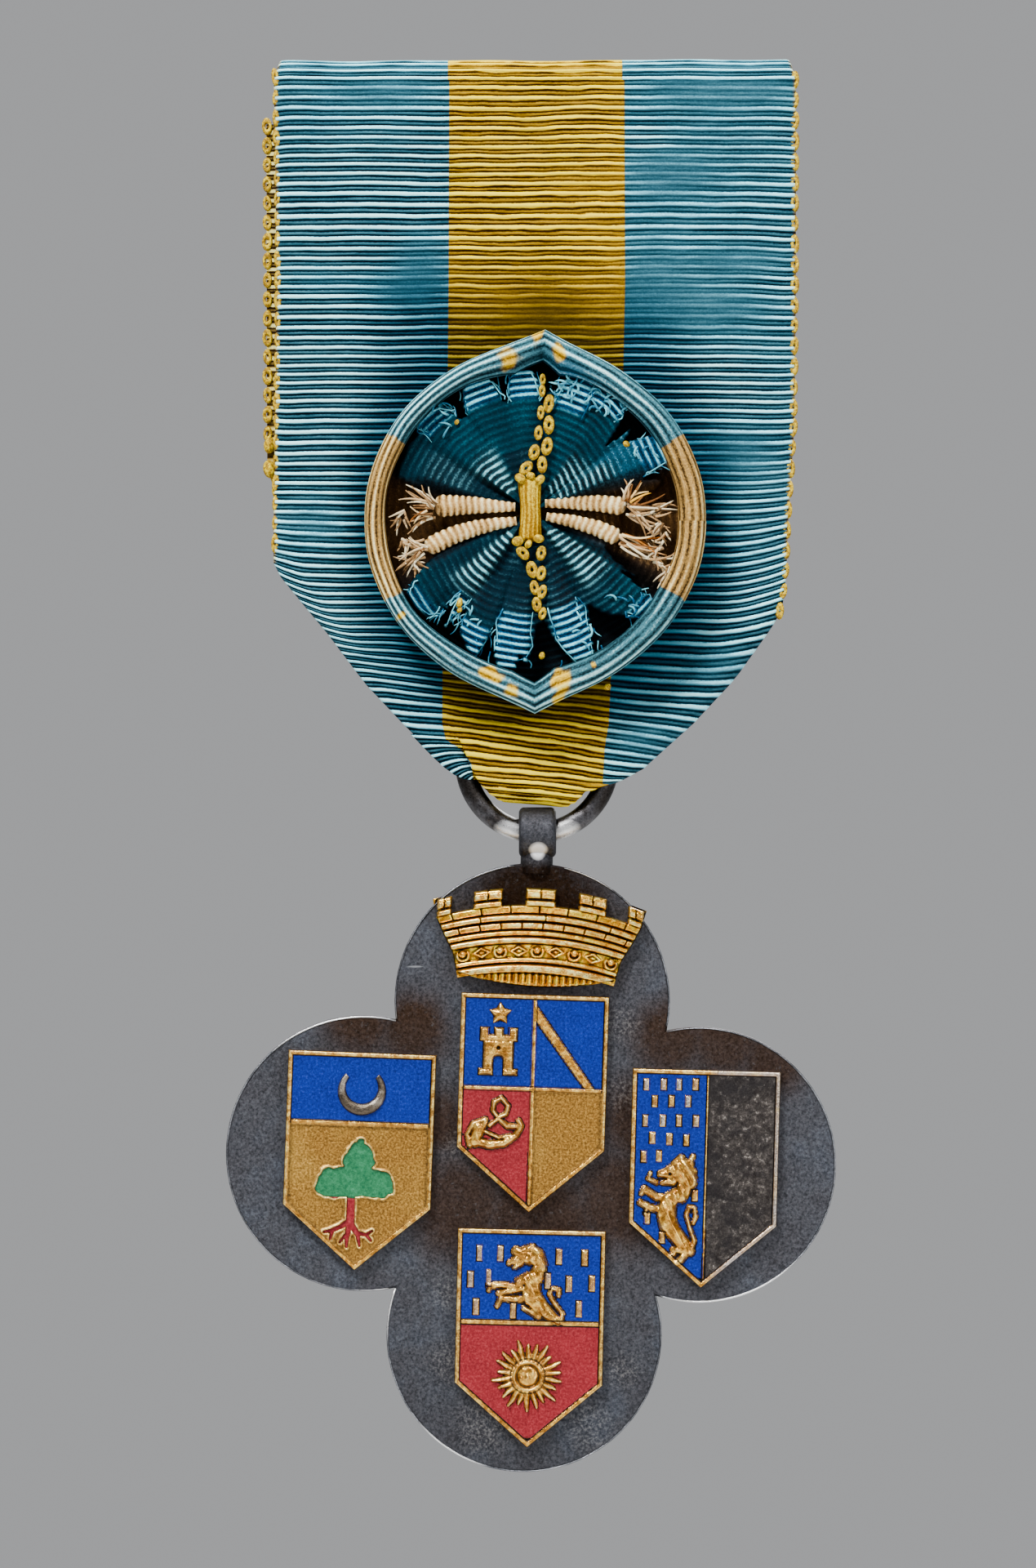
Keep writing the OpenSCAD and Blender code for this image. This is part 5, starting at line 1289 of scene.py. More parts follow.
def ribbed_strip(strip, seed):
    """A closed, flattened roll along a strip, pinched between its ribs: points, faces, level of painted
    highlight and shade, uv.
    """
    step = 0.055
    strip = np.array(strip)
    s = path_lengths(strip[:, :2])
    t = np.linspace(0, s[-1], max(2, round(s[-1] / step) + 1))
    fine = np.stack([np.interp(t, s, strip[:, c]) for c in range(3)], 1)
    around = np.linspace(0, math.pi, 19)
    points, level, uv = [], [], []
    for k, (x, z, w) in enumerate(fine):
        ahead = fine[min(k + 1, len(fine) - 1)][:2] - fine[max(k - 1, 0)][:2]
        ahead = ahead / np.hypot(*ahead)
        side = np.array([-ahead[1], ahead[0]])
        s, away = k * step, k / (len(fine) - 1)
        close = min(1.0, math.sqrt(max(0.02, 1 - max(0.0, away - 0.93) / 0.07)))
        bow = 0.30 * math.sin(math.pi * min(away + 0.25, 1))
        for t in around:
            out = math.cos(t)
            turn = s / 0.46 + 0.10 * math.sin(3 * out + seed) + 0.08 * math.sin(1.7 * s + seed)
            crest = 0.5 + 0.5 * math.cos(2 * math.pi * turn)
            half = w / 2 * close * (0.93 + 0.09 * crest * abs(out))
            tall = (0.42 + 0.16 * w) * close * math.sin(t) ** 0.6 * (0.93 + 0.07 * crest)
            at = np.array([x, z]) + side * out * half
            points.append((at[0], FAN_Y + 0.25 - tall - bow, at[1]))
            # Painted highlights on the rib crests, stronger near the strip's sides, and painted shade at its
            # very sides
            edge = max(0.0, abs(out) - 0.55) / 0.45
            level.append(0.50 + (0.22 + 0.26 * edge) * (2 * crest - 0.95) - 0.5 * max(0.0, edge - 0.86) * 5)
            uv.append((out * 2, s))
    n, m = len(fine), len(around)
    faces = grid_faces(n, m)
    faces += [[i * m, (i + 1) * m, (i + 2) * m - 1, (i + 1) * m - 1][::-1] for i in range(n - 1)]
    faces += [end[::-1] for end in end_faces(n, m)]
    return points, faces, level, uv


def fray(rng, x, z, way, spread, long):
    """Route of one frayed thread from near its root."""
    turn = math.radians(way + rng.uniform(-spread, spread))
    length = long * rng.uniform(0.5, 1.0)
    bend = rng.uniform(-0.5, 0.5)
    x0, z0 = x + rng.uniform(-0.3, 0.3), z + rng.uniform(-0.45, 0.45)
    y0 = FAN_Y - rng.uniform(0.0, 0.65)
    route = []
    for f in np.linspace(0, 1, FRAY_STOPS):
        t = turn + bend * f
        y = y0 + 0.5 * f * rng.uniform(-0.6, 1.0)
        route.append((x0 + length * f * math.cos(t), y, z0 + length * f * math.sin(t)))
    return inside_rim(route)


def make_tan_pleats():
    """The four tan folds: close ribs across narrow strips, frayed at their ends."""
    points, faces, level, uv = [], [], [], []
    for k, strip in enumerate(TAN_STRIPS):
        start = len(points)
        more_points, more_faces, more_level, more_uv = ribbed_strip(strip, k)
        points += more_points
        faces += [[start + v for v in face] for face in more_faces]
        level += more_level
        uv += more_uv
    ribs = outwards(new_piece("tan_ribs", points, faces, FRAYED))
    place = np.array(points)
    dyed(ribs, TAN_SILK, np.clip(level + 0.16 * ripple(place[:, 0], place[:, 2], 61, 0.8), 0, 1))
    lay_uv(ribs, uv)

    rng = np.random.default_rng(17)
    routes = [fray(rng, *root) for *root, number in TAN_FRAYS for _ in range(number)]
    frays = strands("tan_threads", routes, 0.095, ROLLED, FRAY_SIDES)
    near = [(route[2][0], route[2][2]) for route in routes]
    orange = [max(1 - math.dist(place, at) / 0.8 for at in ORANGE_AT) for place in near]
    per_route = FRAY_STOPS * FRAY_SIDES
    colours = blend(TAN_THREAD, ORANGE, np.clip(orange, 0, 1).repeat(per_route))
    level = 0.55 + 0.35 * rng.normal(0, 1, len(routes)).repeat(per_route)
    dyed(frays, colours, np.clip(level, 0.1, 1))
    frays.data.uv_layers.new(name="UVMap")
    return join("tan_pleats", [ribs, frays])


def inside_rim(route):
    """Keeps a route's points inside the rim's inner wall."""
    kept = []
    for x, y, z in route:
        at = np.array([x, z]) - FAN_MID
        far = math.hypot(*at)
        most = rim_limit(math.degrees(math.atan2(at[1], at[0]))) - 0.12
        if far > most:
            at = at * most / far
        kept.append((FAN_MID[0] + at[0], y, FAN_MID[1] + at[1]))
    return kept


def on_fan(r, a, y):
    """Point at a distance and an angle, in radians, from the fan's middle."""
    return FAN_MID[0] + r * math.cos(a), y, FAN_MID[1] + r * math.sin(a)


def loose_thread(rng, at, half, low, high, side):
    """Route of a loose thread at one side of a lobe."""
    a0 = at + side * half * rng.uniform(0.75, 1.02)
    r0 = rng.uniform(low - 0.3, high - 1.2)
    length = rng.uniform(0.5, 1.2)
    drift = rng.uniform(-3, 3)
    y0 = FACE_Y - GAP - rng.uniform(2.0, 2.7)
    route = []
    for f in np.linspace(0, 1, 6):
        a = math.radians(a0 + drift * f + 0.5 * math.sin(4 * f + a0))
        route.append(on_fan(r0 + length * f, a, y0 - 0.1 * f))
    return inside_rim(route)


def lobe_line(at, half, low):
    """Route of the bright thread round a lobe: up one side, over its end and down the other."""
    route = []
    for f in np.linspace(-1, 1, 15):
        a = at + half * 1.02 * math.copysign(min(1.0, abs(f) * 2.2), f)
        end = float(fan_reach(np.array(a % 360))) - 0.10
        r = low + (max(end, low + 0.5) - low) * min(1.0, (1 - abs(f)) * 2.0) ** 0.7
        route.append(on_fan(r, math.radians(a + 0.8 * math.sin(9 * f + at)), FACE_Y - GAP - 2.72))
    return inside_rim(route)


def crumpled_thread(rng, at, spread):
    """Route of a short bent thread that stands up from a lobe."""
    a, r = math.radians(at + rng.uniform(-spread, spread)), rng.uniform(7.9, 10.4)
    turn, length = rng.uniform(0, math.pi), rng.uniform(0.5, 1.1)
    bend = rng.uniform(-1.5, 1.5)
    x, y, z = on_fan(r, a, FACE_Y - GAP - 2.6)
    return inside_rim([(x + length * f * math.cos(turn + bend * f), y - 0.35 * math.sin(math.pi * f),
                        z + length * f * math.sin(turn + bend * f)) for f in np.linspace(0, 1, 6)])


def make_blue_threads():
    """Blue threads of the fan: loose ones, a line round each lobe and crumpled ones."""
    rng = np.random.default_rng(29)
    loose = [loose_thread(rng, *lobe, side) for *lobe, _ in FAN_LOBES for side in (-1, 1) for _ in range(5)]
    lines = [lobe_line(at, half, low) for at, half, low, _, _ in FAN_LOBES]
    crumpled = [crumpled_thread(rng, at, spread) for at, spread, number in CRUMPLES for _ in range(number)]
    # Each kind with its routes, radius and least brightness
    kinds = (("blue_threads", loose, 0.05, 0.40), ("lobe_lines", lines, 0.05, 0.35),
             ("crumpled_threads", crumpled, 0.085, 0.45))
    pieces = []
    for name, routes, radius, least in kinds:
        piece = strands(name, routes, radius, ROLLED)
        count = len(piece.data.vertices)
        changes = np.arange(0, count, 17)
        dyed(piece, LOBE, np.interp(np.arange(count), changes, rng.uniform(least, 1.0, len(changes))))
        piece.data.uv_layers.new(name="UVMap")
        pieces.append(piece)
    return join("blue_threads", pieces)


def make_chain():
    """The yellow chain of loops above and below the binding, its knots and the yellow bits beside it."""
    loops = set_form("chain_loops", "loop", False, THREAD)
    beads = set_form("chain_knots", "bead", False, THREAD)

    def set_out(name, tree, table, lift, sizes, **values):
        """Loops or beads of a table. Those beyond the rosette lie lower, on the ribbon."""
        y = FACE_Y - GAP - 2.75 - lift
        places = [(x, y + (0.9 if z > -16.5 or z < -34 else 0), z) for x, z, *_ in table]
        turns = [(0.15, -math.radians(t), 0.1) for _, _, t, _, _ in table]
        return grow(name, tree, places, sizes, turns, **values)

    chain = [(l / 1.62, 0.75 * w, w / 1.62) for *_, l, w in CHAIN]
    knots = [(l, 0.5, w) for *_, l, w in KNOTS]
    bits = [(l, 0.35, w) for *_, l, w in BITS]
    return join("yellow_chain", [
        set_out("chain", loops, CHAIN, 0.0, chain, Thread=0.31, Uneven=0.06, Seed=2),
        set_out("knots", beads, KNOTS, 0.15, knots, Uneven=0.1, Seed=3),
        set_out("bits", beads, BITS, 0.0, bits, Uneven=0.15, Seed=5)])


def make_binding():
    """The yellow band over the middle of the fan: a ribbed half round with a slight waist."""
    rows = np.linspace(0, 1, 58)
    around = np.linspace(0, math.pi, 41)
    points, level = [], []
    for f in rows:
        waist = 1 - 0.09 * math.sin(math.pi * f) + 0.03 * math.sin(9 * f)
        lean = 0.05 * math.sin(4 * f)
        end = math.sqrt(max(0.0, 1 - max(0.0, abs(2 * f - 1) - 0.86) ** 2 / 0.0212))
        half = BAND_W * waist * (0.90 + 0.10 * end)
        for t in around:
            cord = math.cos(t * 17 + 0.9 * math.sin(4 * f) + 0.6 * math.sin(11 * f))
            x = BAND_X + lean - half * math.cos(t) * (0.82 + 0.18 * math.sin(t))
            rise = (1.15 * math.sin(t) ** 0.75 + 0.03 * cord * math.sin(t)) * (0.45 + 0.55 * end)
            y = FACE_Y - GAP - 1.9 - 0.6 * rise / 1.15 - 0.45 * math.sin(t) * end
            points.append((x, y, BAND_LOW + (BAND_HIGH - BAND_LOW) * f))
            level.append(0.52 + 0.16 * cord)
    n, m = len(rows), len(around)
    base = n * m
    sides = [points[i * m + j] for i in range(n) for j in (0, m - 1)]
    points += [(x, FACE_Y - GAP - 1.2, z) for x, _, z in sides]
    faces = grid_faces(n, m)
    for i in range(n - 1):
        a, b = i * m, (i + 1) * m
        p, q = base + 2 * i, base + 2 * (i + 1)
        faces += [[a, p, q, b], [a + m - 1, b + m - 1, q + 1, p + 1], [p, p + 1, q + 1, q]]
    foot, head = [end[::-1] for end in end_faces(n, m)]
    faces += [foot + [base + 1, base], head + [base + 2 * (n - 1), base + 2 * n - 1]]
    band = outwards(new_piece("binding_band", points, faces, CORDED))
    x, _, z = np.array(points).T
    # Painted highlights on the cords, and painted shade towards the band's sides and on the sides beneath
    level = np.concatenate([level, np.full(2 * n, 0.3)]) + 0.14 * ripple(x * 2, z, 71, 1.2)
    inner = np.clip(1.25 - np.abs(x - BAND_X) / 0.80, 0, 1)
    dyed(band, BAND_YELLOW, np.clip(level * (0.45 + 0.55 * ease(inner / 0.6)), 0, 1))
    lay_uv(band, np.stack([z * 0.6, x * 1.2], 1))
    return band


def make_selvedge():
    """Loops of the weft along the edges: scallops in front, a chain and puffs on the back layer's left."""
    loops = set_form("selvedge_loops", "loop", True, THREAD)
    beads = set_form("selvedge_puffs", "bead", True, THREAD)

    def front(z):
        return FACE_Y + 0.28

    def behind(z):
        return back_depth(z) + 0.05

    def run(name, tree, edge, tops, size, **values):
        """Loops or beads down an edge, given as table, column, shift across and depth."""
        table, column, shift, depth = edge
        route = [(float(from_table(table, z, column)) + shift, depth(z), z) for z in np.arange(*tops, -0.2)]
        return grow(name, tree, route, [size] * len(route), on_route=True, **values)

    return join("selvedge", [
        run("right_scallops", loops, (FRONT_EDGES, 2, -0.08, front), (4.4, -33.4), (0.76, 0.36, 0.36),
            Spacing=1.395 * MM, Thread=0.36, Uneven=0.12, Seed=11),
        run("left_scallops", loops, (FRONT_EDGES, 1, 0.10, front), (4.6, -28.6), (0.74, 0.30, 0.28),
            Spacing=1.395 * MM, Thread=0.36, Uneven=0.14, Seed=13),
        run("back_chain", loops, (BACK_EDGES, 1, 0.05, behind), (1.2, -20.8), (0.80, 0.62, 0.46),
            Spacing=1.36 * MM, Thread=0.27, Uneven=0.10, Seed=21),
        run("back_puffs", beads, (BACK_EDGES, 1, 0.16, behind), (-21.4, -28.2), (1.25, 0.85, 0.85),
            Spacing=1.46 * MM, Uneven=0.10, Seed=23)])


# Badge: places of the reliefs on the plate from the swing axis: across, up, turn in degrees
AT = {"centre": (0.17, -11.48, 0.2), "left": (-11.96, -15.92, 0.6), "right": (12.46, -16.49, 0.0),
      "bottom": (0.39, -28.13, -0.25), "crown": (0.16, -10.25, 1.6), "plate": (0.0, 0.0, 0.0)}
# Depth of the face that they rise from: the plate's middle, half its thickness, and a hair in front of it
PLATE_FRONT = 0.27 - 0.9 - 0.05
# Shields: half width, height of the upright sides and of the whole, angle of the lower sides
HALF_W, SIDE_H, SHIELD_H = 5.25, 10.95, 15.45
SLANT = math.atan2(SHIELD_H - SIDE_H, HALF_W)
# Width of a shield's frame, and the step of its grid
LINE, STEP = 0.30, 0.062
# Levels above the plate: floor of the cells, matte gold field, enamel, frame
FLOOR, FIELD, GLASS, FRAME = 0.45, 0.68, 0.70, 0.82
# Dividing lines: quarters of the centre shield, chief of the left, halves of the right, middle of the bottom
QUARTER_Z, BAR_W, CHIEF_Z, HALF_X, LOW_Z = -6.7, 0.28, -5.03, 0.1, -6.6
# A side of a box that lies outside the shield
FAR = 20.0

# Figures as strokes of rounded limbs, point by point: across, up, radius. The lion of the right shield
LION_RIGHT = [
    [(-3.05, -7.45, 0.26), (-2.4, -7.35, 0.46)], [(-2.95, -8.05, 0.16), (-2.15, -7.9, 0.34)],
    [(-2.3, -7.25, 0.5), (-1.5, -7.15, 0.8)], [(-1.5, -7.1, 0.85), (-1.15, -7.85, 0.72)],
    [(-2.05, -6.75, 0.3), (-1.62, -6.25, 0.24)], [(-1.15, -6.95, 0.45), (-0.8, -6.1, 0.15)],
    [(-0.85, -7.2, 0.32), (-0.72, -8.2, 0.2)], [(-1.35, -8.3, 0.55), (-1.62, -9, 0.5)],
    [(-3.35, -8.05, 0.17), (-3.95, -7.8, 0.14), (-3.8, -7.4, 0.12)],
    [(-1.9, -8.9, 0.52), (-2.45, -9.35, 0.62), (-2.6, -10.15, 0.68), (-2.45, -11, 0.64),
     (-1.85, -11.8, 0.56), (-1.25, -12.45, 0.52)], [(-1.25, -12.45, 0.5), (-0.85, -12.85, 0.36)],
    [(-1.3, -12.75, 0.34), (-2, -12.8, 0.24)],
    [(-1.15, -12.95, 0.3), (-1.45, -13.45, 0.26), (-1.8, -13.7, 0.22)],
    [(-2, -13.05, 0.2), (-2.2, -13.2, 0.18)], [(-2.3, -9.1, 0.3), (-3.3, -9.1, 0.26), (-4.2, -8.52, 0.24)],
    [(-4.2, -8.52, 0.22), (-4.4, -8.85, 0.16)],
    [(-2.85, -9.95, 0.3), (-3.7, -9.85, 0.26), (-4.45, -9.5, 0.22)],
    [(-3.95, -9.85, 0.16), (-4.1, -10.25, 0.13)],
    [(-0.75, -12.75, 0.17), (-0.55, -12.1, 0.15), (-0.9, -11.2, 0.14), (-1.18, -10.3, 0.14),
     (-1, -9.72, 0.14), (-0.62, -9.75, 0.14), (-0.5, -10.4, 0.16), (-0.68, -10.85, 0.12)],
]
# Half lion of the bottom shield
LION_LOW = [
    [(-1.55, -2.4, 0.2), (-1.05, -2.15, 0.34)], [(-1.15, -2.68, 0.18), (-0.78, -2.35, 0.3)],
    [(-1.05, -1.55, 0.36), (-0.55, -1.8, 0.48)], [(-0.45, -1.45, 0.3), (0.05, -1.25, 0.26)],
    [(0, -1.3, 0.26), (0.45, -1.7, 0.42)], [(-0.3, -1.95, 0.5), (0.35, -2.1, 0.52)],
    [(0.45, -1.75, 0.45), (0.66, -2.45, 0.48), (0.48, -3.2, 0.56), (0, -3.7, 0.66)],
    [(-0.2, -3.6, 0.6), (-0.8, -3.75, 0.4)],
    [(0, -3.7, 0.66), (0.1, -4.75, 0.7), (0.8, -5.55, 0.54), (1.5, -6.1, 0.42), (2, -6.42, 0.3)],
    [(-0.45, -5.55, 0.18), (0.6, -6.1, 0.26)],
    [(-1.05, -4.05, 0.24), (-2.1, -3.95, 0.22), (-2.9, -4.05, 0.26)],
    [(-2.9, -4.05, 0.22), (-2.95, -4.35, 0.15)],
    [(-0.5, -4.1, 0.28), (-1.4, -4.35, 0.25), (-2.25, -4.55, 0.2)],
    [(-0.3, -4.9, 0.28), (-1.3, -4.95, 0.26), (-2.1, -4.88, 0.22)],
    [(-2.1, -4.88, 0.2), (-2.35, -5.45, 0.16)],
    [(2.2, -6.45, 0.17), (2.3, -5.9, 0.16), (1.75, -5.2, 0.15), (1.34, -4.55, 0.15), (1.52, -4.12, 0.15),
     (1.98, -4.22, 0.19), (2, -4.65, 0.13)],
]
# Hunting horn with its cord
HORN = [
    [(-3.28, -8.92, 0.17), (-4.12, -9.25, 0.17), (-4.52, -10.05, 0.18), (-4.32, -10.8, 0.2)],
    [(-3.3, -9.05, 0.22), (-3.95, -10.6, 0.34)], [(-3.75, -9.5, 0.4), (-3.95, -10.4, 0.42)],
    [(-3.85, -10.5, 0.32), (-2.95, -10.72, 0.32), (-1.95, -10.58, 0.3), (-1.1, -10.02, 0.24),
     (-0.72, -9.35, 0.2), (-0.9, -8.98, 0.2)],
    [(-3.25, -9.8, 0.12), (-2.25, -10.22, 0.12), (-1.4, -10, 0.12)],
    [(-2.17, -7.38, 0.15), (-1.68, -7.93, 0.15), (-1.84, -8.52, 0.15), (-2.38, -8.77, 0.14),
     (-2.76, -8.28, 0.15), (-2.68, -7.68, 0.15), (-2.17, -7.38, 0.15)],
    [(-2.3, -8.8, 0.15), (-2.95, -9.35, 0.15)],
    [(-2.2, -8.98, 0.15), (-1.7, -9.35, 0.22), (-1.05, -9.38, 0.18)],
]
# Top of the tree, and its trunk with roots
TREE = [
    [(0.12, -6.35, 0.22), (0.05, -7.25, 0.88), (0, -7.95, 1.02)], [(-0.6, -7.3, 0.3), (-0.85, -7.75, 0.32)],
    [(0.7, -7.3, 0.28), (0.92, -7.8, 0.3)], [(-1.85, -9.35, 1.02), (-0.7, -9.15, 1.1)],
    [(-2.55, -9.7, 0.45), (-2.1, -8.75, 0.55)], [(1.55, -9.35, 0.94), (0.6, -9.15, 1.02)],
    [(2.15, -9.6, 0.4), (1.85, -8.8, 0.45)], [(0, -8.6, 1.05), (0, -9.2, 1.02)],
]
ROOTS = [
    [(-0.42, -10.2, 0.28), (-0.42, -12.2, 0.3)],
    [(-0.5, -12, 0.22), (-1.1, -12.4, 0.17), (-1.75, -12.7, 0.15), (-2.25, -12.8, 0.09)],
    [(-1.65, -12.7, 0.14), (-1.8, -13.3, 0.08)], [(-0.45, -12.2, 0.24), (-0.62, -13.1, 0.17)],
    [(-0.62, -13.1, 0.16), (-0.62, -13.8, 0.08)], [(-0.75, -13, 0.12), (-1.1, -13.5, 0.08)],
    [(-0.35, -12.2, 0.24), (0.15, -12.9, 0.17)], [(0.15, -12.9, 0.16), (0.3, -13.7, 0.08)],
    [(0.15, -12.8, 0.16), (0.75, -12.9, 0.13), (1.15, -12.6, 0.08)],
    [(0.75, -12.9, 0.13), (1.1, -13.3, 0.08)],
]
# Small upright bars on the blue: middle across, up, how worn
BARS_RIGHT = [
    (-4.24, -1.12, 0.8), (-3.03, -1.10, 0.7), (-1.95, -1.06, 1.0), (-0.78, -1.02, 0.3), (-3.62, -2.30, 0.1),
    (-2.44, -2.28, 0.1), (-1.27, -2.24, 1.0), (-4.24, -3.69, 0.4), (-3.03, -3.66, 1.0), (-1.88, -3.63, 0.3),
    (-0.66, -3.65, 0.6), (-3.72, -4.90, 0.2), (-2.53, -4.96, 0.2), (-1.32, -4.98, 0.0), (-4.30, -6.22, 0.1),
    (-3.22, -6.19, 0.1), (-3.95, -10.6, 0.1), (-2.85, -11.95, 0.1), (-0.60, -8.90, 0.1),
]
BARS_LOW = [
    (-3.68, -1.72, 0.6), (-2.20, -1.75, 0.6), (1.95, -1.85, 0.2), (3.78, -1.90, 0.1), (-4.28, -3.62, 0.8),
    (-3.00, -3.45, 0.4), (1.20, -3.60, 0.5), (2.70, -3.80, 0.3), (4.33, -3.72, 0.2), (-3.85, -5.55, 0.5),
    (3.45, -5.55, 0.2), (-1.20, -5.75, 0.2),
]
# Gate tower: its middle across and its foot, and half width, foot and head of its base, wall and top
TOWER_X, TOWER_FOOT = -2.5, -5.75
TOWER = ((1.35, TOWER_FOOT, -5.35), (1.05, -5.40, -3.30), (1.30, -3.35, -2.95))
# Its merlons: their middles, half width, foot and head. Its stones, its gate and its window
TOWER_MERLONS, TOWER_MERLON = (-1.02, 0, 1.02), (0.28, -3.2, -2.45)
STONE_H, STONE_W = 0.42, 0.5
GATE_HALF, GATE_ARCH_Z = 0.38, -4.75
WINDOW_R, WINDOW_Z = 0.16, -3.85
# Slanting band: height of its lower and its upper side at the middle line, and how far they run across and up
BAND_SIDES = ((-1.75, 3.80, -5.0), (-0.60, 4.50, -6.15))
# Star: middle, outer and inner radius. Sun: middle, radius of its disc, reach and number of its rays
STAR_AT, STAR_R, STAR_IN = (-2.44, -1.42), 0.80, 0.44
SUN_AT, SUN_R, SUN_REACH, SUN_RAYS = (-0.06, -10.37), 1.20, 2.42, 22
# Face of the sun, eyes, nose, cheeks and mouth: across, up, radius, height
SUN_FACE = ((-0.33, 0.22, 0.13, 0.10), (0.33, 0.22, 0.13, 0.10), (0, 0.02, 0.12, 0.16),
            (0, -0.16, 0.14, 0.14), (-0.42, -0.18, 0.18, 0.08), (0.42, -0.18, 0.18, 0.08),
            (0, -0.46, 0.20, 0.07), (-0.3, 0.47, 0.2, 0.08), (0.3, 0.47, 0.2, 0.08))


def on_badge(x, up, z, at):
    """Points of a relief, raised up from the plate's face, at its place on the hanging badge."""
    px, pz, turn = AT[at]
    a = math.radians(turn)
    x, z = x * math.cos(a) + z * math.sin(a) + px, -x * math.sin(a) + z * math.cos(a) + pz
    x, z = x * math.cos(LEAN) + z * math.sin(LEAN), -x * math.sin(LEAN) + z * math.cos(LEAN)
    return np.stack([x + PIVOT[0], PLATE_FRONT - up + 0 * x + PIVOT[1], z + PIVOT[2]], -1)


def half_width(z, margin=0.0):
    """Half width of a shield at a height, drawn in by a margin."""
    slant = (z + SHIELD_H - margin / math.cos(SLANT)) / math.tan(SLANT)
    return np.clip(np.minimum(HALF_W - margin, slant), 0.0, None)


def from_edge(x, z):
    """Distance inwards from a shield's outline."""
    slant = (z + SHIELD_H) * math.cos(SLANT) - np.abs(x) * math.sin(SLANT)
    return np.minimum(np.minimum(HALF_W - np.abs(x), -z), slant)


def plateau(distance, level, soft=0.09):
    """Raised by level where distance is above 0, with rounded edges soft wide."""
    return level * dome(distance / soft)


def box_in(x, z, x0, x1, z0, z1):
    """Distance inwards from a box's sides."""
    return np.minimum(np.minimum(x - x0, x1 - x), np.minimum(z - z0, z1 - z))


def limbs(x, z, strokes, rise, least):
    """Height of rounded limbs, and how far inside one a point lies."""
    base = 0.5
    high, inside = np.zeros_like(x), np.full_like(x, -9.0)
    for stroke in strokes:
        for (x0, z0, r0), (x1, z1, r1) in zip(stroke, stroke[1:]):
            dx, dz = x1 - x0, z1 - z0
            t = np.clip(((x - x0) * dx + (z - z0) * dz) / (dx * dx + dz * dz), 0, 1)
            r = r0 + (r1 - r0) * t
            away = np.hypot(x - x0 - dx * t, z - z0 - dz * t)
            bulge = np.sqrt(np.clip(1 - (away / r) ** 2, 0, 1)) ** 0.8
            top = GLASS - base + least + rise * r
            high = np.maximum(high, np.where(away < r, base + top * bulge, 0))
            inside = np.maximum(inside, r - away)
    return high, inside


def blurred(grid, reach):
    """Mean over a square of 2 reach + 1 steps."""
    size = 2 * reach + 1
    for axis in (0, 1):
        first, last = grid.take([0], axis), grid.take([-1], axis)
        padded = np.concatenate([np.repeat(first, reach + 1, axis), grid, np.repeat(last, reach, axis)], axis)
        total = np.cumsum(padded, axis)
        n = grid.shape[axis]
        grid = (total.take(range(size, size + n), axis) - total.take(range(n), axis)) / size
    return grid


def relief(name, at, x, z, high, material, low=-0.2, matte=0.0, wear=0.0, dark=0.0, lit=0.0,
           hollow_scale=0.16, edges=1.0):
    """Closed relief from a grid of places and heights, painted with highlight on the crests and shade in the
    hollows, matte and wear.
    """
    rows, cols = x.shape
    number = np.arange(rows * cols).reshape(rows, cols)
    ring = [*number[0], *number[1:, -1], *number[-1, -2::-1], *number[-2:0:-1, 0]]
    base, n = rows * cols, len(ring)
    top = on_badge(x, high, z, at).reshape(-1, 3)
    foot = on_badge(x.ravel()[ring], np.full(n, low), z.ravel()[ring], at)
    faces = grid_faces(rows, cols)
    faces += [[ring[k], base + k, base + (k + 1) % n, ring[(k + 1) % n]] for k in range(n)]
    faces.append(list(range(base, base + n)))
    piece = outwards(new_piece(name, np.concatenate([top, foot]), faces, material))
    # Painted shade in the hollows and wherever dark says, painted highlight on the crests and wherever lit
    # says; the sides down to the foot get a little painted shade
    hollow = (blurred(high, 4) - high) / hollow_scale + 0.25 * np.clip((blurred(high, 2) - high) / 0.08, 0, 1)
    hollow = np.maximum(np.clip(hollow, 0, 1), dark)
    crest = np.maximum(edges * np.clip((high - blurred(high, 3)) / 0.13 - 0.22, 0, 1), lit)
    share = 0.5 + 0.5 * np.where(hollow > 0.02, hollow, -crest)
    values = np.stack(np.broadcast_arrays(share, matte, wear), -1).reshape(-1, 3)
    paint(piece, "finish", np.concatenate([values, np.tile([0.6, 0, 0], (n, 1))]))
    return piece


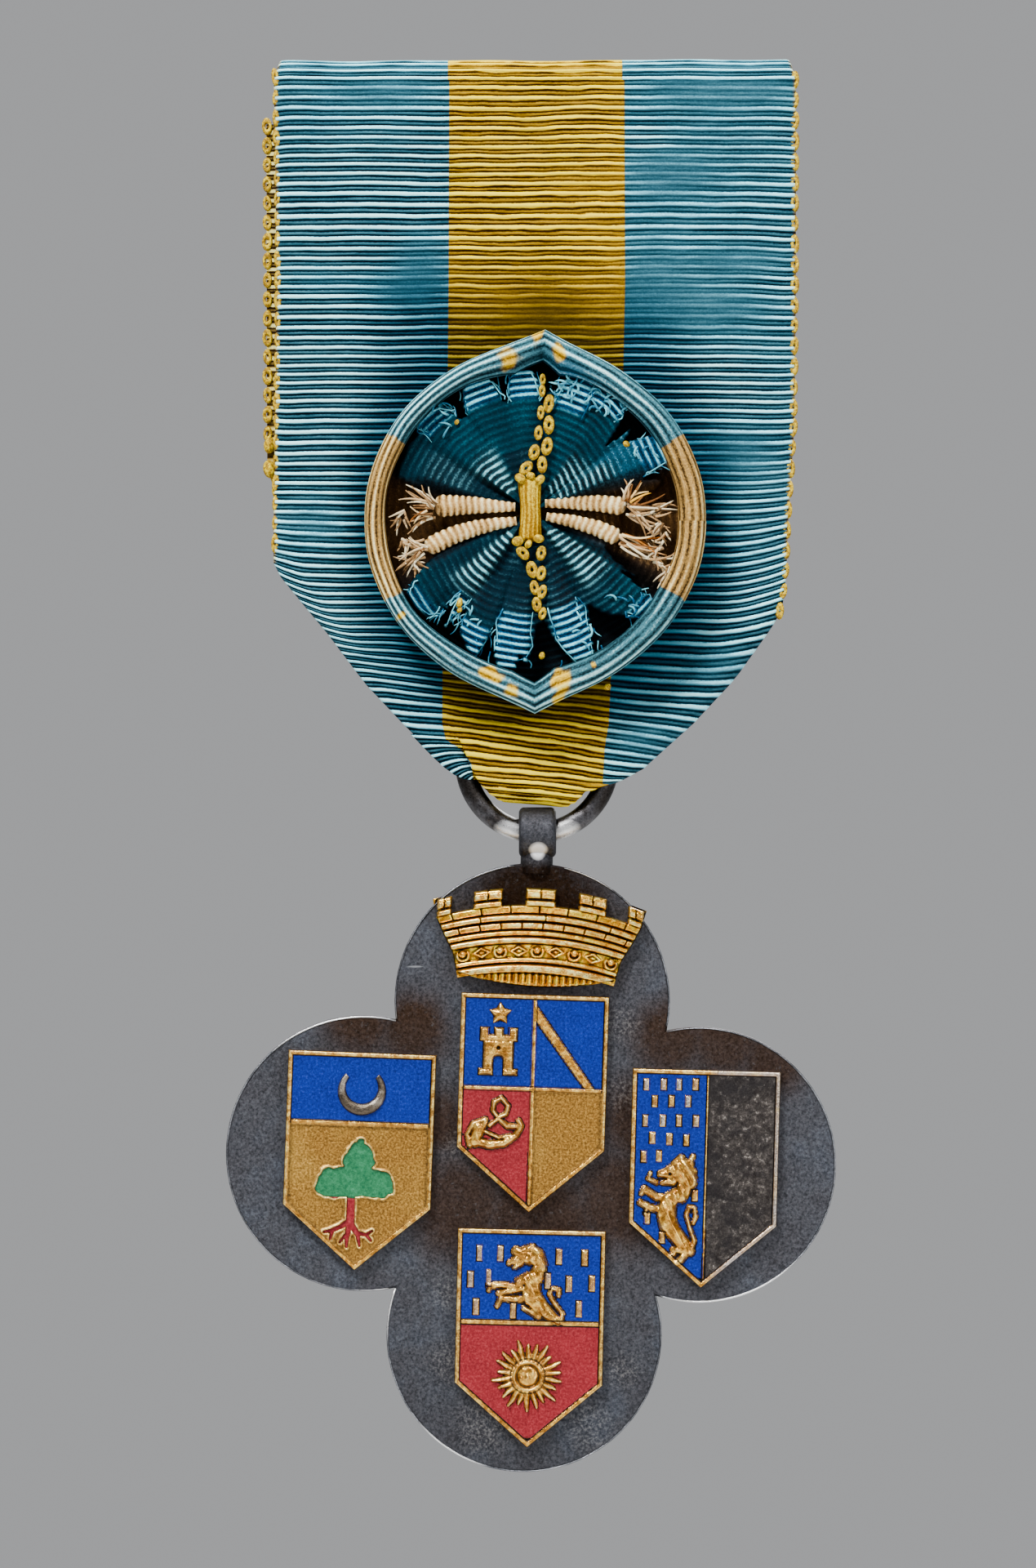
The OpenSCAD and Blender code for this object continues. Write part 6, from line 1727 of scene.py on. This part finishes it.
class Shield:
    """Gilt face of a shield, at first its frame: a grid of heights with shares of painted shade (dark), matte
    and wear.
    """

    def __init__(self, seed):
        z = np.linspace(0, -SHIELD_H + 0.06, round(SHIELD_H / STEP))[:, None]
        self.x = np.linspace(-1, 1, round(2 * HALF_W / STEP)) * half_width(z)
        self.z = np.broadcast_to(z, self.x.shape)
        self.d = from_edge(self.x, self.z)
        self.dark, self.matte, self.worn = [np.zeros_like(self.x) for _ in range(3)]
        line = plateau(LINE - self.d + 0.02, FRAME - FLOOR, 0.07) * (self.d < LINE + 0.1)
        edge = plateau(self.d + 0.02, FRAME, 0.10)
        high = np.where(self.d < LINE, np.minimum(FLOOR + line, edge), FLOOR)
        self.high = high + 0.012 * ripple(self.x, self.z, seed, 1.2) * (self.d < LINE)
        self.shadow_step(LINE - self.d, 0.10, GLASS + 0.05)

    def shadow_step(self, inside, wide=0.12, level=GLASS + 0.02):
        """A narrow step round a raised form, painted dark as its shadow."""
        on = (inside <= 0) & (inside > -wide)
        self.dark = np.where(on & (self.high < level + 0.05), 1.0, self.dark)
        self.high = np.where(on, np.maximum(self.high, level), self.high)

    def lift(self, inside, form, *shadow_step):
        """Raises a form where its inside is above 0, with a step round it that is painted dark as shadow."""
        self.high = np.maximum(self.high, np.where(inside > 0, form, 0))
        self.shadow_step(inside, *shadow_step)

    def wall(self, *box):
        """A dividing line between two cells, with painted shadow along its edges."""
        inside = np.where(self.d > LINE - 0.05, box_in(self.x, self.z, *box), -9)
        self.lift(inside, FLOOR + plateau(inside, FRAME - FLOOR - 0.02, 0.07), 0.10, GLASS + 0.05)

    def bars(self, table, wide, tall):
        """The small bars, some of them worn down to silver."""
        inside = np.full_like(self.x, -9.0)
        for x, z, wear in table:
            d = box_in(self.x, self.z, x - wide / 2, x + wide / 2, z - tall / 2, z + tall / 2)
            worn = wear * np.clip((d + 0.02) / 0.1, 0, 1)
            self.worn = np.where(d > -0.01, worn, self.worn)
            inside = np.maximum(inside, d)
        bar = np.where(inside > -0.01, FLOOR + plateau(inside + 0.01, 0.36, 0.09), 0)
        self.high = np.maximum(self.high, bar)
        self.shadow_step(inside, 0.10)

    def lion(self, strokes, seed, size):
        """A lion, with tufts and muscles as short waves over its limbs."""
        form, inside = limbs(self.x, self.z, strokes, rise=0.58, least=0.13)
        wave = np.sin(9 * self.x + 5.5 * self.z + 2.2 * ripple(self.x, self.z, seed, 0.9)) * 0.8
        wave = wave + 0.9 * ripple(self.x, self.z, seed + 1, 0.30)
        self.lift(inside, form + size * wave * np.clip(inside / 0.2, 0, 1))

    def gild(self, field, rough, keep_dark):
        """A matte gold field, a little uneven."""
        self.high = np.where(field, np.maximum(self.high, FIELD + rough), self.high)
        self.matte = np.where(field, 1.0, self.matte)
        self.dark = np.where(field, keep_dark * self.dark, self.dark)


def gate_tower(x, z):
    """How far inside the gate tower a point lies, and the depth of its courses and of its window."""
    tower = np.full_like(x, -9.0)
    for half, foot, head in TOWER:
        tower = np.maximum(tower, box_in(x, z, -half, half, foot, head))
    for middle in TOWER_MERLONS:
        half, foot, head = TOWER_MERLON
        tower = np.maximum(tower, box_in(x, z, middle - half, middle + half, foot, head))
    arch = GATE_HALF - np.hypot(x, z - GATE_ARCH_Z)
    gate = np.maximum(np.minimum(GATE_HALF - np.abs(x), GATE_ARCH_Z - z), arch)
    course = (z - TOWER_FOOT) / STONE_H
    upright = (x + 0.25 * (np.floor(course) % 2)) / STONE_W
    stones = 0.035 * ((np.abs(course % 1 - 0.5) > 0.42) | (np.abs(upright % 1 - 0.5) > 0.44))
    window = plateau(WINDOW_R - np.hypot(x, z - WINDOW_Z), 0.2, 0.1)
    # The gate ends just below the foot, so the dark step runs on under it
    return np.minimum(tower, np.where(z > TOWER_FOOT - 0.05, -gate, FAR)), stones + window


def star_reach(x, z):
    """Distance from the star's middle to its outline in the direction of each point."""
    fifth = math.pi / 5
    part = np.abs((np.arctan2(x, z) + fifth) % (2 * fifth) - fifth)
    slope = STAR_IN * np.sin(fifth - part) + STAR_R * np.sin(part) + 1e-9
    return STAR_R * STAR_IN * math.sin(fifth) / slope


def centre_shield():
    """Quartered: star and gate tower, slanting band, horn, plain gold."""
    s = Shield(101)
    x, z = s.x, s.z
    s.wall(-BAR_W / 2, BAR_W / 2, -FAR, FAR)
    s.wall(-FAR, FAR, QUARTER_Z - BAR_W / 2, QUARTER_Z + BAR_W / 2)
    field = (x > BAR_W / 2) & (z < QUARTER_Z - BAR_W / 2) & (s.d > LINE)
    s.gild(field, 0.012 * ripple(x, z, 102, 0.5), 0.3)
    lower, upper = [(dx * (z - z0) - dz * x) / math.hypot(dx, dz) for z0, dx, dz in BAND_SIDES]
    band = np.minimum(np.minimum(lower, -upper), box_in(x, z, 0.0, 5.0, QUARTER_Z, 0))
    s.lift(band, FLOOR + plateau(band, 0.40, 0.12))
    sx, sz = x - STAR_AT[0], z - STAR_AT[1]
    r, reach = np.hypot(sx, sz), star_reach(sx, sz)
    star = np.clip(1 - r / reach, 0, 1)
    s.high = np.maximum(s.high, np.where(star > 0, 0.74 + 0.30 * star ** 0.6, 0))
    s.shadow_step(reach - r)
    tower, sunk = gate_tower(x - TOWER_X, z)
    s.lift(tower, FLOOR + plateau(tower, 0.46, 0.12) + 0.06 * np.cos((x - TOWER_X) * 1.2) - sunk)
    horn, inside = limbs(x, z, HORN, rise=0.62, least=0.18)
    s.lift(inside, horn + 0.025 * np.sin(x * 13 + z * 3) * (z < -10.1))
    return s


def left_shield():
    """Crescent on blue, over a tree in sunk cells on gold, its edge a little uneven, like leaves."""
    s = Shield(111)
    x, z = s.x, s.z
    field = (z < CHIEF_Z - 0.15) & (s.d > LINE)
    s.wall(-FAR, FAR, CHIEF_Z - 0.15, CHIEF_Z + 0.12)
    leaves = limbs(x, z, TREE, 0.55, 0.10)[1] + 0.07 * ripple(x, z, 113, 0.32)
    shape = np.maximum(leaves, limbs(x, z, ROOTS, 0.55, 0.10)[1])
    # A raised line round the tree and its roots, and the sunk cell inside it, painted dark as shade along its
    # edge
    line = 0.016 * ripple(x, z, 112, 0.40) + 0.15 * peak(shape + 0.07, 0.075)
    s.gild(field, np.where(shape > 0.03, FLOOR - FIELD, line), 0.35)
    s.dark = np.where(field & (shape > 0.0) & (shape < 0.04), 1.0, s.dark)
    s.matte = s.matte * (1 - 0.8 * peak(shape + 0.06, 0.09))
    return s


def right_shield():
    """Bars and a lion on blue beside the silver half, whose frame is worn down to silver."""
    s = Shield(121)
    x, z = s.x, s.z
    s.wall(HALF_X - 0.03, HALF_X + 0.09, -FAR, FAR)
    s.bars(BARS_RIGHT, 0.36, 0.78)
    mane = np.clip(1.3 - np.hypot((x + 1.3) / 1.0, (z + 7.7) / 1.4), 0, 1)
    s.lion(LION_RIGHT, 122, 0.060 + 0.045 * mane)
    # The lion's eye: sunk, and painted dark as shade
    eye = np.hypot(x + 2.43, z + 7.42) < 0.13
    s.high = s.high - 0.14 * eye
    s.dark = np.where(eye, 1.0, s.dark)
    silvered = np.clip((x - 0.2) / 0.9, 0, 1) * np.clip(0.8 + 0.3 * ripple(x, z, 124, 0.8), 0, 1)
    s.worn = np.maximum(s.worn, silvered * (s.d < LINE + 0.02))
    return s


def bottom_shield():
    """Bars and a half lion on blue, over a sun with narrow rays round a ringed face on red."""
    s = Shield(131)
    s.wall(-FAR, FAR, LOW_Z - BAR_W / 2, LOW_Z + BAR_W / 2)
    s.bars(BARS_LOW, 0.38, 1.10)
    s.lion(LION_LOW, 132, 0.065)
    x, z = s.x - SUN_AT[0], s.z - SUN_AT[1]
    r, turn = np.hypot(x, z), np.arctan2(z, x) / (2 * math.pi) * SUN_RAYS
    number = np.floor(turn) % SUN_RAYS
    reach = SUN_REACH + 0.24 * np.sin(number * 2.4)
    bend = 0.05 * np.sin(r * 3.5 + 2.1 * number) + 0.05 * np.sin(number * 1.7)
    beside = np.abs(turn % 1.0 - 0.5 + bend) * 2 * math.pi / SUN_RAYS * r
    wide = 0.235 * np.clip((reach - r) / (reach - 1.1), 0, 1) ** 0.4
    inside = np.where(r < reach, (wide - beside) * np.clip((r - 0.8) / 0.3, 0, 1), -9)
    s.lift(inside, 0.74 + 0.26 * np.clip(inside / np.maximum(wide, 0.01), 0, 1) ** 0.6, 0.08)
    bulge = 0.74 + 0.16 * np.sqrt(np.clip(1 - (r / SUN_R) ** 2, 0, 1)) ** 0.6
    ring = 0.20 * peak(r - 1.00, 0.11) - 0.10 * peak(r - 0.76, 0.07)
    face = sum(1.35 * high * np.exp(-((x - fx) ** 2 + (z - fz) ** 2) / fr ** 2)
               for fx, fz, fr, high in SUN_FACE)
    s.high = np.maximum(s.high, np.where(r < SUN_R, bulge + ring + face, 0))
    # Painted shade in the groove round the sun's face and in a thin ring along its disc's edge
    s.dark = np.where(r < SUN_R, 0.75 * peak(r - 0.76, 0.07), s.dark)
    s.dark = np.where(np.abs(r - 1.24) < 0.05, 0.9, s.dark)
    return s


def glass(name, sides, material, level, seed):
    """A slab of enamel that fills a cell: slightly raised at its rims, faintly uneven."""
    x_left, x_right, z_low, z_high = sides
    step = 0.19
    z = np.linspace(z_high, z_low, max(3, round((z_high - z_low) / step)))[:, None]
    inner = half_width(z, LINE - 0.03)
    left, right = np.maximum(x_left, -inner), np.minimum(x_right, inner)
    right = np.maximum(right, left + 0.02)
    x = left + (right - left) * np.linspace(0, 1, max(3, round((x_right - x_left) / step)))
    z = np.broadcast_to(z, x.shape)
    rim = box_in(x, z, left, right, z_low, z_high)
    high = level + 0.035 * np.exp(-rim / 0.12) + 0.012 * ripple(x, z, seed, 1.1)
    return relief(name, name.split("_")[0], x, z, high, material, low=0.30)


# Crescent: across, up and radius of its outer and of its inner circle
MOON_OUTER, MOON_INNER = (0.06, -2.75, 1.74), (0.05, -2.47, 1.12)


def moon_piece():
    """The crescent: a dull silver sickle, domed, with its horns upwards."""
    (mx, mz, outer), (hx, hz, hole) = MOON_OUTER, MOON_INNER
    turn = np.linspace(math.radians(-226), math.radians(46), 120)[:, None]
    dx, dz = np.cos(turn), np.sin(turn)
    ox, oz = mx - hx, mz - hz
    b = ox * dx + oz * dz
    inner = np.minimum(-b + np.sqrt(np.maximum(b * b - (ox * ox + oz * oz - hole * hole), 0)), outer - 0.05)
    u = np.linspace(0, 1, 25)
    r = inner + (outer - inner) * u
    x, z = mx + r * dx, mz + r * dz
    thick = np.clip((outer - inner) / 1.1, 0, 1)
    high = 0.52 + (0.28 + 0.26 * thick) * np.sqrt(np.clip(1 - (2 * u - 1) ** 2, 0, 1)) ** 0.7
    return relief("crescent_silver", "left", x, z, high + 0.02 * ripple(x, z, 141, 0.5), MOON, low=0.3)


# Crown, from the middle of its foot: height on its arch, half width there
CROWN_SIDES = ((-1, 5.30), (-0.7, 5.30), (0, 5.46), (2.23, 5.99), (3.93, 6.81), (5.05, 7.28), (6.5, 7.62))
# Mouldings and courses: foot, head, how proud, soft edge
COURSES = ((0.30, 0.90, 0.50, 0.16), (1.05, 1.37, 0.34, 0.1), (2.40, 2.82, 0.48, 0.12),
           (2.95, 3.28, 0.28, 0.1), (3.44, 3.86, 0.34, 0.07), (4.00, 4.42, 0.48, 0.12),
           (4.55, 5.06, 0.26, 0.07))
# Upright joints: foot, head, number, shift, depth. Gaps between the courses: foot, head. Both are painted
# dark as shade
JOINTS = ((3.44, 3.86, 9, 0.3, 0.24), (4.55, 5.06, 7, 0.5, 0.2), (4.00, 4.42, 3, 0.4, 0.16))
DARK_GAPS = ((0.9, 1.05), (2.82, 2.95), (3.30, 3.44), (3.86, 4.0), (4.42, 4.55))
# Faces with a painted highlight: foot, head, how bright. The band under the bricks and the top course stay
# deeper gold
LIT_FACES = ((0.36, 0.86, 0.9), (1.08, 1.34, 0.8), (1.45, 2.30, 0.80), (2.44, 2.80, 1.0), (3.48, 3.84, 0.95),
              (4.04, 4.40, 1.0))
# Merlons: middle across, half width, height of the head. Each has two courses: foot, head
MERLONS = ((-6.75, 0.50, 1.30), (-3.68, 1.00, 1.27), (0.05, 1.05, 1.27), (3.75, 0.97, 1.27),
           (6.85, 0.54, 1.30))
MERLON_COURSES = ((0.02, 0.42), (0.60, 1.08))
MERLON_FOOT = 5.0
JEWELS = 9
# Lowest and highest point, and how an arch over the crown falls off: across squared, divided by this
CROWN_LOW, CROWN_TOP, ARCH = -0.72, 6.42, 44
# Fluted foot: its head, its half width, the rise of its lower outline, turns of its flutes in radians
FOOT_TOP, FOOT_HALF, FOOT_RISE, FLUTES = 0.35, 5.3, 0.68, 34.5


def crown_jewels(f, v, half):
    """Long lozenges with a raised rim, by turns with a pearl in a loop: their height, and grooves to be
    painted dark as shade.
    """
    t = (f + 1) / 2 * JEWELS
    odd, s = np.floor(t) % 2 == 1, (t % 1 - 0.5) * 2 * half / JEWELS
    dv = v - 1.88 + 0.05 * ripple(f * half, v, 152, 2.0)
    lozenge = np.abs(s) / 0.70 + np.abs(dv) / 0.40
    stone = 0.30 * peak(lozenge - 0.78, 0.20) + 0.22 * np.clip(1 - lozenge / 0.42, 0, 1)
    away, loop = np.hypot(s, dv - 0.08), np.hypot(s, dv + 0.02)
    pearl = 0.36 * np.sqrt(np.clip(1 - (away / 0.26) ** 2, 0, 1))
    pearl = pearl + 0.28 * peak(loop - 0.40, 0.09) * (dv < 0.2)
    in_band = np.clip((v - 1.38) / 0.06, 0, 1) * np.clip((2.38 - v) / 0.06, 0, 1)
    ringed = peak(lozenge - 1.14, 0.13) + peak(lozenge - 0.50, 0.11)
    looped = peak(loop - 0.56, 0.08) + 0.7 * peak(away - 0.29, 0.05)
    return (0.10 + np.where(odd, stone, pearl)) * in_band, 0.75 * in_band * np.where(odd, ringed, looped)


def crown_merlons(x, v, bow, lit, cut):
    """Merlons of two courses each: their height, -9 in the gaps between, and the shares of painted highlight
    (lit) and of cuts painted dark as shade (cut).
    """
    lift = np.full_like(x, -9.0)
    w = v - MERLON_FOOT
    for middle, wide, tall in MERLONS:
        side = wide - np.abs(x - middle)
        d = np.minimum(side, tall - w)
        high = 0.62 + bow + 0.22 * np.clip(d / 0.1, 0, 1)
        for low, top in MERLON_COURSES:
            e = np.minimum(np.minimum(w - low, top - w), side + 0.02)
            lit = np.maximum(lit, np.clip((e - 0.06) / 0.08, 0, 1) * (d > 0))
            high = high + np.where(e > 0, 0.26 * dome(e / 0.08), 0)
        (_, joint), (upper, head) = MERLON_COURSES
        split = (np.abs(np.abs(x - middle) - 0.02) < 0.045) & (w > upper)
        high = high - 0.18 * (split & (w < head))
        cut = np.maximum(cut, 0.3 * ((d > 0) & (((w > joint) & (w < upper)) | split)))
        lift = np.where(d > 0, np.maximum(lift, high), lift)
    return lift, lit, cut


def crown_piece():
    """The mural crown: courses of masonry on an arch, a jewelled band, five merlons and a fluted foot."""
    v = np.linspace(CROWN_LOW, CROWN_TOP, 132)
    f = np.linspace(-1, 1, 262)
    half = np.interp(v, *np.transpose(CROWN_SIDES))[:, None]
    x = f * half
    v = np.broadcast_to(v[:, None], x.shape)
    arch = x * x / ARCH
    # The foot's lower outline rises to the sides, against the arch
    foot = FOOT_RISE * ((x / FOOT_HALF) ** 2 - 1)
    up = (v - CROWN_LOW) / (FOOT_TOP - CROWN_LOW)
    z = np.where(v < FOOT_TOP, foot + (FOOT_TOP - arch - foot) * up, v - arch)
    bow = 0.45 * (1 - f * f)
    flutes = np.abs(np.cos(x / FOOT_HALF * FLUTES)) ** 0.7 * np.clip((0.32 - v) / 0.1, 0, 1)
    high = np.where(v < 0.32, 0.42 + bow * 0.8 + 0.24 * flutes, 0.55 + bow)
    for low, top, proud, soft in COURSES:
        high = high + proud * dome(np.minimum(v - low, top - v) / soft)
    cut = np.zeros_like(x)
    for low, top, number, shift, depth in JOINTS:
        near = np.abs(((f + 1) / 2 * number + shift) % 1 - 0.5) - 0.5 + 0.0045 * number
        cut = cut + np.where((v > low) & (v < top), depth * np.clip(near / 0.012, 0, 1), 0)
    jewels, groove = crown_jewels(f, v, half)
    high = high - cut + jewels
    lit = np.zeros_like(x)
    for low, top, much in LIT_FACES:
        lit = np.maximum(lit, much * np.clip(np.minimum(v - low - 0.06, top - v) / 0.09, 0, 1))
    lift, lit, cut = crown_merlons(x, v, bow, lit, cut)
    high = np.where(v > 5.10, np.where(lift > -5, lift, -0.15), high)
    rim = np.minimum(half - np.abs(x), z - foot)
    high = np.where(rim < 0.06, np.minimum(high, 0.45), high) + 0.012 * ripple(x, v, 151, 0.6)
    # Painted shade in the joints, the gaps between the courses and the jewels' grooves; painted highlight on
    # the lit faces
    gaps = np.any([(v > low) & (v < top) for low, top in DARK_GAPS], axis=0)
    dark = np.maximum(0.9 * (cut > 0.05) + 0.85 * gaps, np.where(groove > 0.3, groove, 0))
    lit = lit * np.clip(0.92 + 0.6 * ripple(x, v * 1.5, 153, 0.9), 0, 1) * (cut < 0.03)
    return relief("crown_gilt", "crown", x, z, high, CROWN, dark=np.minimum(dark, 1), lit=lit,
                  hollow_scale=0.13, edges=0.35)


def make_badge():
    """The reliefs and enamels of the badge, each with the nodes that it stands for and its slot."""
    made = []
    for name, shield in (("centre", centre_shield()), ("left", left_shield()), ("right", right_shield()),
                         ("bottom", bottom_shield())):
        gilt = relief("shield_" + name + "_gilt", name, shield.x, shield.z, shield.high, GILT,
                      matte=shield.matte, wear=shield.worn, dark=shield.dark)
        made.append((gilt, ["shield_" + name], "gilt"))
    made.append((crown_piece(), ["crown"], "gilt"))
    # Sides of the cells: behind the frame, beside a dividing line, and down to the point
    wide, high, beside, low = HALF_W - LINE + 0.03, 0.03 - LINE, BAR_W / 2 - 0.03, 0.7 - SHIELD_H
    blue = join("centre_blue_glass", [
        glass("centre_q1", (-wide, -beside, QUARTER_Z + beside, high), BLUE, GLASS, 1),
        glass("centre_q2", (beside, wide, QUARTER_Z + beside, high), BLUE, GLASS, 2)])
    made.append((blue, ["centre_blue"], "blue_enamel"))
    # Cells: name, left, right, lower and upper side, enamel, its level, slot
    cells = (
        ("centre_red_glass", (-wide, -beside, low, QUARTER_Z - beside), RED, GLASS, "red_enamel"),
        ("left_blue_glass", (-wide, wide, CHIEF_Z + 0.1, high), BLUE, GLASS, "blue_enamel"),
        ("left_green_glass", (-3.15, 2.75, -10.35, -5.95), GREEN, 0.625, "green_enamel"),
        ("left_red_glass", (-2.4, 1.35, -14.0, -10.30), RED, 0.615, "red_enamel"),
        ("right_blue_glass", (-wide, HALF_X, low, high), BLUE, GLASS, "blue_enamel"),
        ("right_silver_half", (HALF_X + 0.06, wide, low, high), DULL, GLASS, "dull_silver"),
        ("bottom_blue_glass", (-wide, wide, LOW_Z + beside, high), BLUE, GLASS, "blue_enamel"),
        ("bottom_red_glass", (-wide, wide, low, LOW_Z - beside), RED, GLASS, "red_enamel"),
    )
    for seed, (name, sides, material, level, slot) in enumerate(cells, 3):
        made.append((glass(name, sides, material, level, seed), [name.rsplit("_", 1)[0]], slot))
    made.append((moon_piece(), ["left_crescent"], "dull_silver"))
    return made


# Lobes of the plate, from the swing axis: across, up
LOBES = np.array([(-0.04, -11.96), (0.04, -35.61), (-11.70, -23.11), (12.07, -23.25)])
LOBE_R = 9.77


def plate_edge():
    """A painted highlight: the lighter line along the front edge of the plate."""
    routes = []
    for k, middle in enumerate(LOBES):
        run = []
        for turn in np.radians(np.arange(0, 723, 3)):
            x, z = middle + (LOBE_R - 0.07) * np.array([math.cos(turn), math.sin(turn)])
            away = np.delete(np.hypot(*(LOBES - (x, z)).T), k)
            on_eye = abs(x) < 1.5 and z > -3.5
            if away.min() > LOBE_R and not on_eye and math.hypot(x, z + 23.6) > 6:
                run.append((x, z))
            else:
                routes += [run] if len(run) > 4 else []
                run = []
    # Each lobe was gone round twice, so whole arcs are there; the shorter or later twin of each is dropped
    kept = []
    for run in routes:
        twins = [other for other in kept if math.dist(run[len(run) // 2], other[len(other) // 2]) <= 2.0]
        if all(len(run) > len(twin) for twin in twins):
            kept = [other for other in kept if other not in twins] + [run]
    routes = [on_badge(np.array(run)[:, 0], -0.03, np.array(run)[:, 1], "plate") for run in kept]
    return strands("plate_edge_line", routes, 0.075, EDGE)


# Stage: a pale floor below the medal, soft lights, and the camera in front of it
FLOOR_Z, FLOOR_R, FLOOR_THICK = -115.0, 130.0, 2.0
ROOM_COLOUR, ROOM_LIGHT = (0.84, 0.85, 0.87, 1), 0.46
# Lamps: name, place in mm, size in mm, watts. All of them point at the middle of the medal
LAMPS = (("key", (-150, -300, 300), 120, 4.55), ("fill", (300, -300, 20), 240, 0.85),
         ("top", (30, -60, 330), 160, 1.6), ("rim", (120, 330, 140), 200, 1.4),
         ("front", (-20, -640, 60), 300, 0.62))
LAMPS_AT = Vector((0, 0, -45)) * MM
# Camera: distance from the ribbon's face, place across and up, height seen there, width of its sensor
VIEW_FAR, VIEW_X, VIEW_Z, VIEW_TALL, SENSOR = 600.0, -1.185, -45.45, 110.98, 36


def make_floor():
    """A round pale floor, a little uneven in its colour."""
    turns = np.radians(np.arange(0, 360, 4))
    n = len(turns)
    rim = np.stack([FLOOR_R * np.cos(turns), FLOOR_R * np.sin(turns), np.full(n, FLOOR_Z)], 1)
    faces = [list(range(n)), list(range(2 * n - 1, n - 1, -1))]
    faces += [[i, n + i, n + (i + 1) % n, (i + 1) % n] for i in range(n)]
    f = Finish("pale_floor", roughness=0.7)
    f.colour(f.ramp(f.grain(0.02, 2, 0.55), (0.3, (0.66, 0.66, 0.65)), (0.7, (0.70, 0.70, 0.69))))
    points = np.concatenate([rim, rim - (0, 0, FLOOR_THICK)])
    return outwards(new_piece("floor", points, faces, f.material, smooth=False))


def make_lights():
    """The soft light of a room, and the lamps."""
    world = bpy.context.scene.world or bpy.data.worlds.new("soft_room")
    bpy.context.scene.world = world
    world.use_nodes = True
    back = world.node_tree.nodes["Background"]
    back.inputs["Color"].default_value = ROOM_COLOUR
    back.inputs["Strength"].default_value = ROOM_LIGHT
    for name, place, size, watts in LAMPS:
        lamp = bpy.data.lights.new(name, "AREA")
        lamp.shape, lamp.size, lamp.energy = "DISK", size * MM, watts
        holder = bpy.data.objects.new(name, lamp)
        holder.location = Vector(place) * MM
        holder.rotation_euler = (LAMPS_AT - holder.location).to_track_quat("-Z", "Y").to_euler()
        bpy.context.scene.collection.objects.link(holder)


def make_camera():
    """A long lens straight in front of the medal."""
    view = bpy.data.cameras.new("camera")
    view.sensor_fit, view.sensor_width = "AUTO", SENSOR
    view.lens = SENSOR * VIEW_FAR / VIEW_TALL
    view.clip_start, view.clip_end = 0.01, 10
    camera = bpy.data.objects.new("camera", view)
    camera.location = Vector((VIEW_X, FACE_Y - VIEW_FAR, VIEW_Z)) * MM
    camera.rotation_euler = (math.pi / 2, 0, 0)
    bpy.context.scene.collection.objects.link(camera)
    bpy.context.scene.camera = camera


def finish_node(node, material):
    """Gives a CAD node that stays its finish."""
    piece = bpy.data.objects[node]
    for slot in piece.material_slots:
        slot.material = material
    if not piece.material_slots:
        piece.data.materials.append(material)


make_floor()
make_lights()
make_camera()

ribbon = make_ribbon()
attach(ribbon, "ribbon_body")
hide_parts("ribbon")

rim = make_rim()
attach(rim, "ribbon_body")
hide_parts("rosette_rim")

fan = make_fan()
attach(fan, "ribbon_body")
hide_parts("rosette_fan")

for piece in (make_tan_pleats(), make_blue_threads()):
    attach(piece, "ribbon_body")
for piece in (make_chain(), make_selvedge()):
    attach(piece, "ribbon_body")
band = make_binding()
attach(band, "ribbon_body")
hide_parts("rosette_binding")

for piece, nodes, slot in make_badge():
    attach(piece, "badge_body")
    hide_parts(*nodes)
edge = plate_edge()
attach(edge, "badge_body")
for node, material in (("badge_plate", PLATE), ("suspension_ring", RING), ("brooch_pin", PIN)):
    finish_node(node, material)
